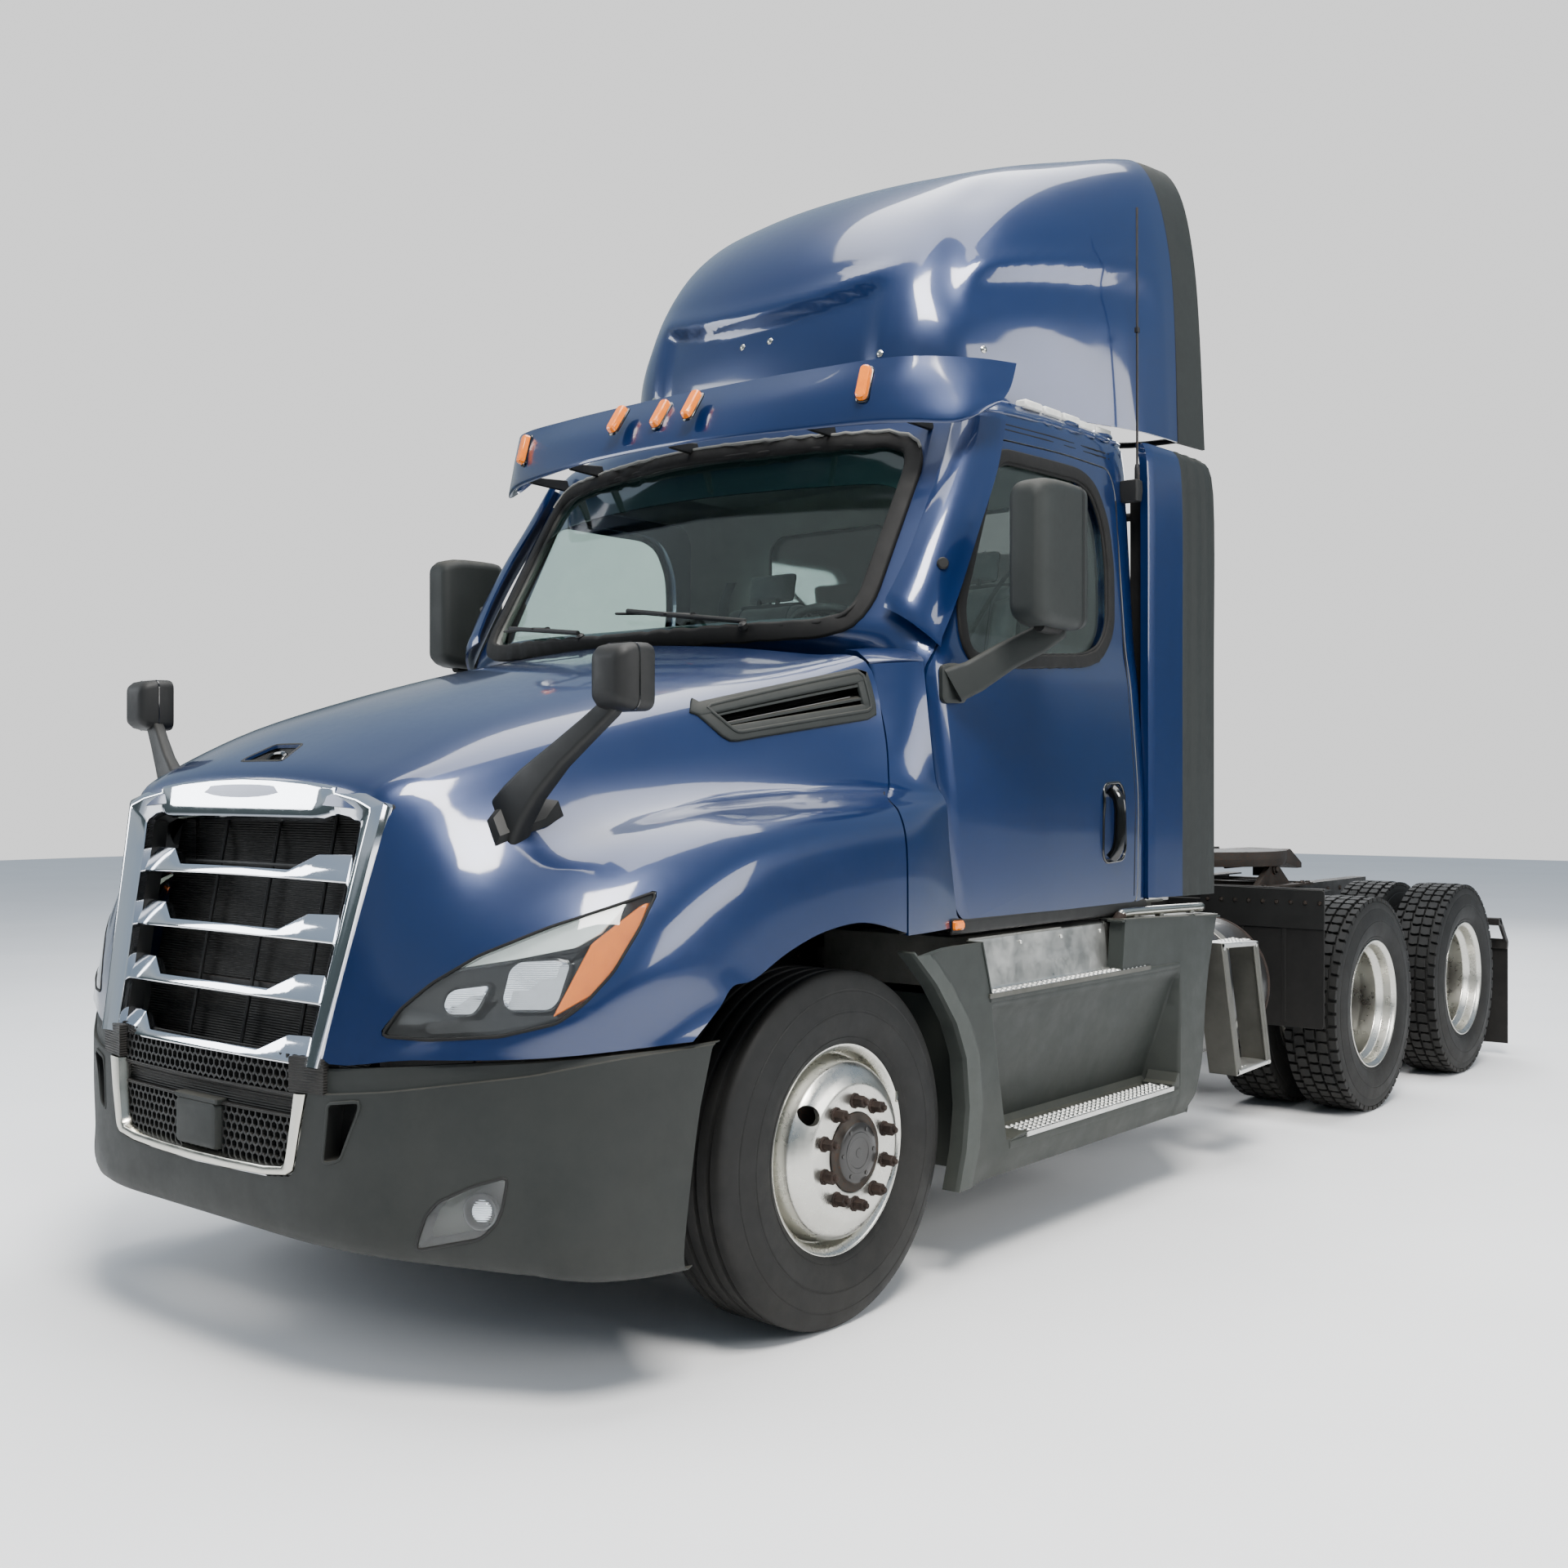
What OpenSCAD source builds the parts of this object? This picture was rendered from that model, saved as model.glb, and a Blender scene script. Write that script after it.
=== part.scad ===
// Three-axle conventional day-cab road tractor with roof fairing.
// Working frame: +X is the truck's left-hand side, -Y is the front, +Z is up,
// y = 0 is the front axle and z = 0 the ground. The whole truck is then moved
// by y_shift so that the origin lies under the middle of the truck.

/* [Running gear] */
// Front axle to the middle of the tandem
wheelbase = 4700; // [4600:10:4800]
// Distance between the two drive axles
tandem = 1320; // [1300:10:1340]
// Tyre outside diameter
tyre_d = 1000; // [1000:1:1000]
// Steer tyre section width
steer_w = 284; // [270:2:290]
// Drive tyre section width
drive_w = 268; // [250:2:275]
// Rim outside diameter
rim_d = 598; // [590:2:604]
// Kingpin distance from the centre line
king_x = 880; // [870:5:890]
// Frame rail outside half width
rail_x = 432; // [425:1:440]

/* [Body] */
// Half width over fenders and skirts
half_w = 1215; // [1210:1:1220]
// Wheel arch radius
arch_r = 642; // [635:1:650]
// Cab skin thickness
wall = 60; // [50:1:70]
// Door gap
gap = 6; // [5:0.5:8]
// Thickness of moulded panels
skin = 12; // [10:1:14]

/* [Hidden] */
y_shift = -2400;
axle_z = tyre_d/2;
ax1 = wheelbase - tandem/2;
ax2 = wheelbase + tandem/2;
hinge_y = -1222;
hinge_z = 700;
blue = [0.05, 0.11, 0.27];
charcoal = [0.2, 0.21, 0.2];
chrome = [0.8, 0.81, 0.83];
alu = [0.72, 0.72, 0.7];
black = [0.06, 0.06, 0.065];

// ---------- helpers ----------
module F() translate([0, y_shift, 0]) children();
module both() { children(); mirror([1, 0, 0]) children(); }
module bx(a, b) translate(a) cube([b[0]-a[0], b[1]-a[1], b[2]-a[2]]);

// smooth curve through a list, k steps in each gap
function cr(a, b, c, d, t) = 0.5*((2*b) + (c-a)*t + (2*a-5*b+4*c-d)*t*t + (-a+3*b-3*c+d)*t*t*t);
function dense(l, k) = let(n = len(l)) concat(
  [for (i = [0:n-2]) for (s = [0:k-1]) cr(l[max(i-1,0)], l[i], l[i+1], l[min(i+2,n-1)], s/k)],
  [l[n-1]]);
function mx(p) = [-p[0], p[1], p[2]];
// a row given from the centre line out becomes a whole row
function full(r) = concat([for (i = [len(r)-1:-1:1]) mx(r[i])], r);
function grid(rows, k) = dense([for (r = rows) dense(full(r), k)], k);
function unit(v) = v / max(norm(v), 0.0001);
function nrm(g, i, j) = unit(cross(
  g[i][min(j+1, len(g[0])-1)] - g[i][max(j-1, 0)],
  g[min(i+1, len(g)-1)][j] - g[max(i-1, 0)][j]));
function inset(g, t) = [for (i = [0:len(g)-1]) [for (j = [0:len(g[0])-1]) g[i][j] - t*nrm(g, i, j)]];

// closed plate between two grids of points, a above b
module plate(a, b) {
  m = len(a); n = len(a[0]); o = m*n;
  polyhedron(points = concat([for (r = a) for (p = r) p], [for (r = b) for (p = r) p]),
    faces = concat(
      [for (i = [0:m-2]) for (j = [0:n-2]) [i*n+j, (i+1)*n+j, (i+1)*n+j+1]],
      [for (i = [0:m-2]) for (j = [0:n-2]) [i*n+j, (i+1)*n+j+1, i*n+j+1]],
      [for (i = [0:m-2]) for (j = [0:n-2]) [o+(i+1)*n+j+1, o+(i+1)*n+j, o+i*n+j]],
      [for (i = [0:m-2]) for (j = [0:n-2]) [o+i*n+j+1, o+(i+1)*n+j+1, o+i*n+j]],
      [for (j = [0:n-2]) [j, j+1, o+j+1]], [for (j = [0:n-2]) [j, o+j+1, o+j]],
      [for (j = [0:n-2]) [(m-1)*n+j+1, (m-1)*n+j, o+(m-1)*n+j]],
      [for (j = [0:n-2]) [(m-1)*n+j+1, o+(m-1)*n+j, o+(m-1)*n+j+1]],
      [for (i = [0:m-2]) [(i+1)*n, i*n, o+i*n]], [for (i = [0:m-2]) [(i+1)*n, o+i*n, o+(i+1)*n]],
      [for (i = [0:m-2]) [i*n+n-1, (i+1)*n+n-1, o+(i+1)*n+n-1]],
      [for (i = [0:m-2]) [i*n+n-1, o+(i+1)*n+n-1, o+i*n+n-1]]));
}
module shell(g, t) plate(g, inset(g, t));

// closed solid through level outlines; each outline is [z, half plan points]
function ring(r) = let(z = r[0], h = r[1], n = len(h)) concat(
  [for (p = h) [p[0], p[1], z]],
  [for (i = [n-2:-1:1]) [-h[i][0], h[i][1], z]]);
module loft(rings) {
  m = len(rings); n = len(rings[0]);
  polyhedron(points = [for (a = rings) for (p = a) p],
    faces = concat([[for (i = [0:n-1]) i]], [[for (i = [n-1:-1:0]) (m-1)*n+i]],
      [for (j = [0:m-2]) for (i = [0:n-1]) [j*n+i, (j+1)*n+i, (j+1)*n+(i+1)%n]],
      [for (j = [0:m-2]) for (i = [0:n-1]) [j*n+i, (j+1)*n+(i+1)%n, j*n+(i+1)%n]]));
}
// outline in (y, z) pushed along x from x0 to x1
module side_cut(pts, x0, x1) translate([x0, 0, 0]) rotate([90, 0, 90]) linear_extrude(x1-x0) polygon(pts);
// outline in (x, z) pushed along y from y0 to y1
module front_cut(pts, y0, y1) translate([0, y1, 0]) rotate([90, 0, 0]) linear_extrude(y1-y0) polygon(pts);
// eight tiny hulls far inside a solid keep a free-form node as one mesh
module one_mesh(p) for (i = [0:8]) translate(p) hull() cube(4, center = true);

// ---------- frame, engine, axles ----------
module rail_profile() { // C channel, web outside
  polygon([[rail_x, 715], [rail_x, 985], [rail_x-90, 985], [rail_x-90, 976], [rail_x-9, 976],
    [rail_x-9, 724], [rail_x-90, 724], [rail_x-90, 715]]);
}
module frame_rails() color(black) F() {
  both() translate([0, 6010, 0]) rotate([90, 0, 0]) linear_extrude(6010+1080) rail_profile();
  for (y = [2900, 3700, ax1, wheelbase, ax2, 5900])
    bx([-rail_x+5, y-45, 760], [rail_x-5, y+45, 775]);
  for (y = [1650, 2900, 3700, wheelbase, 5900]) difference() {
    bx([-rail_x+5, y-6, 760], [rail_x-5, y+6, 950]);
    for (x = [-180, 180]) translate([x, y-20, 860]) rotate([-90, 0, 0]) cylinder(d = 90, h = 40, $fn = 32);
    if (y < 2000) bx([-60, y-20, 700], [125, y+20, 880]);
  }
  // closing member behind the bumper with two tow sockets
  difference() {
    bx([-rail_x-120, -1110, 715], [rail_x+120, -1060, 985]);
    bx([-150, -1120, 780], [150, -1050, 920]);
  }
  both() bx([rail_x-10, -1070, 715], [rail_x+110, -1030, 985]);
  // hood hinge lugs and pins
  both() { bx([446, -1240, 684], [458, -1075, 716]); translate([414, hinge_y, hinge_z]) rotate([0, 90, 0]) cylinder(r = 11.5, h = 38, $fn = 48); }
  // bumper brackets
  both() bx([455, -1108, 560], [540, -1075, 800]);
}
module engine_block() color([0.35, 0.36, 0.38]) F() {
  bx([-330, -700, 620], [330, 470, 1540]);
  bx([-210, 460, 610], [210, 1450, 1010]);
}
module radiator() color(black) F() {
  bx([-335, -1030, 640], [335, -930, 1000]);
  bx([-430, -1030, 990], [430, -930, 1490]);
  both() bx([425, -1040, 992], [470, -920, 1440]);
  bx([-330, -935, 700], [330, -860, 1000]);
  bx([-420, -935, 990], [420, -860, 1420]);
}
module front_axle() color(black) F() {
  // dropped beam
  bx([-620, -55, 360], [620, 55, 450]);
  both() {
    rotate([90, 0, 0]) translate([0, 0, -45]) linear_extrude(90)
      polygon([[600, 362], [630, 362], [king_x-80, 452], [king_x-26, 452], [king_x-26, 534], [760, 534], [600, 448]]);
    translate([king_x, 0, 450]) difference() { cylinder(r = 46, h = 84, $fn = 48); translate([0, 0, -1]) cylinder(r = 24, h = 90, $fn = 48); }
    bx([rail_x-45, -110, 440], [rail_x+45, 110, 486]);
  }
}
// a leaf pack, its ends higher than its middle
module leaf(y0, z0, half, th, w) translate([0, y0, z0]) intersection() {
  rotate([0, 90, 0]) translate([-2600, 0, -w/2]) difference() { cylinder(r = 2600+th, h = w, $fn = 96); translate([0, 0, -1]) cylinder(r = 2600, h = w+2, $fn = 96); }
  bx([-w, -half, -150], [w, half, 400]);
}
module suspension() color(black) F() both() {
  // front leaf springs with their hangers
  translate([rail_x, 0, 0]) leaf(0, 520, 700, 34, 84);
  bx([rail_x-40, -735, 560], [rail_x+40, -680, 714.5]);
  bx([rail_x-40, 680, 560], [rail_x+40, 735, 714.5]);
  translate([rail_x+70, 0, 0]) { bx([-40, 70, 780], [30, 130, 840]); translate([10, 100, 470]) cylinder(d = 60, h = 340, $fn = 32); bx([-75, 60, 470], [10, 110, 500]); }
  // rear trailing beams with air springs
  for (a = [ax1, ax2]) {
    difference() { side_cut([[a-600, 640], [a-560, 560], [a-60, 395], [a+380, 400], [a+400, 440], [a+60, 450], [a-480, 690], [a-590, 705]], rail_x-45, rail_x+45);
      translate([0, a, axle_z]) rotate([0, 90, 0]) cylinder(d = 150.4, h = 600, $fn = 48); }
    bx([rail_x-50, a-110, 395], [rail_x+50, a+110, 424]);
    translate([rail_x-2, a+270, 440]) cylinder(d = 250, h = 274.5, $fn = 48);
    bx([rail_x-60, a-620, 560], [rail_x+60, a-560, 714.5]);
  }
}
module drive_axles() color(black) F() {
  for (a = [ax1, ax2]) {
    translate([-760, a, axle_z]) rotate([0, 90, 0]) cylinder(d = 150, h = 1520, $fn = 48);
    translate([0, a, axle_z]) sphere(d = 430, $fn = 48);
    translate([60, a-420, axle_z+30]) rotate([-90, 0, 0]) cylinder(d = 210, h = 420, $fn = 48);
  }
  // shafts: gearbox to the first axle, then on to the second
  sx = 60; y1 = 1460; z1 = 800; y2 = ax1-415; z2 = axle_z+40;
  translate([0, y1, z1]) rotate([-90+atan2(z2-z1, y2-y1)*1, 0, 0]) translate([0, 0, 0])
    rotate([0, atan2(sx, y2-y1), 0]) cylinder(d = 110, h = norm([sx, y2-y1, z2-z1])+6, $fn = 48);
  translate([60, ax1+150, axle_z+30]) rotate([-90, 0, 0]) cylinder(d = 100, h = tandem-560, $fn = 48);
}

// ---------- cab ----------
// half plans, front centre line round to rear centre line
C0 = [[0,560],[450,560],[850,560],[1010,555],[1144,600],[1150,1200],[1150,1790],[1135,1870],[1050,1920],[450,1925],[0,1925]];
C1 = [[0,530],[450,530],[850,530],[1010,525],[1140,545],[1150,1200],[1150,1790],[1135,1870],[1050,1920],[450,1925],[0,1925]];
C2 = [[0,430],[450,445],[850,470],[1000,482],[1114,512],[1126,1200],[1122,1795],[1108,1872],[1030,1920],[450,1925],[0,1925]];
C3 = [[0,248],[450,292],[905,440],[1010,490],[1098,590],[1112,1200],[1108,1795],[1094,1870],[1020,1918],[450,1925],[0,1925]];
C4 = [[0,648],[450,695],[893,845],[980,878],[1052,948],[1074,1300],[1070,1790],[1056,1862],[980,1912],[450,1920],[0,1920]];
C5 = [[0,690],[450,735],[880,882],[966,915],[1040,985],[1062,1300],[1058,1785],[1044,1852],[968,1902],[450,1912],[0,1912]];
C6 = [[0,740],[450,785],[850,930],[930,985],[1010,1080],[1026,1310],[1022,1775],[1008,1835],[935,1882],[450,1890],[0,1890]];
C7 = [[0,850],[450,890],[760,1000],[830,1050],[900,1140],[915,1320],[912,1740],[900,1790],[830,1830],[450,1840],[0,1840]];
CABZ = [1078, 1480, 1905, 2005, 2690, 2775, 2815, 2862];
CABP = [C0, C1, C2, C3, C4, C5, C6, C7];
function shrink(h, d, df, db) = [for (p = h) [max(0, p[0] - (p[0] > 300 ? d : 0)),
  p[1] + (p[1] < 1195 ? df : (p[1] > 1700 ? -db : 0))]];
module cab_outer() loft([for (i = [0:7]) ring([CABZ[i], CABP[i]])]);
module cab_inner(t) loft([
  ring([1220, shrink(C0, t, t+10, t)]),
  ring([1480, shrink(C1, t, t+10, t)]),
  ring([1860, shrink(C2, t, t+60, t)]),
  ring([1990, shrink(C3, t, 55, t)]),
  ring([2690, shrink(C4, t, 55, t)]),
  ring([2760, shrink(C5, t+20, 75, t+10)])]);
// door outline in (y, z)
DOOR = [[655,1090],[628,1100],[602,1141],[564,1323],[548,1480],[516,1550],[508,1620],[508,1880],[545,1938],[602,2000],[880,2560],[958,2668],[1400,2676],[1700,2672],[1742,2600],[1768,1900],[1774,1160],[1768,1096],[1700,1086]];
DOORS = [[658,1096],[632,1106],[608,1143],[570,1325],[554,1482],[522,1552],[514,1622],[514,1878],[550,1934],[608,1997],[886,2557],[961,2662],[1400,2670],[1696,2666],[1736,2598],[1762,1900],[1768,1162],[1762,1102],[1698,1092]];
DWIN = [[706,2000],[716,1950],[766,1920],[1440,1962],[1560,1995],[1640,2080],[1660,2300],[1640,2460],[1570,2570],[1480,2606],[1000,2604],[938,2570],[704,2092]];
WINDC = [[-842,2052],[-760,2032],[0,2022],[760,2032],[842,2052],[862,2110],[852,2560],[830,2620],[760,2648],[0,2660],[-760,2648],[-830,2620],[-852,2560],[-862,2110]];
REARW = [[60,2290],[90,2260],[660,2260],[700,2300],[700,2560],[650,2616],[100,2616],[60,2576]];
module cowl_side() { // cheek in front of each door, and the lower cheek
  hull() { bx([950, 394, 1870], [974, 402, 1888]); bx([1020, 392, 1680], [1042, 400, 1700]); bx([1060, 358, 1542], [1086, 366, 1556]);
    bx([1050, 480, 1870], [1092, 500, 1900]); bx([1060, 480, 1562], [1120, 500, 1750]); bx([900, 430, 1560], [920, 500, 1880]); }
  hull() { bx([1096, 296, 1440], [1132, 304, 1484]); bx([1070, 358, 1530], [1088, 366, 1546]); bx([1090, 500, 1440], [1138, 536, 1488]); bx([1090, 480, 1540], [1122, 500, 1562]); }
  hull() { bx([1170, 255, 1080], [1202, 263, 1340]); bx([1130, 256, 1430], [1172, 264, 1452]); bx([1100, 530, 1440], [1140, 536, 1470]);
    bx([1100, 550, 1300], [1146, 556, 1323]); bx([1100, 586, 1086], [1146, 592, 1141]); bx([1060, 320, 1080], [1080, 540, 1440]); }
  hull() { bx([800, 470, 1110], [1000, 570, 1500]); bx([1050, 330, 1200], [1100, 530, 1460]); }
  hull() { bx([880, 440, 1480], [960, 560, 1880]); bx([960, 420, 1480], [1080, 510, 1560]); }
}
module cab() color(blue) F() difference() {
  union() {
    difference() { cab_outer(); cab_inner(wall); }
    both() cowl_side();
    one_mesh([0, 1200, 1150]);
  }
  both() side_cut(DOOR, 900, 1300);
  front_cut(WINDC, 0, 1100);
  both() front_cut(REARW, 1800, 2000);
}
module windshield() color([0.5, 0.6, 0.6, 0.4]) F() intersection() {
  difference() { translate([0, 6, 0]) cab_outer(); translate([0, 14, 0]) loft([ring([1800, C3]), ring([2005, C3]), ring([2690, C4]), ring([2900, C4])]); }
  front_cut([for (p = WINDC) [p[0]*0.998, 2340+(p[1]-2340)*0.995]], 0, 1100);
}
module rear_windows() color([0.5, 0.6, 0.6, 0.4]) F() both()
  front_cut([for (p = REARW) [380+(p[0]-380)*0.996, 2438+(p[1]-2438)*0.994]], 1894, 1900);

module door() color(blue) difference() {
  intersection() {
    difference() { cab_outer(); cab_inner(72); }
    side_cut(DOORS, 980, 1300);
  }
  side_cut(DWIN, 900, 1300);
}
module door_glass() color([0.5, 0.6, 0.6, 0.4]) intersection() {
  difference() { translate([-14, 0, 0]) cab_outer(); translate([-21, 0, 0]) cab_outer(); }
  side_cut([for (p = DWIN) [1190+(p[0]-1190)*0.996, 2260+(p[1]-2260)*0.994]], 980, 1300);
}
module door_mirror() color(black) {
  hull() { bx([1100, 530, 1765], [1150, 600, 1895]); bx([1112, 690, 1800], [1140, 712, 1850]); }
  hull() { bx([1126, 545, 1780], [1160, 640, 1870]); bx([1340, 800, 1980], [1385, 870, 2040]); }
  hull() translate([1392, 0, 0]) { bx([-50, 590, 2030], [40, 890, 2430]); bx([-78, 610, 2060], [58, 660, 2400]); bx([-60, 690, 2000], [30, 850, 2452]); }
}
module left_door() F() door();
module left_door_glass() F() door_glass();
module left_mirror() F() door_mirror();
module right_door() F() mirror([1, 0, 0]) door();
module right_door_glass() F() mirror([1, 0, 0]) door_glass();
module right_mirror() F() mirror([1, 0, 0]) door_mirror();

VIS = [
  [[0,462,2700],[350,474,2698],[620,528,2696],[830,596,2696],[960,662,2695],[1068,760,2696],[1120,880,2762]],
  [[0,425,2684],[350,440,2681],[620,497,2678],[830,565,2678],[960,628,2677],[1080,718,2678],[1152,842,2745]],
  [[0,468,2790],[350,482,2790],[620,520,2790],[830,574,2790],[960,642,2790],[1088,762,2790],[1163,884,2800]],
  [[0,545,2890],[350,558,2891],[620,582,2892],[830,610,2892],[960,668,2892],[1085,806,2892],[1156,932,2888]]];
module sun_visor() color(blue) F() {
  shell(grid(VIS, 3), 14);
  for (x = [-560, 0, 560]) bx([x-12, 600+abs(x)*0.12, 2720], [x+12, 700+abs(x)*0.22, 2835]);
}

FAIR = [
  [[0,930,2868],[350,955,2868],[575,1008,2866],[690,1090,2862],[742,1160,2858],[780,1230,2856]],
  [[0,952,3152],[350,977,3143],[596,1028,3116],[738,1118,3058],[812,1236,2972],[850,1350,2850]],
  [[0,1020,3390],[350,1045,3376],[605,1097,3336],[762,1188,3248],[866,1346,3108],[925,1490,2848]],
  [[0,1140,3586],[350,1162,3572],[620,1220,3526],[800,1316,3434],[926,1473,3224],[985,1630,2846]],
  [[0,1320,3742],[350,1340,3728],[662,1394,3684],[860,1488,3582],[980,1636,3312],[1045,1770,2842]],
  [[0,1568,3868],[350,1582,3860],[715,1622,3824],[914,1708,3720],[1034,1816,3402],[1095,1900,2838]],
  [[0,1866,3950],[350,1873,3945],[762,1900,3922],[964,1955,3842],[1078,2018,3480],[1120,2050,2834]],
  [[0,2112,3990],[350,2114,3988],[786,2122,3974],[990,2133,3906],[1092,2150,3530],[1128,2140,2832]],
  [[0,2306,3998],[350,2307,3997],[804,2312,3987],[1014,2318,3918],[1110,2328,3560],[1150,2334,2830]]];
module roof_fairing() color(blue) F() {
  shell(grid(FAIR, 2), skin);
  // stays from the roof to the rear edge
  both() hull() { bx([700, 1700, 2850], [730, 1740, 2870]); bx([1076, 2230, 3440], [1098, 2262, 3466]); }
}
module side_extenders() color(blue) F() both() {
  hull() { bx([1135, 1852, 1110], [1152, 1860, 2640]); bx([1112, 1854, 2700], [1128, 1862, 2790]);
    bx([1180, 2268, 1106], [1198, 2284, 2600]); bx([1150, 2213, 2740], [1170, 2229, 2764]); }
  for (z = [1250, 1900, 2500]) bx([960, 1935, z], [1150, 1965, z+60]);
  for (z = [1250, 1900, 2500]) bx([960, 1926, z], [1010, 1965, z+60]);
}

// ---------- bumper ----------
BX = [[0,-1300],[240,-1296],[460,-1279],[680,-1214],[865,-1118],[1010,-1025],[1118,-890],[1180,-735],[1210,-580]];
BT = [818, 818, 818, 835, 851, 861, 868, 872, 876];
BB = [380, 378, 372, 362, 350, 338, 328, 322, 318];
function brow(t, dy) = [for (i = [0:8]) [BX[i][0]*(1-dy*0.0004), BX[i][1] + dy - (i > 5 ? pow(t, 0.6)*(i-5)*42 : 0), BT[i]+(BB[i]-BT[i])*t]];
BUMP = [brow(1, 60), brow(0.9, 24), brow(0.6, 0), brow(0.3, 0), brow(0.08, 2), brow(0, 16)];
LOWOPEN = [[-522,766],[-476,758],[-430,562],[-412,545],[-322,534],[0,527],[322,534],[412,545],[430,562],[476,758],[522,766],[528,900],[-528,900]];
module bumper() color(charcoal) F() difference() {
  union() { shell(grid(BUMP, 2), 14);
    both() for (z = [600, 740]) bx([480, -1280, z], [540, -1105, z+40]);
    both() one_mesh([510, -1180, 620]); }
  front_cut(LOWOPEN, -1400, -1240);
  both() front_cut([[560,700],[630,700],[605,560],[560,540]], -1400, -1240);
}
module lower_grille() color(black) F() {
  difference() {
    front_cut([[-406,815],[-406,668],[-436,668],[-414,566],[-376,553],[0,543],[376,553],[414,566],[436,668],[406,668],[406,815]], -1292, -1250);
    for (i = [-2:2]) for (z = [600, 690]) bx([i*118-50, -1300, z-32+abs(i)*2], [i*118+50, -1240, z+36]);
    bx([-380, -1300, 745], [380, -1240, 800]);
  }
  bx([-90, -1300, 585], [90, -1230, 670]);
  both() bx([404, -1272, 604], [484, -1264, 632]);
}

// ---------- hood ----------
HOOD = [
 [[0,-1166,1476],[220,-1164,1474],[420,-1158,1466],[520,-1150,1458],[576,-1142,1448],[556,-1176,1300],[530,-1222,1080],[512,-1262,850],[760,-1170,858],[1050,-1000,872],[1206,-660,886]],
 [[0,-1140,1552],[220,-1138,1549],[420,-1130,1536],[520,-1124,1520],[592,-1112,1496],[650,-1120,1330],[690,-1150,1130],[740,-1162,980],[900,-1088,960],[1115,-930,960],[1212,-570,960]],
 [[0,-1030,1622],[220,-1028,1618],[430,-1020,1600],[560,-1010,1580],[642,-990,1546],[720,-1010,1400],[800,-1040,1250],[920,-1020,1150],[1060,-930,1110],[1170,-800,1060],[1214,-520,1010]],
 [[0,-800,1722],[220,-798,1718],[450,-790,1700],[600,-775,1672],[706,-740,1622],[780,-760,1500],[870,-780,1400],[990,-790,1330],[1110,-720,1270],[1190,-620,1190],[1215,-440,1020]],
 [[0,-500,1818],[230,-498,1812],[470,-490,1790],[640,-470,1756],[766,-430,1700],[840,-450,1560],[930,-470,1465],[1040,-500,1428],[1140,-470,1380],[1200,-420,1290],[1215,-300,1080]],
 [[0,-200,1896],[240,-196,1890],[500,-180,1866],[690,-150,1828],[832,-110,1768],[900,-140,1610],[980,-180,1500],[1070,-220,1462],[1160,-200,1420],[1205,-180,1330],[1215,-140,1124]],
 [[0,30,1946],[250,36,1940],[520,60,1916],[730,100,1882],[900,150,1830],[970,120,1650],[1030,60,1520],[1100,30,1476],[1172,20,1436],[1208,20,1340],[1215,40,1136]],
 [[0,200,1980],[250,210,1974],[540,254,1954],[782,316,1926],[970,364,1896],[1040,362,1690],[1088,318,1530],[1132,256,1480],[1176,248,1440],[1204,246,1340],[1208,246,1092]]];
LAMP = [[-6,912],[40,975],[120,1040],[240,1110],[400,1175],[560,1228],[640,1256],[610,1170],[560,1070],[500,1000],[440,955],[300,922],[120,908]];
module lamp_prism(d) translate([672, -1180, 0]) rotate([0, 0, atan2(346, 528)]) translate([0, 200, 0]) rotate([90, 0, 0]) linear_extrude(420)
  polygon([for (p = LAMP) [310+(p[0]-310)*d, 1060+(p[1]-1060)*d]]);
module hood() color(blue) F() {
  difference() {
    union() { shell(grid(HOOD, 2), skin);
      // hinge arms
      both() { hull() { bx([415, -1240, 872], [440, -1196, 900]); bx([415, -1240, 682], [440, -1204, 718]); } bx([415, -1236, 874], [548, -1198, 898]); one_mesh([428, -1222, 800]); }
    }
    both() lamp_prism(1);
    both() translate([400, hinge_y, hinge_z]) rotate([0, 90, 0]) cylinder(r = 12, h = 60, $fn = 48);
  }
}
module headlamps() color([0.8, 0.82, 0.85]) F() both() intersection() {
  plate(inset(grid(HOOD, 2), 1), inset(grid(HOOD, 2), 60));
  lamp_prism(0.985);
}
gt = 11.5; // lean of the grille
module grille_at() translate([0, -1284, 836]) rotate([90-gt, 0, 0]) children();
module grille() color(chrome) F() {
  grille_at() translate([0, 0, -34]) linear_extrude(34) difference() {
    polygon([[-512,0],[512,0],[584,600],[582,640],[424,690],[0,722],[-424,690],[-582,640],[-584,600]]);
    polygon([[-462,30],[462,30],[520,575],[400,612],[0,630],[-400,612],[-520,575]]);
  }
  for (i = [0:3]) let(v = 40+i*146, w = 470+i*13) grille_at() {
    translate([-w, v, -40]) cube([2*w, 34, 30]);
    both() translate([w-130, v+10, -40]) cube([110, 54, 30]);
  }
  both() bx([500, -1270, 850], [530, -1214, 870]);
}
module hood_mirrors() color(black) F() both() {
  hull() { bx([770, -960, 1395], [800, -860, 1420]); bx([760, -900, 1480], [790, -800, 1520]); bx([700, -905, 1500], [730, -850, 1530]); }
  hull() { bx([770, -930, 1430], [815, -860, 1500]); bx([1080, -800, 1690], [1110, -760, 1730]); }
  hull() { bx([1040, -860, 1740], [1170, -780, 1840]); bx([1060, -840, 1700], [1150, -760, 1868]); bx([1060, -870, 1760], [1150, -750, 1830]); }
}

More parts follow.
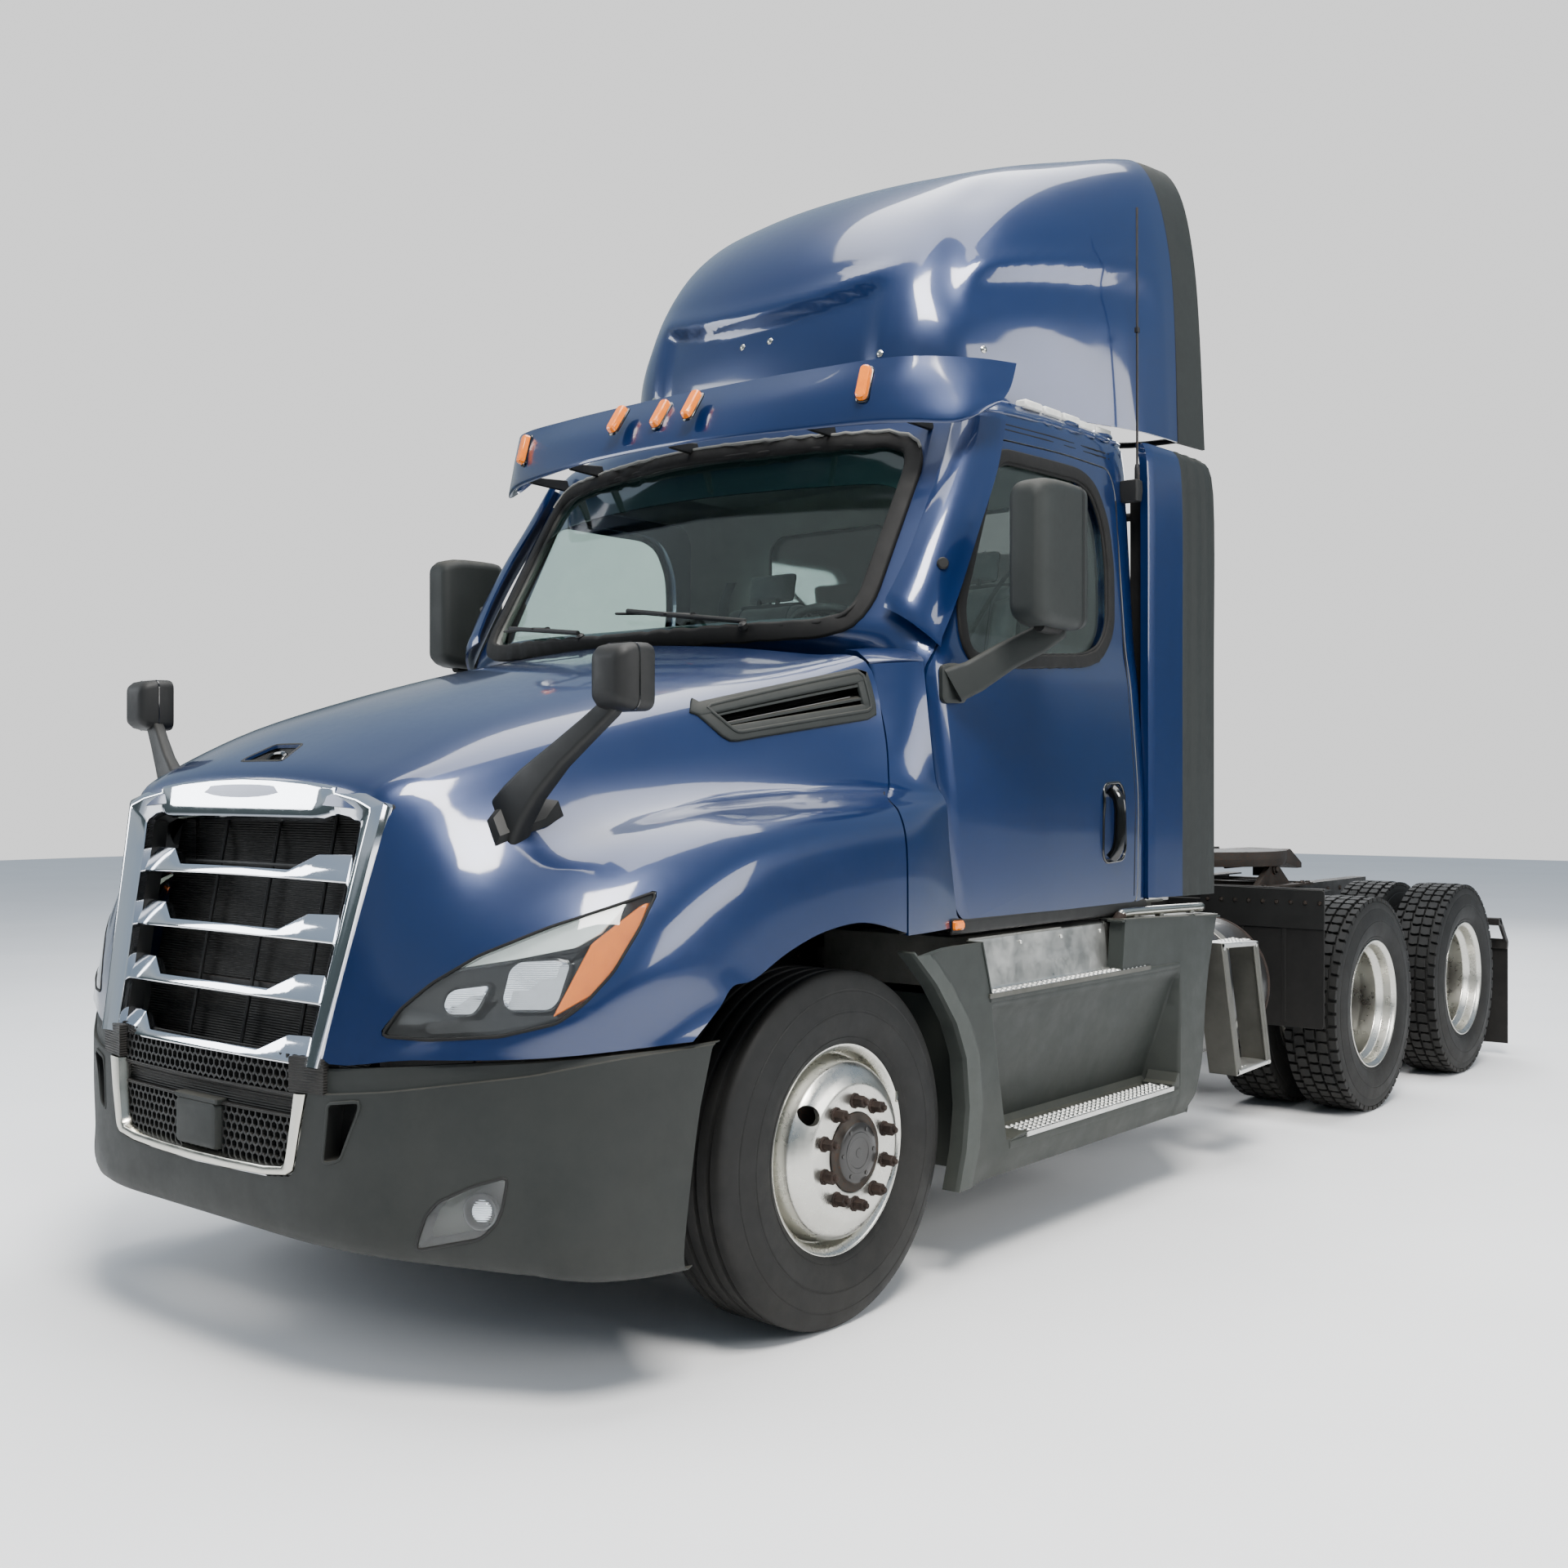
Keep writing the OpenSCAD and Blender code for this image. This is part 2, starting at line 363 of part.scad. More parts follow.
// ---------- skirts, steps, tanks ----------
SK = [[277,1030],[394,928],[498,803],[551,693],[569,536],[550,410],[510,293],[2083,291],[2167,470],[2254,819],[2331,1020],[1600,1050],[1560,1050],[1540,870],[690,870],[640,1032],[461,1040]];
module side_skirts() color(charcoal) F() both() {
  difference() {
    union() {
      side_cut(SK, 1150, half_w);
      bx([1150, 690, 838], [half_w, 1990, 866]);
      bx([1150, 780, 360], [half_w, 1990, 404]);
    }
    // recess between the two steps, closed by the leaning panel below
    side_cut([[700,832],[1990,832],[1980,404],[790,404]], 1100, 1300);
    side_cut([[640,820],[600,540],[580,320],[2060,318],[2140,470],[2230,819],[2300,990],[1620,1020],[1580,850],[690,850]], 1100, 1156);
  }
  front_cut([[1194,838],[1209,838],[1209,830],[1066,402],[1050,402]], 700, 1988);
  intersection() {
    union() {
      side_cut([[692,836],[706,836],[797,400],[783,400]], 1040, half_w);
      side_cut([[1982,836],[1996,836],[1986,400],[1972,400]], 1040, half_w);
    }
    front_cut([[1194,836],[half_w,836],[half_w,402],[1050,402]], 600, 2100);
  }
  bx([1050, 784, 374], [1160, 1988, 403]);
  // inner splash panel behind the front wheel and floor of the skirt
  bx([540, 640, 330], [1156, 652, 860]);
  bx([540, 650, 322], [1156, 700, 334]);
}
module steps() color(alu) F() {
  both() {
    bx([1110, 680, 867], [half_w+1, 1750, 876]);
    bx([1108, 900, 405], [half_w+1, 1930, 414]);
  }
  // two-tread ladder to the deck behind the cab, left side
  difference() {
    side_cut([[2360,905],[2700,890],[2830,380],[2500,370]], 1085, 1205);
    side_cut([[2384,885],[2676,872],[2800,395],[2516,388]], 1080, 1210);
  }
  bx([1085, 2372, 880], [1205, 2690, 896]);
  bx([1060, 2400, 640], [1090, 2700, 700]);
}
module fuel_tanks() color(black) F() both() {
  translate([770, 1300, 655]) rotate([-90, 0, 0]) cylinder(r = 288, h = 1860, $fn = 96);
  translate([770, 3159, 655]) intersection() { translate([0, -560, 0]) sphere(r = 630, $fn = 96); translate([0, 0, 0]) rotate([-90, 0, 0]) cylinder(r = 288, h = 120, $fn = 96); }
  for (y = [1500, 2900]) bx([rail_x+1, y-30, 740], [520, y+30, 960]);
}
module battery_boxes() color(alu) F() both() {
  bx([560, 680, 880], [1135, 1250, 1040]);
  bx([1090, 1250, 880], [1135, 1600, 1035]);
  bx([rail_x+1, 800, 900], [565, 1150, 960]);
  bx([rail_x+1, 760, 420], [1030, 1280, 820]);
}
module air_tanks() color(black) F() {
  for (x = [-245, 245]) translate([x, 1900, 600]) rotate([-90, 0, 0]) cylinder(d = 240, h = 760, $fn = 64);
  for (x = [-245, 245]) for (y = [2000, 2560]) bx([x-20, y-25, 700], [x+20, y+25, 760]);
  both() for (y = [2000, 2560]) bx([225, y-25, 742], [rail_x-9, y+25, 762]);
}
module deck_plate() color(alu) F() {
  bx([-560, 2080, 1000], [560, 3150, 1010]);
  for (y = [2150, 2600, 3050]) bx([-540, y-20, 985.5], [540, y+20, 1001]);
}
module quarter_fenders() color(black) F() both() {
  bx([600, 3440, 880], [1190, 3446, 1062]);
  bx([620, 3447, 440], [1185, 3453, 930]);
  bx([600, 3446, 1054], [1190, 3520, 1062]);
  bx([rail_x+1, 3446, 990], [604, 3500, 1020]);
  bx([rail_x+1, 3450, 900], [640, 3462, 1000]);
}
module mud_flaps() color(black) F() both() {
  bx([600, 6076, 66], [1210, 6086, 640]);
  bx([600, 6060, 600], [1212, 6078, 660]);
  side_cut([[5930,770],[5960,780],[6100,640],[6086,600],[6060,600]], 1192, 1212);
  side_cut([[5930,770],[5960,780],[6100,640],[6086,600],[6060,600]], 600, 620);
  bx([rail_x+1, 5920, 740], [1212, 5970, 785]);
  bx([rail_x-200, 6010, 760], [rail_x, 6040, 960]);
}
module fifth_wheel_base() color(black) F() {
  both() {
    bx([rail_x-20, 4330, 985.5], [rail_x+60, 5060, 997]);
    difference() {
      side_cut([[4480,990],[4920,990],[4760,1095],[4725,1112],[4675,1112],[4640,1095]], 395, 425);
      translate([390, wheelbase, 1082]) rotate([0, 90, 0]) cylinder(r = 22, h = 50, $fn = 48);
    }
    translate([360, wheelbase, 1082]) rotate([0, 90, 0]) cylinder(r = 21.5, h = 75, $fn = 48);
    bx([rail_x+1, 4400, 900], [rail_x+10, 5000, 990]);
  }
  bx([-rail_x, 4500, 985.5], [rail_x, 4560, 1000]);
  bx([-rail_x, 4840, 985.5], [rail_x, 4900, 1000]);
}
module fifth_wheel_plate() color(black) F() difference() {
  union() {
    translate([0, wheelbase, 1135]) cylinder(r = 455, h = 40, $fn = 96);
    // sloping ramps at the rear
    rotate([0, 0, 0]) both() side_cut([[4900,1135],[5140,1172],[5300,1090],[5300,1062],[5230,1062],[5000,1120]], 70, 330);
    for (x = [-375, 335]) bx([x, wheelbase-70, 1046], [x+40, wheelbase+70, 1140]);
    bx([-300, wheelbase-90, 1098], [300, wheelbase+90, 1136]);
  }
  // kingpin lock bore and its throat, open to the rear
  translate([0, wheelbase, 1060]) cylinder(r = 25.6, h = 130, $fn = 96);
  linear_extrude(1300) polygon([[-25, wheelbase+8], [25, wheelbase+8], [70, 4960], [120, 5400], [-120, 5400], [-70, 4960]]);
  both() translate([330, wheelbase, 1082]) rotate([0, 90, 0]) cylinder(r = 21.6, h = 50, $fn = 48);
}

// ---------- cabin ----------
module seat() {
  hull() { bx([-240, 1080, 1600], [240, 1560, 1680]); bx([-220, 1100, 1590], [220, 1540, 1730]); }
  hull() { bx([-230, 1500, 1720], [230, 1580, 1760]); bx([-200, 1650, 2280], [200, 1720, 2300]); }
  hull() { bx([-130, 1630, 2290], [130, 1700, 2300]); bx([-120, 1650, 2400], [120, 1710, 2420]); }
  bx([-190, 1150, 1420], [190, 1480, 1600]);
  bx([-230, 1100, 1222], [230, 1520, 1424]);
}
module seats() color([0.3, 0.3, 0.31]) F() for (x = [-500, 500]) translate([x, 0, 0]) seat();
module dashboard() color([0.22, 0.22, 0.22]) F() {
  side_cut([[640,1700],[560,1900],[520,1975],[700,1998],[800,1985],[840,1900],[800,1720],[700,1690]], -915, 915);
  translate([500, 905, 2010]) rotate([-32, 0, 0]) translate([0, 0, -330]) cylinder(d = 56, h = 318, $fn = 32);
}
module steering_wheel() color(black) F() translate([500, 905, 2010]) rotate([-32, 0, 0]) {
  rotate_extrude($fn = 64) translate([215, 0]) circle(r = 15, $fn = 24);
  cylinder(r = 60, h = 34, $fn = 48);
  translate([0, 0, -8]) cylinder(r = 27, h = 20, $fn = 48);
  for (a = [0, 180, 270]) rotate([0, 0, a]) translate([40, -16, 4]) cube([165, 32, 12]);
}
module antenna() color(black) F() {
  bx([1066, 1780, 2560], [1146, 1832, 2640]);
  translate([1128, 1812, 2630]) cylinder(r = 5, h = 1010, $fn = 24);
  bx([1120, 1804, 3180], [1136, 1820, 3200]);
}

// ---------- wheels ----------
module tyre(w) { // revolved about x
  r = tyre_d/2; ri = rim_d/2 - 14; h = w/2;
  rotate([0, 90, 0]) rotate_extrude($fn = 128) polygon([
    [ri, -h+28], [ri+30, -h+12], [ri+95, -h], [r-70, -h+6], [r-18, -h+26], [r, -h+50], [r, h-50],
    [r-18, h-26], [r-70, h-6], [ri+95, h], [ri+30, h-12], [ri, h-28], [ri-6, h-60], [ri-6, -h+60]]);
}
// disc wheel about x, 234 wide over its lips, its bolting face 171 out from its middle
module rim() rotate([0, 90, 0]) difference() {
  rotate_extrude($fn = 128) {
    ro = rim_d/2 - 0.3; h = 117;
    polygon([[ro, -h], [ro, -h+10], [ro-15, -h+14], [ro-18, -h+55], [ro-40, -h+75], [ro-40, h-75], [ro-18, h-55], [ro-15, h-14], [ro, h-10], [ro, h],
      [ro-10, h], [ro-26, h-16], [ro-28, h-58], [ro-36, h-64], [ro-52, 130], [214, 156], [186, 171], [110.3, 171], [110.3, 160], [182, 160],
      [206, 146], [ro-62, 118], [ro-50, 40], [ro-52, -h+80], [ro-28, -h+58], [ro-26, -h+16], [ro-10, -h]]);
  }
  for (a = [0:1]) rotate([0, 0, 55+a*180]) translate([219, 0, 90]) cylinder(r = 27, h = 100, $fn = 32);
}
steer_x = 1035;
module nuts(x0, x1) for (i = [0:9]) rotate([0, 0, i*36]) translate([142.9, 0, x0]) cylinder(r = 15, h = x1-x0, $fn = 24);
module steer_wheel_l() translate([steer_x, 0, axle_z]) {
  rim();
  // drum and hub
  rotate([0, 90, 0]) {
    translate([0, 0, -118]) difference() { cylinder(r = 212, h = 232, $fn = 96); translate([0, 0, -1]) cylinder(r = 196, h = 223, $fn = 96); translate([0, 0, 100]) cylinder(r = 31, h = 160, $fn = 48); }
    difference() {
      union() { translate([0, 0, 80]) cylinder(r = 110, h = 92, $fn = 96); translate([0, 0, 112]) cylinder(r = 170, h = 48, $fn = 96); translate([0, 0, 112]) cylinder(r = 66, h = 74, $fn = 96); }
      translate([0, 0, 79]) cylinder(r = 31, h = 70, $fn = 48);
    }
    nuts(150, 224);
  }
}
module knuckle_l() color(black) {
  translate([king_x, 0, 380]) cylinder(r = 44, h = 62, $fn = 48);
  translate([king_x, 0, 542]) cylinder(r = 44, h = 58, $fn = 48);
  translate([king_x, 0, 430]) cylinder(r = 23.7, h = 130, $fn = 48);
  bx([king_x+10, -42, 382], [king_x+62, 42, 440]);
  bx([king_x+10, -42, 544], [king_x+62, 42, 598]);
  bx([king_x+52, -50, 382], [king_x+76, 50, 598]);
  translate([king_x+60, 0, axle_z]) rotate([0, 90, 0]) cylinder(r = 30.6, h = 230, $fn = 48);
  // steering arm
  bx([king_x-60, 30, 381], [king_x+30, 60, 405]);
  bx([king_x-60, 50, 381], [king_x-20, 200, 405]);
}
module dual_l(a) translate([0, a, axle_z]) { // outer lip at 1193
  translate([1076, 0, 0]) mirror([1, 0, 0]) rim();
  translate([734, 0, 0]) rim();
  rotate([0, 90, 0]) {
    translate([0, 0, 880]) cylinder(r = 109, h = 150, $fn = 96);
    translate([0, 0, 1020]) cylinder(r = 84, h = 40, $fn = 96);
    difference() { translate([0, 0, 640]) cylinder(r = 214, h = 254, $fn = 96); translate([0, 0, 630]) cylinder(r = 200, h = 246, $fn = 96); translate([0, 0, 800]) cylinder(r = 80, h = 78, $fn = 48); }
    nuts(880, 960);
  }
}
module dual_tyres_l(a) translate([0, a, axle_z]) { translate([1076, 0, 0]) tyre(drive_w); translate([734, 0, 0]) tyre(drive_w); }

module left_knuckle() F() knuckle_l();
module right_knuckle() F() mirror([1, 0, 0]) knuckle_l();
module front_left_wheel() color(alu) F() steer_wheel_l();
module front_right_wheel() color(alu) F() mirror([1, 0, 0]) steer_wheel_l();
module front_left_tyre() color(black) F() translate([steer_x, 0, axle_z]) tyre(steer_w);
module front_right_tyre() color(black) F() mirror([1, 0, 0]) translate([steer_x, 0, axle_z]) tyre(steer_w);
module mid_left_wheels() color(alu) F() dual_l(ax1);
module mid_left_tyres() color(black) F() dual_tyres_l(ax1);
module mid_right_wheels() color(alu) F() mirror([1, 0, 0]) dual_l(ax1);
module mid_right_tyres() color(black) F() mirror([1, 0, 0]) dual_tyres_l(ax1);
module rear_left_wheels() color(alu) F() dual_l(ax2);
module rear_left_tyres() color(black) F() dual_tyres_l(ax2);
module rear_right_wheels() color(alu) F() mirror([1, 0, 0]) dual_l(ax2);
module rear_right_tyres() color(black) F() mirror([1, 0, 0]) dual_tyres_l(ax2);

frame_rails();
engine_block();
radiator();
front_axle();
suspension();
drive_axles();
bumper();
lower_grille();
cab();
windshield();
rear_windows();
sun_visor();
roof_fairing();
side_extenders();
side_skirts();
steps();
fuel_tanks();
battery_boxes();
air_tanks();
deck_plate();
quarter_fenders();
mud_flaps();
fifth_wheel_base();
seats();
dashboard();
antenna();
hood();
grille();
headlamps();
hood_mirrors();
left_door();
left_door_glass();
left_mirror();
right_door();
right_door_glass();
right_mirror();
left_knuckle();
right_knuckle();
front_left_wheel();
front_left_tyre();
front_right_wheel();
front_right_tyre();
mid_left_wheels();
mid_left_tyres();
mid_right_wheels();
mid_right_tyres();
rear_left_wheels();
rear_left_tyres();
rear_right_wheels();
rear_right_tyres();
fifth_wheel_plate();
steering_wheel();
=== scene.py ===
import bpy, bmesh, math
import numpy as np
from mathutils import Vector, Matrix, Euler


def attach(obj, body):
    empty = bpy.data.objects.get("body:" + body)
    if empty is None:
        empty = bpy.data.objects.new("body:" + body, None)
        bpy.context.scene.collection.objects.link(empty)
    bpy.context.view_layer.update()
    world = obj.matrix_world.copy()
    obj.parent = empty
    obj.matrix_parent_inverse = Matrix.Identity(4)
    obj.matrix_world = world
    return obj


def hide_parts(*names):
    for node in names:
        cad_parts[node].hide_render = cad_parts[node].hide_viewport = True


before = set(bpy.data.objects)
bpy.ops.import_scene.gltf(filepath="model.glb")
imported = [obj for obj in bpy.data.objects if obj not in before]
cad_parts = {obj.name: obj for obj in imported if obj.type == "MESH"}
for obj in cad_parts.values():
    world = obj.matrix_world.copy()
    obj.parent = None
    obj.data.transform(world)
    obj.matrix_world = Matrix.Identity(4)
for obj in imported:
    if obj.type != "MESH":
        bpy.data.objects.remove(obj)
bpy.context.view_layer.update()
rng = np.random.default_rng(7)
# the CAD source's own outline tables, in working millimetres
C0 = [[0,560],[450,560],[850,560],[1010,555],[1144,600],[1150,1200],[1150,1790],[1135,1870],[1050,1920],[450,1925],[0,1925]]
C1 = [[0,530],[450,530],[850,530],[1010,525],[1140,545],[1150,1200],[1150,1790],[1135,1870],[1050,1920],[450,1925],[0,1925]]
C2 = [[0,430],[450,445],[850,470],[1000,482],[1114,512],[1126,1200],[1122,1795],[1108,1872],[1030,1920],[450,1925],[0,1925]]
C3 = [[0,248],[450,292],[905,440],[1010,490],[1098,590],[1112,1200],[1108,1795],[1094,1870],[1020,1918],[450,1925],[0,1925]]
C4 = [[0,648],[450,695],[893,845],[980,878],[1052,948],[1074,1300],[1070,1790],[1056,1862],[980,1912],[450,1920],[0,1920]]
C5 = [[0,690],[450,735],[880,882],[966,915],[1040,985],[1062,1300],[1058,1785],[1044,1852],[968,1902],[450,1912],[0,1912]]
C6 = [[0,740],[450,785],[850,930],[930,985],[1010,1080],[1026,1310],[1022,1775],[1008,1835],[935,1882],[450,1890],[0,1890]]
C7 = [[0,850],[450,890],[760,1000],[830,1050],[900,1140],[915,1320],[912,1740],[900,1790],[830,1830],[450,1840],[0,1840]]
CABZ = [1078, 1480, 1905, 2005, 2690, 2775, 2815, 2862]
DOOR = [[655,1090],[628,1100],[602,1141],[564,1323],[548,1480],[516,1550],[508,1620],[508,1880],[545,1938],[602,2000],[880,2560],[958,2668],[1400,2676],[1700,2672],[1742,2600],[1768,1900],[1774,1160],[1768,1096],[1700,1086]]
DOORS = [[658,1096],[632,1106],[608,1143],[570,1325],[554,1482],[522,1552],[514,1622],[514,1878],[550,1934],[608,1997],[886,2557],[961,2662],[1400,2670],[1696,2666],[1736,2598],[1762,1900],[1768,1162],[1762,1102],[1698,1092]]
DWIN = [[706,2000],[716,1950],[766,1920],[1440,1962],[1560,1995],[1640,2080],[1660,2300],[1640,2460],[1570,2570],[1480,2606],[1000,2604],[938,2570],[704,2092]]
WINDC = [[-842,2052],[-760,2032],[0,2022],[760,2032],[842,2052],[862,2110],[852,2560],[830,2620],[760,2648],[0,2660],[-760,2648],[-830,2620],[-852,2560],[-862,2110]]
REARW = [[60,2290],[90,2260],[660,2260],[700,2300],[700,2560],[650,2616],[100,2616],[60,2576]]
VIS = [ [[0,462,2700],[350,474,2698],[620,528,2696],[830,596,2696],[960,662,2695],[1068,760,2696],[1120,880,2762]], [[0,425,2684],[350,440,2681],[620,497,2678],[830,565,2678],[960,628,2677],[1080,718,2678],[1152,842,2745]], [[0,468,2790],[350,482,2790],[620,520,2790],[830,574,2790],[960,642,2790],[1088,762,2790],[1163,884,2800]], [[0,545,2890],[350,558,2891],[620,582,2892],[830,610,2892],[960,668,2892],[1085,806,2892],[1156,932,2888]]]
FAIR = [ [[0,930,2868],[350,955,2868],[575,1008,2866],[690,1090,2862],[742,1160,2858],[780,1230,2856]], [[0,952,3152],[350,977,3143],[596,1028,3116],[738,1118,3058],[812,1236,2972],[850,1350,2850]], [[0,1020,3390],[350,1045,3376],[605,1097,3336],[762,1188,3248],[866,1346,3108],[925,1490,2848]], [[0,1140,3586],[350,1162,3572],[620,1220,3526],[800,1316,3434],[926,1473,3224],[985,1630,2846]], [[0,1320,3742],[350,1340,3728],[662,1394,3684],[860,1488,3582],[980,1636,3312],[1045,1770,2842]], [[0,1568,3868],[350,1582,3860],[715,1622,3824],[914,1708,3720],[1034,1816,3402],[1095,1900,2838]], [[0,1866,3950],[350,1873,3945],[762,1900,3922],[964,1955,3842],[1078,2018,3480],[1120,2050,2834]], [[0,2112,3990],[350,2114,3988],[786,2122,3974],[990,2133,3906],[1092,2150,3530],[1128,2140,2832]], [[0,2306,3998],[350,2307,3997],[804,2312,3987],[1014,2318,3918],[1110,2328,3560],[1150,2334,2830]]]
BX = [[0,-1300],[240,-1296],[460,-1279],[680,-1214],[865,-1118],[1010,-1025],[1118,-890],[1180,-735],[1210,-580]]
BT = [818, 818, 818, 835, 851, 861, 868, 872, 876]
BB = [380, 378, 372, 362, 350, 338, 328, 322, 318]
LOWOPEN = [[-522,766],[-476,758],[-430,562],[-412,545],[-322,534],[0,527],[322,534],[412,545],[430,562],[476,758],[522,766],[528,900],[-528,900]]
HOOD = [ [[0,-1166,1476],[220,-1164,1474],[420,-1158,1466],[520,-1150,1458],[576,-1142,1448],[556,-1176,1300],[530,-1222,1080],[512,-1262,850],[760,-1170,858],[1050,-1000,872],[1206,-660,886]], [[0,-1140,1552],[220,-1138,1549],[420,-1130,1536],[520,-1124,1520],[592,-1112,1496],[650,-1120,1330],[690,-1150,1130],[740,-1162,980],[900,-1088,960],[1115,-930,960],[1212,-570,960]], [[0,-1030,1622],[220,-1028,1618],[430,-1020,1600],[560,-1010,1580],[642,-990,1546],[720,-1010,1400],[800,-1040,1250],[920,-1020,1150],[1060,-930,1110],[1170,-800,1060],[1214,-520,1010]], [[0,-800,1722],[220,-798,1718],[450,-790,1700],[600,-775,1672],[706,-740,1622],[780,-760,1500],[870,-780,1400],[990,-790,1330],[1110,-720,1270],[1190,-620,1190],[1215,-440,1020]], [[0,-500,1818],[230,-498,1812],[470,-490,1790],[640,-470,1756],[766,-430,1700],[840,-450,1560],[930,-470,1465],[1040,-500,1428],[1140,-470,1380],[1200,-420,1290],[1215,-300,1080]], [[0,-200,1896],[240,-196,1890],[500,-180,1866],[690,-150,1828],[832,-110,1768],[900,-140,1610],[980,-180,1500],[1070,-220,1462],[1160,-200,1420],[1205,-180,1330],[1215,-140,1124]], [[0,30,1946],[250,36,1940],[520,60,1916],[730,100,1882],[900,150,1830],[970,120,1650],[1030,60,1520],[1100,30,1476],[1172,20,1436],[1208,20,1340],[1215,40,1136]], [[0,200,1980],[250,210,1974],[540,254,1954],[782,316,1926],[970,364,1896],[1040,362,1690],[1088,318,1530],[1132,256,1480],[1176,248,1440],[1204,246,1340],[1208,246,1092]]]
LAMP = [[-6,912],[40,975],[120,1040],[240,1110],[400,1175],[560,1228],[640,1256],[610,1170],[560,1070],[500,1000],[440,955],[300,922],[120,908]]
SK = [[277,1030],[394,928],[498,803],[551,693],[569,536],[550,410],[510,293],[2083,291],[2167,470],[2254,819],[2331,1020],[1600,1050],[1560,1050],[1540,870],[690,870],[640,1032],[461,1040]]

# ------------------------------------------------------------------ helpers
def V(p):
    p = np.asarray(p, float)
    return (p + np.array([0, -2400.0, 0])) / 1000.0

def cr(a, b, c, d, t):
    return 0.5 * ((2 * b) + (c - a) * t + (2 * a - 5 * b + 4 * c - d) * t * t + (-a + 3 * b - 3 * c + d) * t ** 3)

def dense(l, k, closed=False):
    l = [np.asarray(p, float) for p in l]; n = len(l); out = []
    if closed:
        for i in range(n):
            for s in range(k):
                out.append(cr(l[(i - 1) % n], l[i], l[(i + 1) % n], l[(i + 2) % n], s / k))
        return np.array(out)
    for i in range(n - 1):
        for s in range(k):
            out.append(cr(l[max(i - 1, 0)], l[i], l[i + 1], l[min(i + 2, n - 1)], s / k))
    out.append(l[-1])
    return np.array(out)

def full(r):
    r = [np.array(p, float) for p in r]
    return [p * np.array([-1, 1, 1]) for p in r[:0:-1]] + r

def grid(rows, k):
    return dense([dense(full(r), k) for r in rows], k)

def lerp(a, b, t):
    return np.asarray(a, float) * (1 - t) + np.asarray(b, float) * t

def smooth(a, b, x):
    t = np.clip((x - a) / (b - a), 0, 1)
    return t * t * (3 - 2 * t)

def gnorm(g):
    du = np.gradient(g, axis=1); dv = np.gradient(g, axis=0)
    n = np.cross(du, dv)
    return n / np.maximum(np.linalg.norm(n, axis=2, keepdims=True), 1e-9)

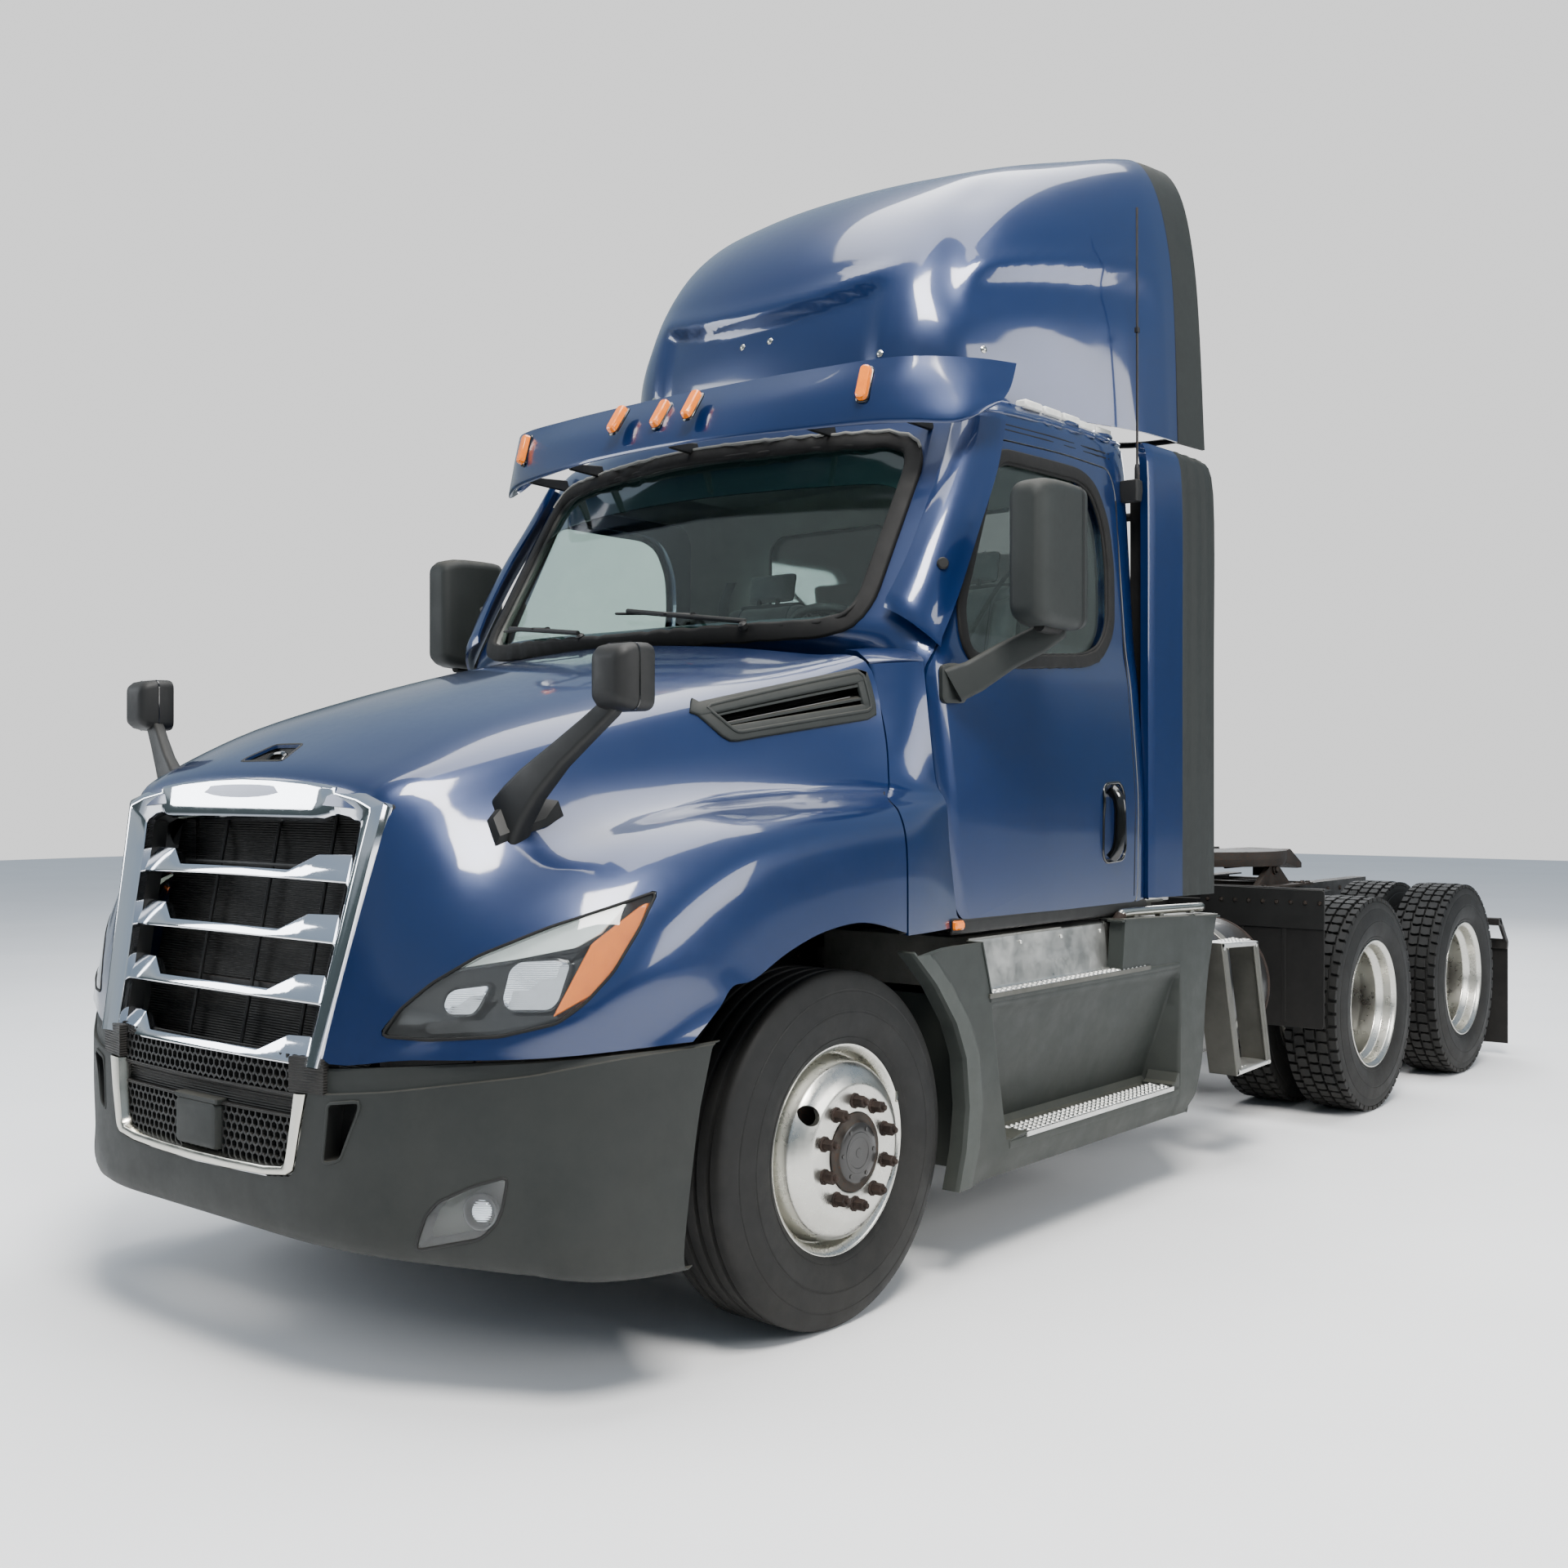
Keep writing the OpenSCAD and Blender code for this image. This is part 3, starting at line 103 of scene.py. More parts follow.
class G:
    """Gathers geometry in working millimetres, then becomes one mesh."""
    def __init__(s):
        s.v = []; s.f = []; s.m = []; s.n = 0; s.mat = 0; s.x = None
    def at(s, m):
        s.x = m; return s
    def use(s, i):
        s.mat = i; return s
    def add(s, v, f):
        v = np.asarray(v, float).reshape(-1, 3)
        if s.x is not None:
            m = np.array(s.x); v = v @ m[:3, :3].T + m[:3, 3]
        s.v.append(v); s.f += [tuple(i + s.n for i in q) for q in f]; s.m += [s.mat] * len(f); s.n += len(v)
        return s
    def box(s, a, b, c=3.0):
        a = np.minimum(a, b) * 1.0; b2 = np.maximum(np.array(a), np.array(b)); a = np.minimum(np.array(a), np.array(b))
        b = b2; h = (b - a) / 2; o = (a + b) / 2; c = min(c, h.min() * 0.8)
        idx = {}; v = []
        for sx in (-1, 1):
            for sy in (-1, 1):
                for sz in (-1, 1):
                    for k in range(3):
                        p = [sx * (h[0] - c), sy * (h[1] - c), sz * (h[2] - c)]
                        p[k] = (sx, sy, sz)[k] * h[k]
                        idx[(sx, sy, sz, k)] = len(v); v.append(o + np.array(p))
        f = []
        S = (-1, 1)
        for k in range(3):
            u, w = [q for q in range(3) if q != k]
            for sk in S:
                q = []
                for su, sw in ((-1, -1), (1, -1), (1, 1), (-1, 1)):
                    g = [0, 0, 0]; g[k] = sk; g[u] = su; g[w] = sw; q.append(idx[(g[0], g[1], g[2], k)])
                f.append(q if sk * (1 if k != 1 else -1) > 0 else q[::-1])
        for k, l in ((0, 1), (1, 2), (0, 2)):
            t = 3 - k - l
            for sk in S:
                for sl in S:
                    g1 = [0, 0, 0]; g1[k] = sk; g1[l] = sl; g1[t] = -1
                    g2 = list(g1); g2[t] = 1
                    f.append([idx[(*g1, k)], idx[(*g2, k)], idx[(*g2, l)], idx[(*g1, l)]])
        for sx in S:
            for sy in S:
                for sz in S:
                    f.append([idx[(sx, sy, sz, 0)], idx[(sx, sy, sz, 1)], idx[(sx, sy, sz, 2)]])
        return s.add(v, f)
    def rev(s, prof, o=(0, 0, 0), ax=(0, 0, 1), seg=32, closed=False, phase=0.0):
        """prof: list of (r, t) along the axis."""
        ax = np.asarray(ax, float); ax = ax / np.linalg.norm(ax)
        ref = np.array([1.0, 0, 0]) if abs(ax[0]) < 0.9 else np.array([0, 1.0, 0])
        e1 = np.cross(ax, ref); e1 /= np.linalg.norm(e1); e2 = np.cross(ax, e1)
        o = np.asarray(o, float); a = phase + np.arange(seg) * 2 * math.pi / seg
        c = np.cos(a)[:, None] * e1 + np.sin(a)[:, None] * e2
        v = []; rows = []
        for r, t in prof:
            if r < 1e-6:
                rows.append([len(v)]); v.append(o + ax * t)
            else:
                rows.append(list(range(len(v), len(v) + seg))); v += list(o + ax * t + c * r)
        f = []; m = len(rows)
        for i in range(m if closed else m - 1):
            A, B = rows[i], rows[(i + 1) % m]
            for j in range(seg):
                k = (j + 1) % seg
                if len(A) == 1 and len(B) == 1: continue
                if len(A) == 1: f.append([A[0], B[k], B[j]])
                elif len(B) == 1: f.append([A[j], A[k], B[0]])
                else: f.append([A[j], A[k], B[k], B[j]])
        return s.add(v, f)
    def cyl(s, a, b, r, r2=None, seg=24, c=2.0):
        a = np.asarray(a, float); b = np.asarray(b, float); L = np.linalg.norm(b - a); r2 = r if r2 is None else r2
        c = min(c, L * 0.3, r * 0.5)
        return s.rev([(0, 0), (r - c, 0), (r, c), (r2, L - c), (r2 - c, L), (0, L)], a, b - a, seg)
    def tube(s, path, r, seg=10, k=4, closed=False, flat=None):
        P = dense(path, k, closed) if k > 1 else np.array(path, float)
        n = len(P)
        if closed: T = np.roll(P, -1, 0) - np.roll(P, 1, 0)
        else: T = np.gradient(P, axis=0)
        T /= np.maximum(np.linalg.norm(T, axis=1, keepdims=True), 1e-9)
        ref = np.array([0, 0, 1.0]) if abs(T[0][2]) < 0.9 else np.array([1.0, 0, 0])
        N = np.cross(T[0], ref); N /= np.linalg.norm(N); v = []
        R = np.atleast_1d(r)
        for i in range(n):
            N = N - T[i] * (N @ T[i]); N /= np.linalg.norm(N); B = np.cross(T[i], N)
            rr = R[min(i * len(R) // n, len(R) - 1)] if len(R) > 1 else R[0]
            for j in range(seg):
                a = 2 * math.pi * j / seg
                fx, fy = (1, 1) if flat is None else flat
                v.append(P[i] + rr * (math.cos(a) * N * fx + math.sin(a) * B * fy))
        f = []
        for i in range(n if closed else n - 1):
            i2 = (i + 1) % n
            for j in range(seg):
                j2 = (j + 1) % seg
                f.append([i * seg + j, i2 * seg + j, i2 * seg + j2, i * seg + j2])
        if not closed:
            f.append(list(range(seg))); f.append([(n - 1) * seg + j for j in range(seg - 1, -1, -1)])
        return s.add(v, f)
    def loft(s, rings, caps=True, closed=False):
        R = np.array(rings, float); m, n, _ = R.shape; f = []
        for i in range(m if closed else m - 1):
            i2 = (i + 1) % m
            for j in range(n):
                k = (j + 1) % n
                f.append([i * n + j, i * n + k, i2 * n + k, i2 * n + j])
        if caps and not closed:
            f.append(list(range(n - 1, -1, -1))); f.append([(m - 1) * n + j for j in range(n)])
        return s.add(R.reshape(-1, 3), f)
    def sheet(s, g, t=0.0):
        """open grid, or a closed plate t thick below it (t may be an array)."""
        g = np.asarray(g, float); m, n, _ = g.shape
        q = lambda o, i, j: o + i * n + j
        f = [[q(0, i, j), q(0, i + 1, j), q(0, i + 1, j + 1), q(0, i, j + 1)] for i in range(m - 1) for j in range(n - 1)]
        f = [a[::-1] for a in f]
        if t is None or (np.isscalar(t) and t == 0): return s.add(g.reshape(-1, 3), f)
        b = g - gnorm(g) * t; o = m * n
        f += [[q(o, i, j), q(o, i + 1, j), q(o, i + 1, j + 1), q(o, i, j + 1)] for i in range(m - 1) for j in range(n - 1)]
        for i in range(m - 1):
            f.append([q(0, i, 0), q(0, i + 1, 0), q(o, i + 1, 0), q(o, i, 0)])
            f.append([q(0, i + 1, n - 1), q(0, i, n - 1), q(o, i, n - 1), q(o, i + 1, n - 1)])
        for j in range(n - 1):
            f.append([q(0, 0, j + 1), q(0, 0, j), q(o, 0, j), q(o, 0, j + 1)])
            f.append([q(0, m - 1, j), q(0, m - 1, j + 1), q(o, m - 1, j + 1), q(o, m - 1, j)])
        return s.add(np.concatenate([g.reshape(-1, 3), b.reshape(-1, 3)]), f)
    def ext(s, pts, t0, t1, plane="yz", c=2.0):
        """polygon pushed from t0 to t1 along the axis that is not in the plane, edges chamfered by c."""
        P = np.array(pts, float)
        A = 0.5 * np.sum(P[:, 0] * np.roll(P[:, 1], -1) - np.roll(P[:, 0], -1) * P[:, 1])
        if A < 0: P = P[::-1]
        n = len(P); e = np.roll(P, -1, 0) - P; e /= np.maximum(np.linalg.norm(e, axis=1, keepdims=True), 1e-9)
        nr = np.stack([e[:, 1], -e[:, 0]], 1); m = nr + np.roll(nr, 1, 0)
        m /= np.maximum((m * m).sum(1, keepdims=True), 0.3) / 2.0
        I = P - m * c
        lev = [(I, t0), (P, t0 + np.sign(t1 - t0) * c), (P, t1 - np.sign(t1 - t0) * c), (I, t1)]
        def put(a, t):
            z = np.full(len(a), float(t))
            if plane == "yz": return np.stack([z, a[:, 0], a[:, 1]], 1)
            if plane == "xz": return np.stack([a[:, 0], z, a[:, 1]], 1)
            return np.stack([a[:, 0], a[:, 1], z], 1)
        return s.loft([put(a, t) for a, t in lev])
    def ball(s, o, r, seg=24, k=(1, 1, 1)):
        pr = [(0, -1)] + [(math.cos(a), math.sin(a)) for a in np.linspace(-1.4, 1.4, max(6, seg // 2))] + [(0, 1)]
        n = s.n; s.rev([(p[0] * r, p[1] * r) for p in pr], (0, 0, 0), (0, 0, 1), seg)
        s.v[-1] = s.v[-1] * np.array(k) + np.array(o); return s
    def bolt(s, p, ax, r=9, h=7, hexa=True):
        p = np.asarray(p, float); ax = np.asarray(ax, float); ax = ax / np.linalg.norm(ax)
        s.rev([(0, 0), (r * 1.35, 0), (r * 1.35, h * 0.25), (r * 1.3, h * 0.3)], p, ax, 14)
        return s.rev([(r * 1.02, h * 0.28), (r, h * 0.85), (r * 0.86, h), (0, h)], p, ax, 6)
    def mirror(s, since=0):
        """adds the mirror image in x of all that was added from block index since"""
        k0 = sum(len(a) for a in s.v[:since]); blocks = s.v[since:]
        fs = [(f, m) for f, m in zip(s.f, s.m) if min(f) >= k0]
        off = s.n - k0
        for b in blocks:
            s.v.append(b * np.array([-1, 1, 1])); s.n += len(b)
        for f, m in fs:
            s.f.append(tuple(i + off for i in f[::-1])); s.m.append(m)
        return s
    def flipx(s):
        s.v = [b * np.array([-1, 1, 1]) for b in s.v]; s.f = [f[::-1] for f in s.f]; return s
    def obj(s, name, mats, body, angle=38, slot=None, replaces=(), recalc=True, shift=True):
        v = np.concatenate(s.v); v = V(v) if shift else v / 1000.0
        me = bpy.data.meshes.new(name); me.from_pydata(v.tolist(), [], [list(f) for f in s.f])
        mats = mats if isinstance(mats, (list, tuple)) else [mats]
        for m in mats: me.materials.append(m)
        me.polygons.foreach_set("material_index", s.m)
        if recalc:
            bm = bmesh.new(); bm.from_mesh(me); bmesh.ops.recalc_face_normals(bm, faces=bm.faces); bm.to_mesh(me); bm.free()
        me.polygons.foreach_set("use_smooth", [True] * len(me.polygons)); me.update()
        me.set_sharp_from_angle(angle=math.radians(angle))
        o = bpy.data.objects.new(name, me); bpy.context.scene.collection.objects.link(o)
        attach(o, body)
        if replaces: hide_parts(*replaces)
        return o

def evaluated(o):
    dg = bpy.context.evaluated_depsgraph_get()
    me = bpy.data.meshes.new_from_object(o.evaluated_get(dg))
    old = o.data; o.modifiers.clear(); o.data = me; bpy.data.meshes.remove(old)
    return o

def cutter(name, build):
    g = G(); build(g)
    v = V(np.concatenate(g.v)); me = bpy.data.meshes.new(name); me.from_pydata(v.tolist(), [], [list(f) for f in g.f])
    bm = bmesh.new(); bm.from_mesh(me); bmesh.ops.recalc_face_normals(bm, faces=bm.faces); bm.to_mesh(me); bm.free()
    o = bpy.data.objects.new(name, me); bpy.context.scene.collection.objects.link(o); return o

def boole(o, cut, op="DIFFERENCE", keep=False, angle=30, selfx=False):
    m = o.modifiers.new("b", "BOOLEAN"); m.operation = op; m.object = cut; m.solver = "EXACT"; m.use_self = selfx
    evaluated(o)
    if not keep: bpy.data.objects.remove(cut)
    o.data.polygons.foreach_set("use_smooth", [True] * len(o.data.polygons))
    o.data.set_sharp_from_angle(angle=math.radians(angle)); return o

def bevel(o, w, seg=2, angle=40):
    m = o.modifiers.new("bv", "BEVEL"); m.width = w / 1000; m.segments = seg; m.limit_method = "ANGLE"; m.angle_limit = math.radians(angle)
    m.harden_normals = False; m.use_clamp_overlap = True
    evaluated(o); o.data.polygons.foreach_set("use_smooth", [True] * len(o.data.polygons)); o.data.set_sharp_from_angle(angle=math.radians(45)); return o

# ------------------------------------------------------------------ materials
def node(nt, kind, **kw):
    n = nt.nodes.new(kind)
    for k, v in kw.items():
        if k in n.inputs.keys() if hasattr(n.inputs, "keys") else False: n.inputs[k].default_value = v
        else: setattr(n, k, v)
    return n

def lin(c):
    return tuple(((x / 255) / 12.92 if x / 255 <= 0.04045 else ((x / 255 + 0.055) / 1.055) ** 2.4) for x in c) + (1.0,)

def pbr(name, col, rough=0.5, metal=0.0, coat=0.0, coat_rough=0.05, vary=0.12, vscale=3.0, rvary=0.1, rscale=9.0,
        bump=0.15, bscale=400.0, bdist=0.0006, dust=0.0, dust_col=(96, 88, 76), dust_top=1.0, up=0.0, spec=0.5,
        edge=0.0, edge_highlight_and_wear_col=(120, 120, 120), edge_r=0.004, wave=None, sheen=0.0, alpha=None, trans=0.0, ior=1.45,
        speck=0.0, speck_col=(90, 60, 40), aniso=0.0, detail2=None, emit=None):
    m = bpy.data.materials.new(name); m.use_nodes = True; nt = m.node_tree; nt.nodes.clear(); L = nt.links.new
    out = nt.nodes.new("ShaderNodeOutputMaterial"); b = nt.nodes.new("ShaderNodeBsdfPrincipled"); L(b.outputs[0], out.inputs[0])
    tc = nt.nodes.new("ShaderNodeTexCoord"); P = tc.outputs["Object"]
    def noise(scale, detail=5, rough_=0.6, dist=0.0, vec=None):
        n = nt.nodes.new("ShaderNodeTexNoise"); n.inputs["Scale"].default_value = scale; n.inputs["Detail"].default_value = detail
        n.inputs["Roughness"].default_value = rough_; n.inputs["Distortion"].default_value = dist; L(vec or P, n.inputs["Vector"]); return n.outputs["Fac"]
    def mapr(x, a, b_, c, d):
        n = nt.nodes.new("ShaderNodeMapRange"); n.inputs[1].default_value = a; n.inputs[2].default_value = b_; n.inputs[3].default_value = c; n.inputs[4].default_value = d
        L(x, n.inputs[0]); return n.outputs[0]
    def mul(x, y):
        n = nt.nodes.new("ShaderNodeMath"); n.operation = "MULTIPLY"
        L(x, n.inputs[0])
        if isinstance(y, (int, float)): n.inputs[1].default_value = y
        else: L(y, n.inputs[1])
        return n.outputs[0]
    def addm(x, y):
        n = nt.nodes.new("ShaderNodeMath"); n.operation = "ADD"; n.use_clamp = True; L(x, n.inputs[0])
        if isinstance(y, (int, float)): n.inputs[1].default_value = y
        else: L(y, n.inputs[1])
        return n.outputs[0]
    def mix(f, a, c):
        n = nt.nodes.new("ShaderNodeMix"); n.data_type = "RGBA"
        if isinstance(f, (int, float)): n.inputs[0].default_value = f
        else: L(f, n.inputs[0])
        for i, x in ((6, a), (7, c)):
            if isinstance(x, tuple): n.inputs[i].default_value = x
            else: L(x, n.inputs[i])
        return n.outputs[2]
    c0 = lin(col); dark = tuple(x * (1 - vary * 1.6) for x in c0[:3]) + (1,); light = tuple(min(1, x * (1 + vary * 1.6)) for x in c0[:3]) + (1,)
    C = mix(mapr(noise(vscale, 6), 0.3, 0.7, 0, 1), dark, light)
    R = mapr(noise(rscale, 6, 0.7), 0.25, 0.75, max(0.02, rough - rvary), min(1, rough + rvary))
    if speck > 0:
        sp = mapr(noise(vscale * 14, 8, 0.75), 0.62 - speck * 0.2, 0.72 - speck * 0.2, 0, 1)
        C = mix(sp, C, lin(speck_col)); R = mapr(sp, 0, 1, 0, 1) if False else addm(R, mul(sp, 0.25))
    if detail2: C = mix(mapr(noise(detail2[0], 8, 0.8), 0.45, 0.6, 0, detail2[2]), C, lin(detail2[1]))
    if dust > 0:
        sx = nt.nodes.new("ShaderNodeSeparateXYZ"); L(P, sx.inputs[0])
        low = mapr(sx.outputs[2], 0.05, dust_top, 1.0, 0.12)
        dn = mapr(noise(6.0, 8, 0.7), 0.25, 0.75, 0.25, 1.0)
        d = mul(mul(low, dn), dust)
        if up > 0:
            ge = nt.nodes.new("ShaderNodeNewGeometry"); s2 = nt.nodes.new("ShaderNodeSeparateXYZ"); L(ge.outputs["Normal"], s2.inputs[0])
            d = addm(d, mul(mul(mapr(s2.outputs[2], 0.35, 0.95, 0, 1), dn), up))
        C = mix(d, C, lin(dust_col)); R = addm(R, mul(d, 0.5))
        if coat > 0:
            cw = nt.nodes.new("ShaderNodeMath"); cw.operation = "SUBTRACT"; cw.inputs[0].default_value = coat; L(mul(d, coat), cw.inputs[1]); L(cw.outputs[0], b.inputs["Coat Weight"])
    BN = None
    if edge > 0:
        # painted highlight, partly edge wear: edges picked out by the bevel node are tinted toward the edge colour,
        # lighter on most materials and rust-brown on the frame
        bv = nt.nodes.new("ShaderNodeBevel"); bv.samples = 3; bv.inputs["Radius"].default_value = edge_r
        ge = nt.nodes.new("ShaderNodeNewGeometry"); dt = nt.nodes.new("ShaderNodeVectorMath"); dt.operation = "DOT_PRODUCT"
        L(bv.outputs[0], dt.inputs[0]); L(ge.outputs["Normal"], dt.inputs[1])
        e = mul(mul(mapr(dt.outputs["Value"], 0.99, 0.86, 0, 1), mapr(noise(38, 6), 0.4, 0.62, 0, 1)), edge)
        C = mix(e, C, lin(edge_highlight_and_wear_col))
    L(C, b.inputs["Base Color"]); L(R, b.inputs["Roughness"])
    b.inputs["Metallic"].default_value = metal; b.inputs["Specular IOR Level"].default_value = spec; b.inputs["IOR"].default_value = ior
    if coat > 0:
        if dust <= 0: b.inputs["Coat Weight"].default_value = coat
        b.inputs["Coat Roughness"].default_value = coat_rough
    if sheen > 0: b.inputs["Sheen Weight"].default_value = sheen
    if aniso > 0: b.inputs["Anisotropic"].default_value = aniso
    if trans > 0: b.inputs["Transmission Weight"].default_value = trans
    if alpha is not None: b.inputs["Alpha"].default_value = alpha
    if emit: b.inputs["Emission Color"].default_value = lin(emit[0]); b.inputs["Emission Strength"].default_value = emit[1]
    if bump > 0:
        h = noise(bscale, 4, 0.6)
        if wave:
            w = nt.nodes.new("ShaderNodeTexWave"); w.inputs["Scale"].default_value = wave[0]; w.bands_direction = wave[1]
            w.inputs["Distortion"].default_value = wave[2]; w.inputs["Detail"].default_value = 2; L(P, w.inputs["Vector"])
            h = addm(mul(h, 1 - wave[3]), mul(w.outputs["Fac"], wave[3]))
        bp = nt.nodes.new("ShaderNodeBump"); bp.inputs["Strength"].default_value = bump; bp.inputs["Distance"].default_value = bdist
        L(h, bp.inputs["Height"]); L(bp.outputs[0], b.inputs["Normal"])
    return m

def paint_blue():
    m = pbr("blue_paint", (4, 33, 76), rough=0.3, metal=0.35, coat=1.0, coat_rough=0.03, vary=0.05, vscale=1.2, rvary=0.03, rscale=30,
            bump=0.05, bscale=260, bdist=0.0005, dust=0.08, dust_top=1.15, up=0.012, dust_col=(112, 106, 96), edge=0.03, edge_highlight_and_wear_col=(120, 130, 150), edge_r=0.003)
    nt = m.node_tree; L = nt.links.new; b = [n for n in nt.nodes if n.type == "BSDF_PRINCIPLED"][0]
    # fine metal flakes turn the base layer's normal a little
    tc = [n for n in nt.nodes if n.type == "TEX_COORD"][0]
    vo = nt.nodes.new("ShaderNodeTexVoronoi"); vo.inputs["Scale"].default_value = 1800; L(tc.outputs["Object"], vo.inputs["Vector"])
    bp = nt.nodes.new("ShaderNodeBump"); bp.inputs["Strength"].default_value = 0.06; bp.inputs["Distance"].default_value = 0.0004
    L(vo.outputs["Distance"], bp.inputs["Height"])
    old = [n for n in nt.nodes if n.type == "BUMP" and n != bp][0]
    L(old.outputs[0], bp.inputs["Normal"]); L(bp.outputs[0], b.inputs["Normal"])
    L(old.outputs[0], b.inputs["Coat Normal"])
    # faint wash haze and bug marks on the clear coat
    ns = nt.nodes.new("ShaderNodeTexNoise"); ns.inputs["Scale"].default_value = 5; ns.inputs["Detail"].default_value = 8; L(tc.outputs["Object"], ns.inputs["Vector"])
    mr = nt.nodes.new("ShaderNodeMapRange"); mr.inputs[1].default_value = 0.35; mr.inputs[2].default_value = 0.8; mr.inputs[3].default_value = 0.02; mr.inputs[4].default_value = 0.12
    L(ns.outputs["Fac"], mr.inputs[0]); L(mr.outputs[0], b.inputs["Coat Roughness"])
    return m

M = {}
M["blue"] = paint_blue()
M["charcoal"] = pbr("charcoal_plastic", (27, 31, 30), rough=0.6, vary=0.08, vscale=2, rvary=0.1, bump=0.35, bscale=900, bdist=0.0008, dust=0.10, dust_top=1.1, up=0.25, dust_col=(112, 106, 94), edge=0.12, edge_highlight_and_wear_col=(84, 88, 85), edge_r=0.003, spec=0.4)
M["charcoal_light"] = pbr("charcoal_faded", (56, 61, 59), rough=0.62, vary=0.1, vscale=4, rvary=0.12, bump=0.35, bscale=800, bdist=0.0008, dust=0.14, dust_top=1.3, up=0.3, dust_col=(120, 114, 100), edge=0.15, edge_highlight_and_wear_col=(110, 114, 110), spec=0.4)
M["blackpl"] = pbr("black_plastic", (15, 16, 16), rough=0.55, vary=0.12, vscale=5, bump=0.3, bscale=900, bdist=0.0006, dust=0.06, up=0.2, dust_top=2.0, dust_col=(92, 88, 80), edge=0.10, edge_highlight_and_wear_col=(52, 52, 50), spec=0.45)
M["gloss"] = pbr("gloss_black", (9, 10, 10), rough=0.16, coat=0.5, vary=0.1, bump=0.0, bscale=300, dust=0.02, dust_top=2.0, spec=0.5)
M["skirt"] = pbr("skirt_plastic", (37, 42, 40), rough=0.58, vary=0.10, vscale=2.2, rvary=0.1, bump=0.32, bscale=850, bdist=0.0008, dust=0.16, dust_top=0.9, up=0.2, dust_col=(116, 112, 98), edge=0.12, edge_highlight_and_wear_col=(100, 104, 100), edge_r=0.003, spec=0.42, wave=(7, "X", 6.0, 0.12))
M["rubber"] = pbr("black_rubber", (13, 13, 13), rough=0.72, vary=0.15, vscale=12, bump=0.3, bscale=500, bdist=0.0008, dust=0.10, dust_top=0.9, up=0.1, dust_col=(96, 90, 80), spec=0.35)
M["frame"] = pbr("frame_black", (15, 15, 16), rough=0.48, vary=0.15, vscale=5, rvary=0.15, bump=0.25, bscale=220, bdist=0.001, dust=0.18, dust_top=1.2, up=0.25, dust_col=(84, 76, 64), speck=0.08, speck_col=(92, 56, 34), edge=0.15, edge_highlight_and_wear_col=(104, 70, 48), spec=0.45)
M["tank"] = pbr("tank_black", (17, 17, 18), rough=0.32, vary=0.12, vscale=4, rvary=0.1, bump=0.12, bscale=160, bdist=0.001, dust=0.15, dust_top=1.1, up=0.2, dust_col=(98, 90, 78), spec=0.5, coat=0.2)
M["iron"] = pbr("cast_iron", (52, 48, 45), rough=0.62, metal=0.6, vary=0.25, vscale=9, bump=0.5, bscale=240, bdist=0.0016, speck=0.3, speck_col=(98, 58, 34), dust=0.3, dust_top=1.2, dust_col=(84, 74, 60))
M["engine"] = pbr("engine_cast", (70, 72, 75), rough=0.55, metal=0.5, vary=0.2, vscale=7, bump=0.5, bscale=200, bdist=0.0016, speck=0.15, speck_col=(60, 48, 36), dust=0.3, dust_top=1.4, edge=0.2)
M["chrome"] = pbr("chrome", (226, 228, 232), rough=0.06, metal=1.0, vary=0.02, vscale=3, rvary=0.04, rscale=14, bump=0.03, bscale=60, bdist=0.0008, dust=0.03, dust_top=1.6, dust_col=(130, 124, 112), speck=0.0, speck_col=(120, 112, 100))
M["chrome_dull"] = pbr("chrome_dull", (196, 194, 184), rough=0.2, metal=1.0, vary=0.05, vscale=5, rvary=0.08, rscale=16, bump=0.06, bscale=120, bdist=0.0008, dust=0.10, dust_top=1.4, dust_col=(140, 132, 112))
M["alu"] = pbr("aluminium", (206, 206, 202), rough=0.36, metal=1.0, vary=0.07, vscale=4, rvary=0.12, rscale=12, bump=0.14, bscale=120, bdist=0.0008, wave=(26, "Z", 9.0, 0.25), dust=0.10, dust_top=1.25, up=0.15, dust_col=(122, 116, 104), aniso=0.3, edge=0.3, edge_highlight_and_wear_col=(214, 214, 210))
M["alu_dull"] = pbr("aluminium_dull", (138, 138, 132), rough=0.48, metal=0.9, vary=0.12, vscale=6, rvary=0.14, rscale=14, bump=0.2, bscale=150, bdist=0.001, dust=0.18, dust_top=1.3, up=0.25, dust_col=(112, 104, 92), speck=0.06)
M["wheel"] = pbr("wheel_alloy", (198, 197, 190), rough=0.27, metal=1.0, vary=0.04, vscale=6, rvary=0.09, rscale=18, bump=0.07, bscale=90, bdist=0.0006, dust=0.10, dust_top=1.2, dust_col=(140, 132, 118), speck=0.0)
M["alu_grey"] = pbr("aluminium_grey", (92, 92, 87), rough=0.5, metal=0.7, vary=0.12, vscale=6, rvary=0.12, rscale=14, bump=0.2, bscale=150, bdist=0.001, dust=0.2, dust_top=1.3)
M["rust"] = pbr("rusty_steel", (44, 34, 29), rough=0.75, metal=0.35, vary=0.35, vscale=30, bump=0.6, bscale=300, bdist=0.0016, speck=0.3, speck_col=(70, 44, 30), dust=0.05)
M["drum"] = pbr("brake_drum", (46, 41, 38), rough=0.7, metal=0.4, vary=0.3, vscale=16, bump=0.4, bscale=260, bdist=0.0012, speck=0.4, speck_col=(110, 64, 38), dust=0.3)
M["tyre"] = pbr("tyre_rubber", (15, 16, 16), rough=0.66, vary=0.14, vscale=8, rvary=0.1, bump=0.3, bscale=420, bdist=0.0009, dust=0.09, dust_top=0.8, up=0.0, dust_col=(98, 92, 82), spec=0.35, detail2=(3.0, (34, 33, 30), 0.22))
M["glass"] = pbr("glass", (205, 222, 218), rough=0.02, vary=0.02, rvary=0.015, rscale=3, bump=0.0, trans=1.0, ior=1.06, spec=0.9, coat=0.6, coat_rough=0.01)
M["glass_dark"] = pbr("darker_glass", (24, 44, 42), rough=0.03, vary=0.1, bump=0.0, alpha=0.86, spec=0.9, coat=1.0)
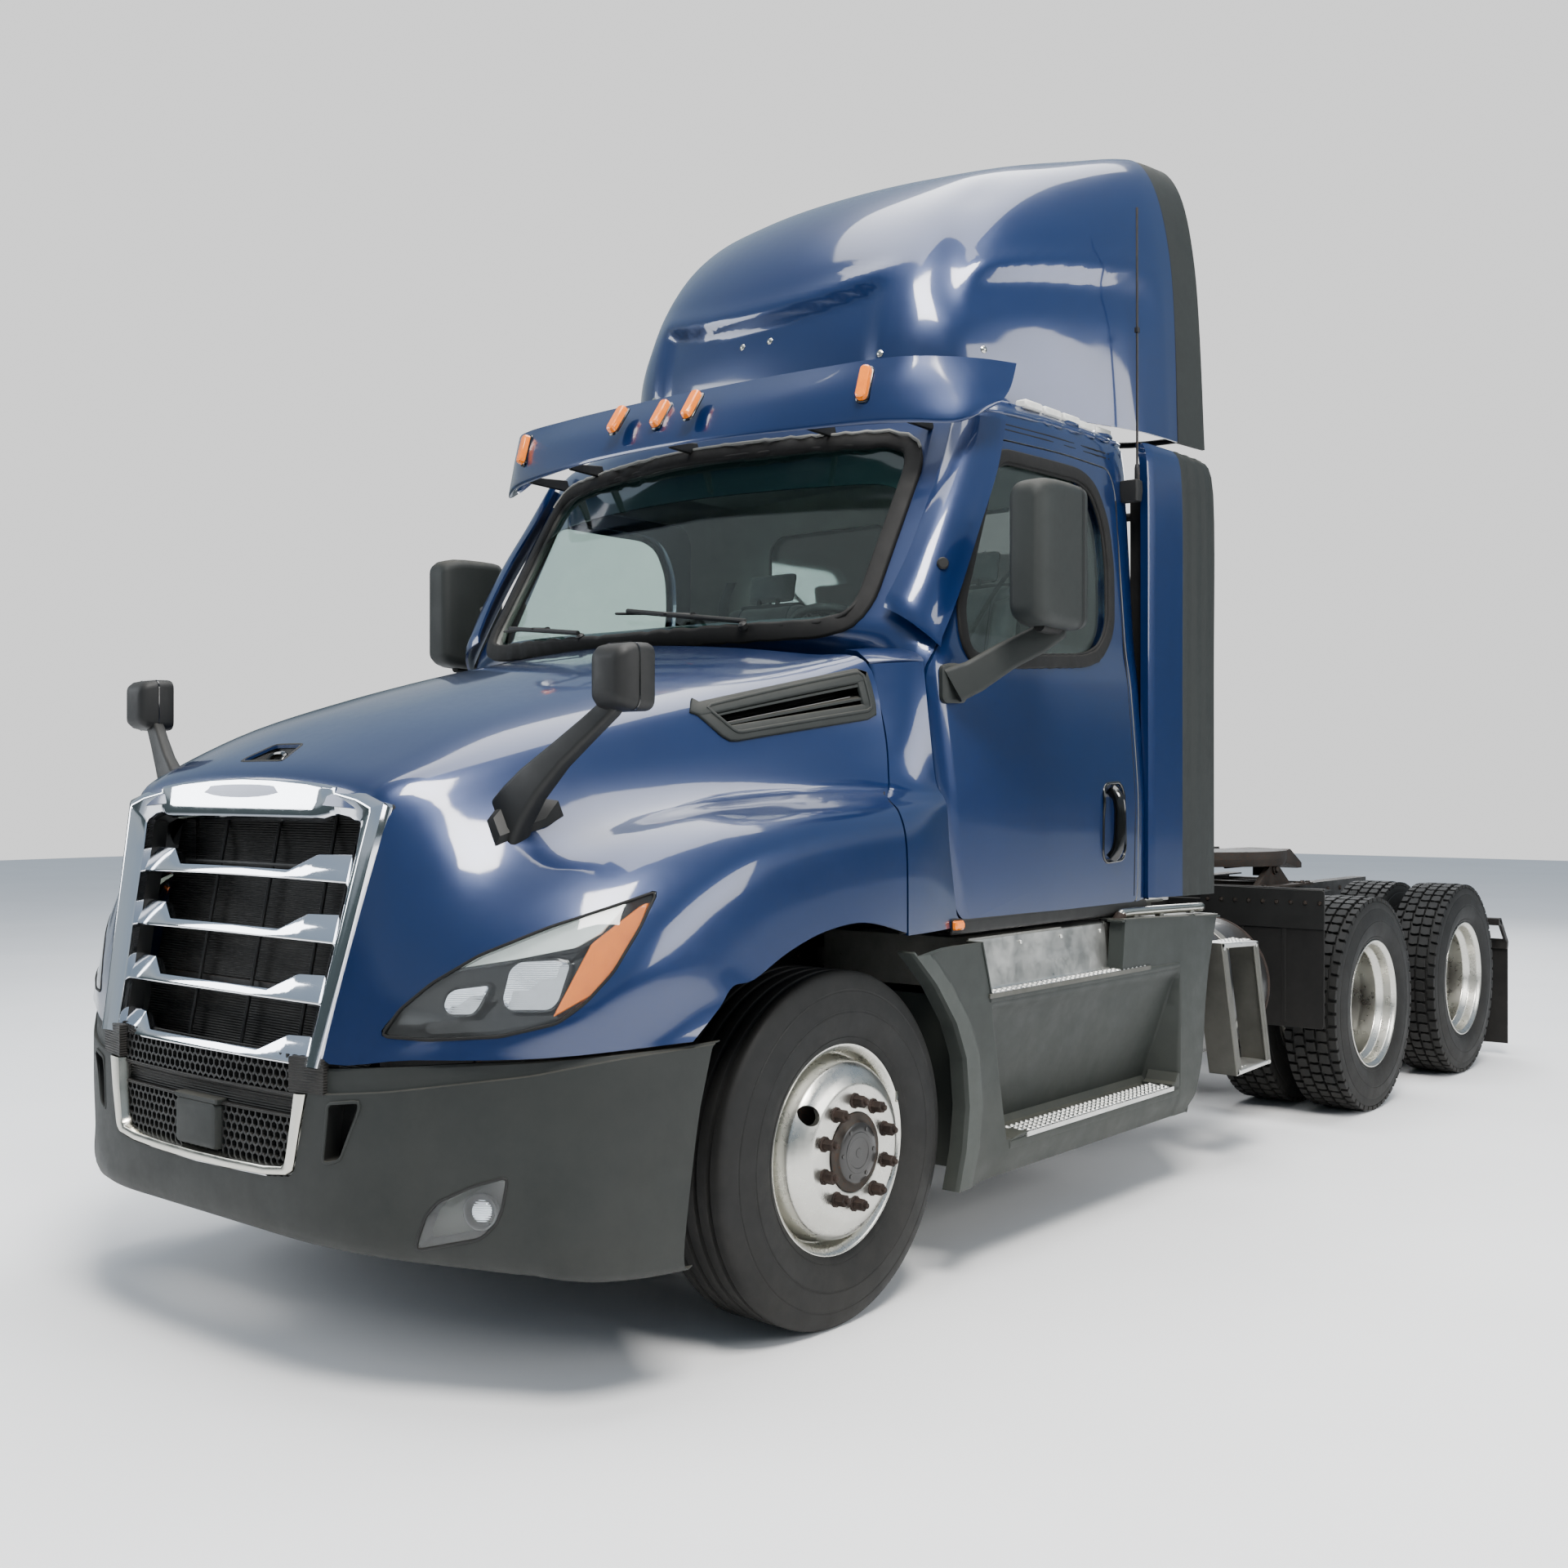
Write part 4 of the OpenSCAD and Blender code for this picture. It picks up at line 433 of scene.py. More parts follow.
M["lens"] = pbr("clear_lens", (238, 242, 244), rough=0.03, vary=0.02, rvary=0.02, bump=0.02, bscale=200, trans=1.0, ior=1.08, spec=0.9, coat=0.8, coat_rough=0.02)
M["amber"] = pbr("amber_lens", (250, 126, 0), rough=0.14, vary=0.08, vscale=30, bump=0.25, bscale=420, bdist=0.001, wave=(120, "X", 0.4, 0.6), coat=0.8, spec=0.6, trans=0.12, emit=((250, 120, 0), 0.18))
M["red"] = pbr("red_lens", (150, 16, 14), rough=0.16, vary=0.08, vscale=30, bump=0.25, bscale=420, bdist=0.001, wave=(120, "X", 0.4, 0.6), coat=0.8, spec=0.6, emit=((150, 10, 10), 0.05))
M["reflector"] = pbr("reflector", (232, 234, 238), rough=0.07, metal=1.0, vary=0.03, vscale=30, bump=0.35, bscale=60, bdist=0.002, wave=(60, "Z", 0.0, 0.7))
M["drl"] = pbr("drl_white", (240, 244, 240), rough=0.2, vary=0.04, vscale=20, bump=0.1, bscale=200, coat=0.6, emit=((225, 240, 225), 0.25))
M["radiator"] = pbr("radiator_fins", (24, 25, 26), rough=0.55, metal=0.4, vary=0.12, vscale=12, bump=0.9, bscale=500, bdist=0.004, wave=(45, "Z", 0.0, 0.8), dust=0.2, dust_top=2.0)
M["seat"] = pbr("seat_fabric", (92, 93, 96), rough=0.92, vary=0.12, vscale=14, bump=0.6, bscale=1500, bdist=0.0012, sheen=0.4, wave=(220, "X", 1.0, 0.4), spec=0.2)
M["seat_side"] = pbr("seat_vinyl", (44, 45, 47), rough=0.62, vary=0.1, vscale=10, bump=0.5, bscale=700, bdist=0.001, spec=0.35)
M["interior"] = pbr("interior_plastic", (56, 56, 57), rough=0.66, vary=0.08, vscale=6, bump=0.45, bscale=1000, bdist=0.0008, spec=0.35, edge=0.15, edge_highlight_and_wear_col=(90, 90, 90))
M["trim_grey"] = pbr("trim_grey", (128, 128, 124), rough=0.75, vary=0.07, vscale=6, bump=0.4, bscale=900, bdist=0.0008, spec=0.3)
M["floor_mat"] = pbr("floor_mat", (30, 30, 31), rough=0.85, vary=0.15, vscale=10, bump=0.5, bscale=300, bdist=0.002, wave=(40, "X", 0.0, 0.6), dust=0.2, dust_top=2.0)
M["hose"] = pbr("hose_black", (22, 22, 23), rough=0.5, vary=0.1, vscale=10, bump=0.4, bscale=200, bdist=0.001, wave=(180, "DIAGONAL", 0.0, 0.5), dust=0.1, dust_top=1.2)
M["hose_red"] = pbr("hose_red", (150, 26, 22), rough=0.42, vary=0.1, vscale=10, bump=0.3, bscale=200, dust=0.2)
M["hose_blue"] = pbr("hose_blue", (28, 66, 150), rough=0.42, vary=0.1, vscale=10, bump=0.3, bscale=200, dust=0.2)
# white also paints the roof rail's boxes, which are painted highlight
M["white"] = pbr("white_highlight_and_nylon", (214, 214, 208), rough=0.5, vary=0.08, vscale=20, bump=0.2, bscale=300, dust=0.3)
M["mirror"] = pbr("mirror_glass", (206, 214, 218), rough=0.02, metal=1.0, vary=0.01, rvary=0.01, bump=0.0)
M["screen"] = pbr("display", (12, 16, 22), rough=0.12, vary=0.1, bump=0.0, coat=1.0)
M["grease"] = pbr("grease", (22, 19, 16), rough=0.55, vary=0.2, vscale=20, bump=0.8, bscale=60, bdist=0.003, spec=0.6)

# ------------------------------------------------------------------ body surfaces
CABP = [C0, C1, C2, C3, C4, C5, C6, C7]
def fillet(P, r, n=4, closed=False):
    P = [np.asarray(p, float) for p in P]; N = len(P); out = []
    for i in range(N):
        if not closed and i in (0, N - 1):
            out += [P[i]]; continue
        a, b, c = P[(i - 1) % N], P[i], P[(i + 1) % N]
        la, lc = np.linalg.norm(a - b), np.linalg.norm(c - b)
        d = min(r, la * 0.48, lc * 0.48)
        p, q = b + (a - b) / max(la, 1e-9) * d, b + (c - b) / max(lc, 1e-9) * d
        for t in np.linspace(0, 1, n): out.append(p * (1 - t) ** 2 + b * 2 * t * (1 - t) + q * t * t)
    return np.array(out)

def cab_ring(i, r=70):
    h = [np.array([x, y, CABZ[i]], float) for x, y in CABP[i]]
    mid = [h[2] * [-1, 1, 1], h[1] * [-1, 1, 1], h[0], h[1], h[2]]
    mid = dense([mid[0] * 2 - mid[1] * 1.0 + (0, 40, 0)] + mid + [mid[4] * 2 - mid[3] + (0, 40, 0)], 4)[4:-4]
    right = h[3:]                       # from x ~1000 round to the rear centre
    left = [p * [-1, 1, 1] for p in right[::-1]][1:]
    rest = right + left
    rf = fillet([mid[-1]] + rest + [mid[0]], r, 5)[1:-1]
    return np.concatenate([mid, rf])
def cab_rows(rv=55):
    rings = np.array([cab_ring(i) for i in range(8)])
    out = []
    cols = [fillet(rings[:, j], rv, 5) for j in range(rings.shape[1])]
    g = np.array(cols).transpose(1, 0, 2)
    ctr = np.array([0, 1400, 0.0]); top = g[-1]; ex = []
    for k, dz in ((0.86, 9), (0.6, 15), (0.3, 19), (0.05, 20)):
        q = ctr + (top - ctr * [1, 1, 0]) * k if False else np.stack([top[:, 0] * k, 1400 + (top[:, 1] - 1400) * k, top[:, 2] + dz], 1)
        ex.append(q)
    # extra rows on the long upright parts keep the surface even
    rows = [g[0]]
    for a, b in zip(g[:-1], g[1:]):
        n = max(1, int(np.abs(b[:, 2] - a[:, 2]).max() / 90))
        for t in np.linspace(0, 1, n + 1)[1:]: rows.append(a * (1 - t) + b * t)
    return np.array(rows + ex)
CABG = cab_rows()
def crown(g):
    """side panels bow out a little between the sill and the roof"""
    g = g.copy(); x, y, z = g[..., 0], g[..., 1], g[..., 2]
    side = smooth(1000, 1060, np.abs(x)) * smooth(520, 640, y) * (1 - smooth(1780, 1850, y))
    bow = 6 * np.sin(np.clip((z - 1090) / 900, 0, 1) * math.pi)
    g[..., 0] = x + np.sign(x) * side * bow
    return g
CABG = crown(CABG)
def ring_closed(g):
    return np.concatenate([g, g[:, :1]], 1)

def cab_object(name, thick):
    g = ring_closed(CABG); m, n, _ = g.shape
    G0 = G(); f = []
    nn = n - 1
    for i in range(m - 1):
        for j in range(nn):
            f.append([i * nn + j, i * nn + (j + 1) % nn, (i + 1) * nn + (j + 1) % nn, (i + 1) * nn + j])
    f.append([(m - 1) * nn + j for j in range(nn)])
    v = V(CABG.reshape(-1, 3)); me = bpy.data.meshes.new(name); me.from_pydata(v.tolist(), [], f)
    bm = bmesh.new(); bm.from_mesh(me); bmesh.ops.recalc_face_normals(bm, faces=bm.faces)
    # point outward
    far = max(bm.faces, key=lambda q: q.calc_center_median().x)
    if far.normal.x < 0: bmesh.ops.reverse_faces(bm, faces=bm.faces)
    bm.to_mesh(me); bm.free()
    o = bpy.data.objects.new(name, me); bpy.context.scene.collection.objects.link(o)
    s = o.modifiers.new("s", "SOLIDIFY"); s.thickness = thick / 1000; s.offset = -1; s.use_even_offset = True
    return evaluated(o)

def prism(pts, t0, t1, plane):
    return lambda g: g.ext(pts, t0, t1, plane, c=0.01)
def grow(pts, d):
    P = np.array(pts, float); A = 0.5 * np.sum(P[:, 0] * np.roll(P[:, 1], -1) - np.roll(P[:, 0], -1) * P[:, 1])
    if A < 0: P = P[::-1]
    e = np.roll(P, -1, 0) - P; e /= np.linalg.norm(e, axis=1, keepdims=True)
    nr = np.stack([e[:, 1], -e[:, 0]], 1); m = nr + np.roll(nr, 1, 0); m /= np.maximum((m * m).sum(1, keepdims=True), 0.3) / 2.0
    return (P + m * d).tolist()
def round2(pts, r, n=5, closed=True):
    return fillet([np.array([p[0], p[1], 0.0]) for p in pts], r, n, closed)[:, :2].tolist()

DOOR_R = round2(DOOR, 70); DOORS_R = round2(grow(DOORS, -0.5), 66); DWIN_R = round2(DWIN, 60)
WIND_R = round2(WINDC, 60); REAR_R = round2(REARW, 60)

class Surf:
    """nearest point and outward normal on a dense grid, asked for by two of its coordinates"""
    def __init__(s, g, axes, keep=None, out=None):
        n = gnorm(g); P = g.reshape(-1, 3); Nn = n.reshape(-1, 3)
        k = np.ones(len(P), bool) if keep is None else keep(P)
        s.P = P[k]; s.N = Nn[k]; s.a = axes
        if out is not None:
            sg = np.sign((s.N * np.asarray(out, float)).sum(1)); sg[sg == 0] = 1; s.N = s.N * sg[:, None]
    def at(s, q, lift=0.0):
        q = np.atleast_2d(np.asarray(q, float)); R = []; NN = []
        for p in q:
            d = (s.P[:, s.a[0]] - p[0]) ** 2 + (s.P[:, s.a[1]] - p[1]) ** 2
            i = np.argpartition(d, 6)[:6]
            # plane fitted through the nearest points, weighted
            w = 1 / (d[i] + 4.0); o = [k for k in range(3) if k not in s.a][0]
            A = np.stack([np.ones(6), s.P[i, s.a[0]] - p[0], s.P[i, s.a[1]] - p[1]], 1)
            sol, *_ = np.linalg.lstsq(A * w[:, None] ** 0.5, s.P[i, o] * w ** 0.5, rcond=None)
            val = sol[0]; lo, hi = s.P[i, o].min() - 6, s.P[i, o].max() + 6; val = min(max(val, lo), hi)
            r = np.zeros(3); r[s.a[0]] = p[0]; r[s.a[1]] = p[1]; r[o] = val
            nv = (s.N[i] * w[:, None]).sum(0); nv /= np.linalg.norm(nv)
            R.append(r + nv * lift); NN.append(nv)
        return np.array(R), np.array(NN)

def densify(g, a, b):
    return dense([dense(r, b) for r in g], a)
_side = np.array([[*p] for p in CABG.reshape(-1, 3)])
CABF = ring_closed(CABG)
def linfill(g, a, b):
    rows = []
    for r0, r1 in zip(g[:-1], g[1:]):
        for t in np.linspace(0, 1, a + 1)[:-1]: rows.append(r0 * (1 - t) + r1 * t)
    rows.append(g[-1]); g = np.array(rows); cols = []
    for j in range(g.shape[1] - 1):
        for t in np.linspace(0, 1, b + 1)[:-1]: cols.append(g[:, j] * (1 - t) + g[:, j + 1] * t)
    cols.append(g[:, -1]); return np.array(cols).transpose(1, 0, 2)
CABD = linfill(CABF, 3, 1)
# long side segments need more points
def side_grid():
    g = CABF; js = [j for j in range(g.shape[1] - 1) if np.abs(g[10, j, 1] - g[10, j + 1, 1]) > 120]
    out = []
    for j in range(g.shape[1] - 1):
        k = 14 if j in js else 1
        for t in np.linspace(0, 1, k + 1)[:-1]: out.append(g[:, j] * (1 - t) + g[:, j + 1] * t)
    out.append(g[:, -1]); return np.array(out).transpose(1, 0, 2)
SG = linfill(side_grid(), 3, 1)
CABS = Surf(SG, (1, 2), keep=lambda P: (P[:, 0] > 850) & (P[:, 2] < 2860), out=(1, 0, 0.01))
CABW = Surf(linfill(CABF, 6, 3), (0, 2), keep=lambda P: (P[:, 1] < 1000) & (P[:, 2] > 1850) & (P[:, 2] < 2860), out=(0, -1, 0.3))

def strip(g, P, N, w, h, closed=False, sm=6):
    """band of width w standing h off a surface, following points P with normals N; ripples along the normal are evened out"""
    P = np.asarray(P, float); N = np.asarray(N, float); n = len(P); A, Q = P.copy(), N.copy()
    for it in range(sm if n > 8 else 0):
        if closed: A = (np.roll(A, 1, 0) + 2 * A + np.roll(A, -1, 0)) / 4; Q = (np.roll(Q, 1, 0) + 2 * Q + np.roll(Q, -1, 0)) / 4
        else: A[1:-1] = (A[:-2] + 2 * A[1:-1] + A[2:]) / 4; Q[1:-1] = (Q[:-2] + 2 * Q[1:-1] + Q[2:]) / 4
    Q /= np.maximum(np.linalg.norm(Q, axis=1, keepdims=True), 1e-9); d = ((A - P) * Q).sum(1, keepdims=True); P = P + Q * np.clip(d, -6, 6); N = Q
    T = (np.roll(P, -1, 0) - np.roll(P, 1, 0)) if closed else np.gradient(P, axis=0)
    T /= np.maximum(np.linalg.norm(T, axis=1, keepdims=True), 1e-9)
    B = np.cross(T, N); B /= np.maximum(np.linalg.norm(B, axis=1, keepdims=True), 1e-9)
    c = min(h * 0.6, w * 0.3)
    pr = [(-w / 2, -2), (-w / 2, h - c), (-w / 2 + c * 0.5, h - c * 0.25), (-w / 2 + c, h), (w / 2 - c, h), (w / 2 - c * 0.5, h - c * 0.25), (w / 2, h - c), (w / 2, -2)]
    rings = [[P[i] + B[i] * a + N[i] * b for a, b in pr] for i in range(n)]
    return g.loft(rings, caps=not closed, closed=closed)

def resample(P, d, closed=False):
    P = np.asarray(P, float)
    if closed: P = np.concatenate([P, P[:1]])
    L = np.concatenate([[0], np.cumsum(np.linalg.norm(np.diff(P, axis=0), axis=1))]); n = max(2, int(L[-1] / d))
    t = np.linspace(0, L[-1], n + 1)
    out = np.stack([np.interp(t, L, P[:, k]) for k in range(P.shape[1])], 1)
    return out[:-1] if closed else out

# ---- cab and doors
door_cut_L = cutter("c1", prism(DOOR_R, 880, 1300, "yz")); door_cut_R = cutter("c2", prism(DOOR_R, -880, -1300, "yz"))
cab = cab_object("cab_body", 34)
boole(cab, door_cut_L); boole(cab, door_cut_R)
boole(cab, cutter("c3", prism(WIND_R, -100, 1130, "xz")))
boole(cab, cutter("c4", prism(REAR_R, 1700, 2000, "xz")))
boole(cab, cutter("c5", prism([[-a, b] for a, b in REAR_R], 1700, 2000, "xz")))
cab.data.materials.clear(); cab.data.materials.append(M["blue"]); cab.data.materials.append(M["trim_grey"])
# inside faces take the trim colour
def inside_mat(o, depth_test, idx=1):
    for p in o.data.polygons:
        c = np.array(p.center) * 1000 + [0, 2400, 0]
        if depth_test(c, np.array(p.normal)): p.material_index = idx
inside_mat(cab, lambda c, n: (np.dot(n * [1, 1, 1], np.array([0, 1200, 1900]) - c) > 0.25 * np.linalg.norm(np.array([0, 1200, 1900]) - c)) and c[2] < 2850 and c[2] > 1100 and abs(c[0]) < 1160 and not (c[2] < 2010 and c[1] < 600 and n[1] < -0.2))
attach(cab, "chassis"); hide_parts("cab")

for side in (1, -1):
    nm = "left" if side > 0 else "right"
    d = cab_object(nm + "_door_skin", 44)
    boole(d, cutter("c", prism(DOORS_R, 940 * side, 1300 * side, "yz")), "INTERSECT")
    boole(d, cutter("c", prism(DWIN_R, 880 * side, 1300 * side, "yz")))
    d.data.materials.clear(); d.data.materials.append(M["blue"]); d.data.materials.append(M["interior"])
    inside_mat(d, lambda c, n: n[0] * side < -0.3)
    # handle pocket
    hp = [(1511 + 0, 1270), (1511, 1500), (1530, 1522), (1630, 1528), (1655, 1500), (1668, 1290), (1650, 1258), (1530, 1252)]
    boole(d, cutter("c", prism(round2(hp, 40), 1128 * side, 1300 * side, "yz")))
    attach(d, nm + "_door"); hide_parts(nm + "_door")

def cowl(side):
    a = np.array([(974, 376, 1890), (1040, 371, 1690), (1088, 327, 1530), (1132, 265, 1480), (1176, 257, 1440), (1204, 255, 1340), (1208, 255, 1084)], float)
    b = np.array([(1090, 498, 1900), (1112, 501, 1690), (1126, 514, 1530), (1138, 540, 1482), (1144, 550, 1440), (1149, 556, 1323), (1149, 600, 1084)], float)
    A = dense(a, 5); B = dense(b, 5); rows = []
    for t in np.linspace(0, 1, 13):
        r = A * (1 - t) + B * t
        nrm = np.array([0.9, -0.3, 0.0]); r = r + nrm * (10 * math.sin(t * math.pi))
        rows.append(r)
    g = np.array(rows)
    # lips turned in along the two seams
    first = g[0] - [26, -4, 0]; last = g[-1] - [26, 0, 0]
    g = np.concatenate([[first], g, [last]])
    q = G(); q.sheet(g, 9.0)
    # top lip up to the windshield corner
    top = dense([(974, 376, 1890), (1030, 430, 1896), (1090, 498, 1900)], 6); up = top + [-120, 40, 45]; mid = (top + up) / 2 + [0, 0, 14]
    q.sheet(np.array([up, mid, top]), 8.0)
    if side < 0: q.flipx()
    return q
for side in (1, -1):
    cowl(side).obj(("left" if side > 0 else "right") + "_cowl_panel", M["blue"], "chassis", 50, "blue_paint")
# black seal between hood and cowl, both sides
q = G(); pts = dense([(950, 356, 1896), (970, 362, 1880), (1034, 360, 1690), (1082, 316, 1530), (1124, 252, 1484), (1168, 244, 1442), (1196, 242, 1340), (1200, 242, 1090)], 5)
nr = np.tile([0.93, -0.2, 0.3], (len(pts), 1)); nr /= np.linalg.norm(nr, axis=1, keepdims=True)
q.tube(pts + [-13, 10, -3], 12, 8, 1); q.mirror(); q.obj("cowl_seals", M["rubber"], "chassis", 60, "black_rubber")

# windshield glass, its rubber and trims
def wind_grid(z0, z1, x1, nx=33, nz=12, lift=0.0):
    rows = []
    for z in np.linspace(z0, z1, nz):
        P, N = CABW.at([(x, z) for x in np.linspace(-x1, x1, nx)], lift); rows.append(P)
    return np.array(rows)
WO = np.array(resample(grow(WIND_R, 12), 10, True), float)[:, :2]  # the pane is built to its outline, with no cut
wx0, wx1 = WO[:, 0].min() + 3, WO[:, 0].max() - 3; cols = []
for x in wx0 + (wx1 - wx0) * (0.5 - 0.5 * np.cos(np.pi * np.linspace(0, 1, 49))):
    A_, B_ = WO, np.roll(WO, -1, 0); hit = (A_[:, 0] - x) * (B_[:, 0] - x) <= 0
    zs = A_[hit, 1] + (x - A_[hit, 0]) / np.where(np.abs(B_[hit, 0] - A_[hit, 0]) < 1e-6, 1e-6, B_[hit, 0] - A_[hit, 0]) * (B_[hit, 1] - A_[hit, 1])
    cols.append(CABW.at([(x, z) for z in np.linspace(zs.min(), max(zs.max(), zs.min() + 4), 19)], -9.0)[0])
wg = np.array(cols).transpose(1, 0, 2)
# one smooth bowed surface through the samples, a little under the cab's skin
terms = lambda g: np.stack([g[..., 0] * 0 + 1, (g[..., 2] - 2340) / 300, ((g[..., 2] - 2340) / 300) ** 2, (g[..., 0] / 800) ** 2, (g[..., 0] / 800) ** 2 * (g[..., 2] - 2340) / 300, (g[..., 0] / 800) ** 4, (g[..., 0] / 800) ** 6], -1)
co = np.linalg.lstsq(terms(wg[2:-2, 3:-3]).reshape(-1, 7), wg[2:-2, 3:-3, 1].reshape(-1), rcond=None)[0]
rs = wg[..., 1] - terms(wg) @ co
for it in range(6):  # what the surface misses, with its bumps smoothed out
    e_ = np.pad(rs, 1, mode="edge"); rs = (e_[1:-1, :-2] + e_[1:-1, 2:] + e_[:-2, 1:-1] + e_[2:, 1:-1]) / 8 + rs / 2
wg[..., 1] = terms(wg) @ co + rs + 3
q = G(); q.sheet(wg, 6.0); w = q.obj("windshield_glass", [M["glass"], M["glass_dark"]], "chassis", 60)
# the top rows and the bottom row of the pane take the darker glass
nf = (wg.shape[0] - 1) * (wg.shape[1] - 1)
for p in w.data.polygons:
    r_ = (p.index % nf) // (wg.shape[1] - 1)
    if p.index < 2 * nf and (r_ >= 14 or r_ < 1): p.material_index = 1
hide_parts("windshield")
q = G(); out = resample(grow(WIND_R, 20), 28, True); P, N = CABW.at(out, 0.0)
strip(q, P + N * 3, N, 62, 13, True); P2, N2 = CABW.at(resample(grow(WIND_R, 2), 28, True), 4.0); strip(q, P2, N2, 14, 8, True)
q.obj("windshield_rubber", M["rubber"], "chassis", 50, "black_rubber")
q = G(); top = [p for p in resample(grow(WIND_R, 44), 24, True) if p[1] > 2560]
top = sorted(top, key=lambda p: p[0]); top = [p for p in top if abs(p[0]) < 880]; P, N = CABW.at(top, 15.0); strip(q, P, N, 10, 6, sm=14); q.obj("windshield_top_trim", M["trim_grey"], "chassis", 50, "chrome")

# rear window rubbers
q = G()
for sg in (1, -1):
    pts = np.array([(sg * a, 1928.0, b) for a, b in resample(grow(REAR_R, 6), 24, True)]); strip(q, pts, np.tile([0, 1.0, 0], (len(pts), 1)), 34, 9, True)
q.obj("rear_window_rubbers", M["rubber"], "chassis", 50, "black_rubber")

# door details, both sides, and the frames of their windows
def door_trim(side):
    body = "left_door" if side > 0 else "right_door"; nm = "left" if side > 0 else "right"
    q = G()
    P, N = CABS.at(resample(grow(DWIN_R, 10), 22, True), 1.0); strip(q, P, N, 44, 9, True)
    P, N = CABS.at(resample(grow(DWIN_R, -12), 22, True), -4.0); strip(q, P, N, 16, 6, True)
    P, N = CABS.at(resample([p for p in DWIN_R if 760 < p[0] < 1560 and p[1] < 2050], 30), -2); 
    if side < 0: q.flipx()
    q.obj(nm + "_door_window_rubber", M["rubber"], body, 50, "black_rubber")
    # two thin grooves above the window and the vertical one behind it
    # the vertical groove behind the window; the two lines above the window are sampled but not drawn
    q = G()
    for y0, z0, y1, z1 in ((1010, 2698, 1690, 2706), (1010, 2680, 1690, 2688)):
        P, N = CABS.at([(y, z) for y, z in zip(np.linspace(y0, y1, 24), np.linspace(z0, z1, 24))], 0.0)
        keep = [i for i in range(len(P)) if P[i][2] < 2662 or True]
    for y in (1744,):
        P, N = CABS.at([(y, z) for z in np.linspace(1120, 2560, 40)], -1.0); strip(q, P, N, 5, 2.4)
    if side < 0: q.flipx()
    q.obj(nm + "_door_seal_line", M["rubber"], body, 50, "black_rubber")
    # pull handle in its oval pocket
    q = G()
    hp = round2([(1508, 1268), (1508, 1502), (1530, 1526), (1632, 1532), (1659, 1502), (1672, 1288), (1652, 1254), (1530, 1248)], 40)
    P, N = CABS.at(resample(hp, 14, True), 0.0); q.use(0); strip(q, P, N, 10, 5, True)
    c = CABS.at([(1590, 1390)])[0][0]
    back = [(c[0] - 36, y, z) for y, z in round2(grow(hp, 4), 20)]
    q.use(1); q.add(back, [list(range(len(back)))[::-1]])
    wall0 = CABS.at([p for p in hp], -1)[0]; wall1 = np.array([(c[0] - 36, y, z) for y, z in [( (p[0] - 1590) * 0.86 + 1590, (p[1] - 1390) * 0.93 + 1390) for p in hp]])
    q.use(1); q.loft([wall0, wall1], caps=False)
    q.use(0); q.tube([(c[0] + 2, 1560, 1262), (c[0] + 24, 1568, 1300), (c[0] + 30, 1574, 1390), (c[0] + 22, 1578, 1470), (c[0] - 12, 1584, 1506)], 17, 10, 6, flat=(0.8, 1.25))
    q.use(2); q.cyl((c[0] - 30, 1612, 1494), (c[0] + 3, 1612, 1494), 14, seg=20)
    if side < 0: q.flipx()
    q.obj(nm + "_door_handle", [M["gloss"], M["blackpl"], M["chrome_dull"]], body, 45, "black_plastic")
for sd in (1, -1): door_trim(sd)

# roof gutters and grooves above the doors
q = G()
for (y0, z0, y1, z1, w, h, mi, lf) in ((950, 2762, 1838, 2782, 16, 9, 0, 0), (1020, 2722, 1712, 2727, 4.5, 1.6, 1, -0.5), (1020, 2704, 1712, 2709, 4.5, 1.6, 1, -0.5)):
    zz = z0 + (z1 - z0) * np.linspace(0, 1, 40); P, N = CABS.at(list(zip(np.linspace(y0, y1, 40), zz)), lf); q.use(mi); strip(q, P, N, w, h)
q.mirror(); q.obj("roof_gutters", [M["blue"], M["rubber"]], "chassis", 50, "blue_paint")

# ---- sun visor
VG = grid(VIS, 6)
q = G(); q.sheet(VG, 9.0); q.obj("sun_visor_shell", M["blue"], "chassis", 40, "blue_paint", ["sun_visor"])
VS = Surf(VG, (0, 2), keep=lambda P: P[:, 2] > 2700, out=(0, -1, 0.2))
q = G()
for x in (0, 178, -178, 811, -811):
    P, N = VS.at([(x, 2806)]); p, n = P[0], N[0]
    up = np.array([0, 0.35, 1.0]); up -= n * (up @ n); up /= np.linalg.norm(up); si = np.cross(n, up)
    def cap(L, W, H, o):
        rings = []
        for t, s_ in ((0, 1.0), (0.55, 0.97), (0.85, 0.86), (1.0, 0.62)):
            ring = []
            for k in range(28):
                a = 2 * math.pi * k / 28; cx, cy = math.cos(a), math.sin(a)
                px_ = (abs(cx) ** 0.7) * math.copysign(1, cx) * W * s_; py = cy * W * s_ + math.copysign(L - W, cy) * (1 if abs(cy) > 1e-6 else 0)
                ring.append(p + si * px_ + up * py + n * (o + H * t))
            rings.append(ring)
        return rings
    q.use(1); q.loft(cap(66, 25, 8, -3)); q.use(0); q.loft(cap(60, 20, 24, 3))
q.obj("roof_marker_lamps", [M["amber"], M["gloss"]], "chassis", 35, "lamp_lens")
# visor brackets and stays
q = G()
for x in (-560, 0, 560, -880, 880):
    xs = abs(x); y0 = 520 + (xs / 880) ** 2 * 120; P, N = CABW.at([(x, 2716)]); b = P[0]
    q.ext([(y0, 2700), (y0 - 20, 2722), (b[1] - 6, 2738), (b[1] + 6, 2706), (b[1] - 4, 2694)], x - 8, x + 8, "yz", 2.5)
q.obj("visor_brackets", M["blackpl"], "chassis", 40, "black_plastic")

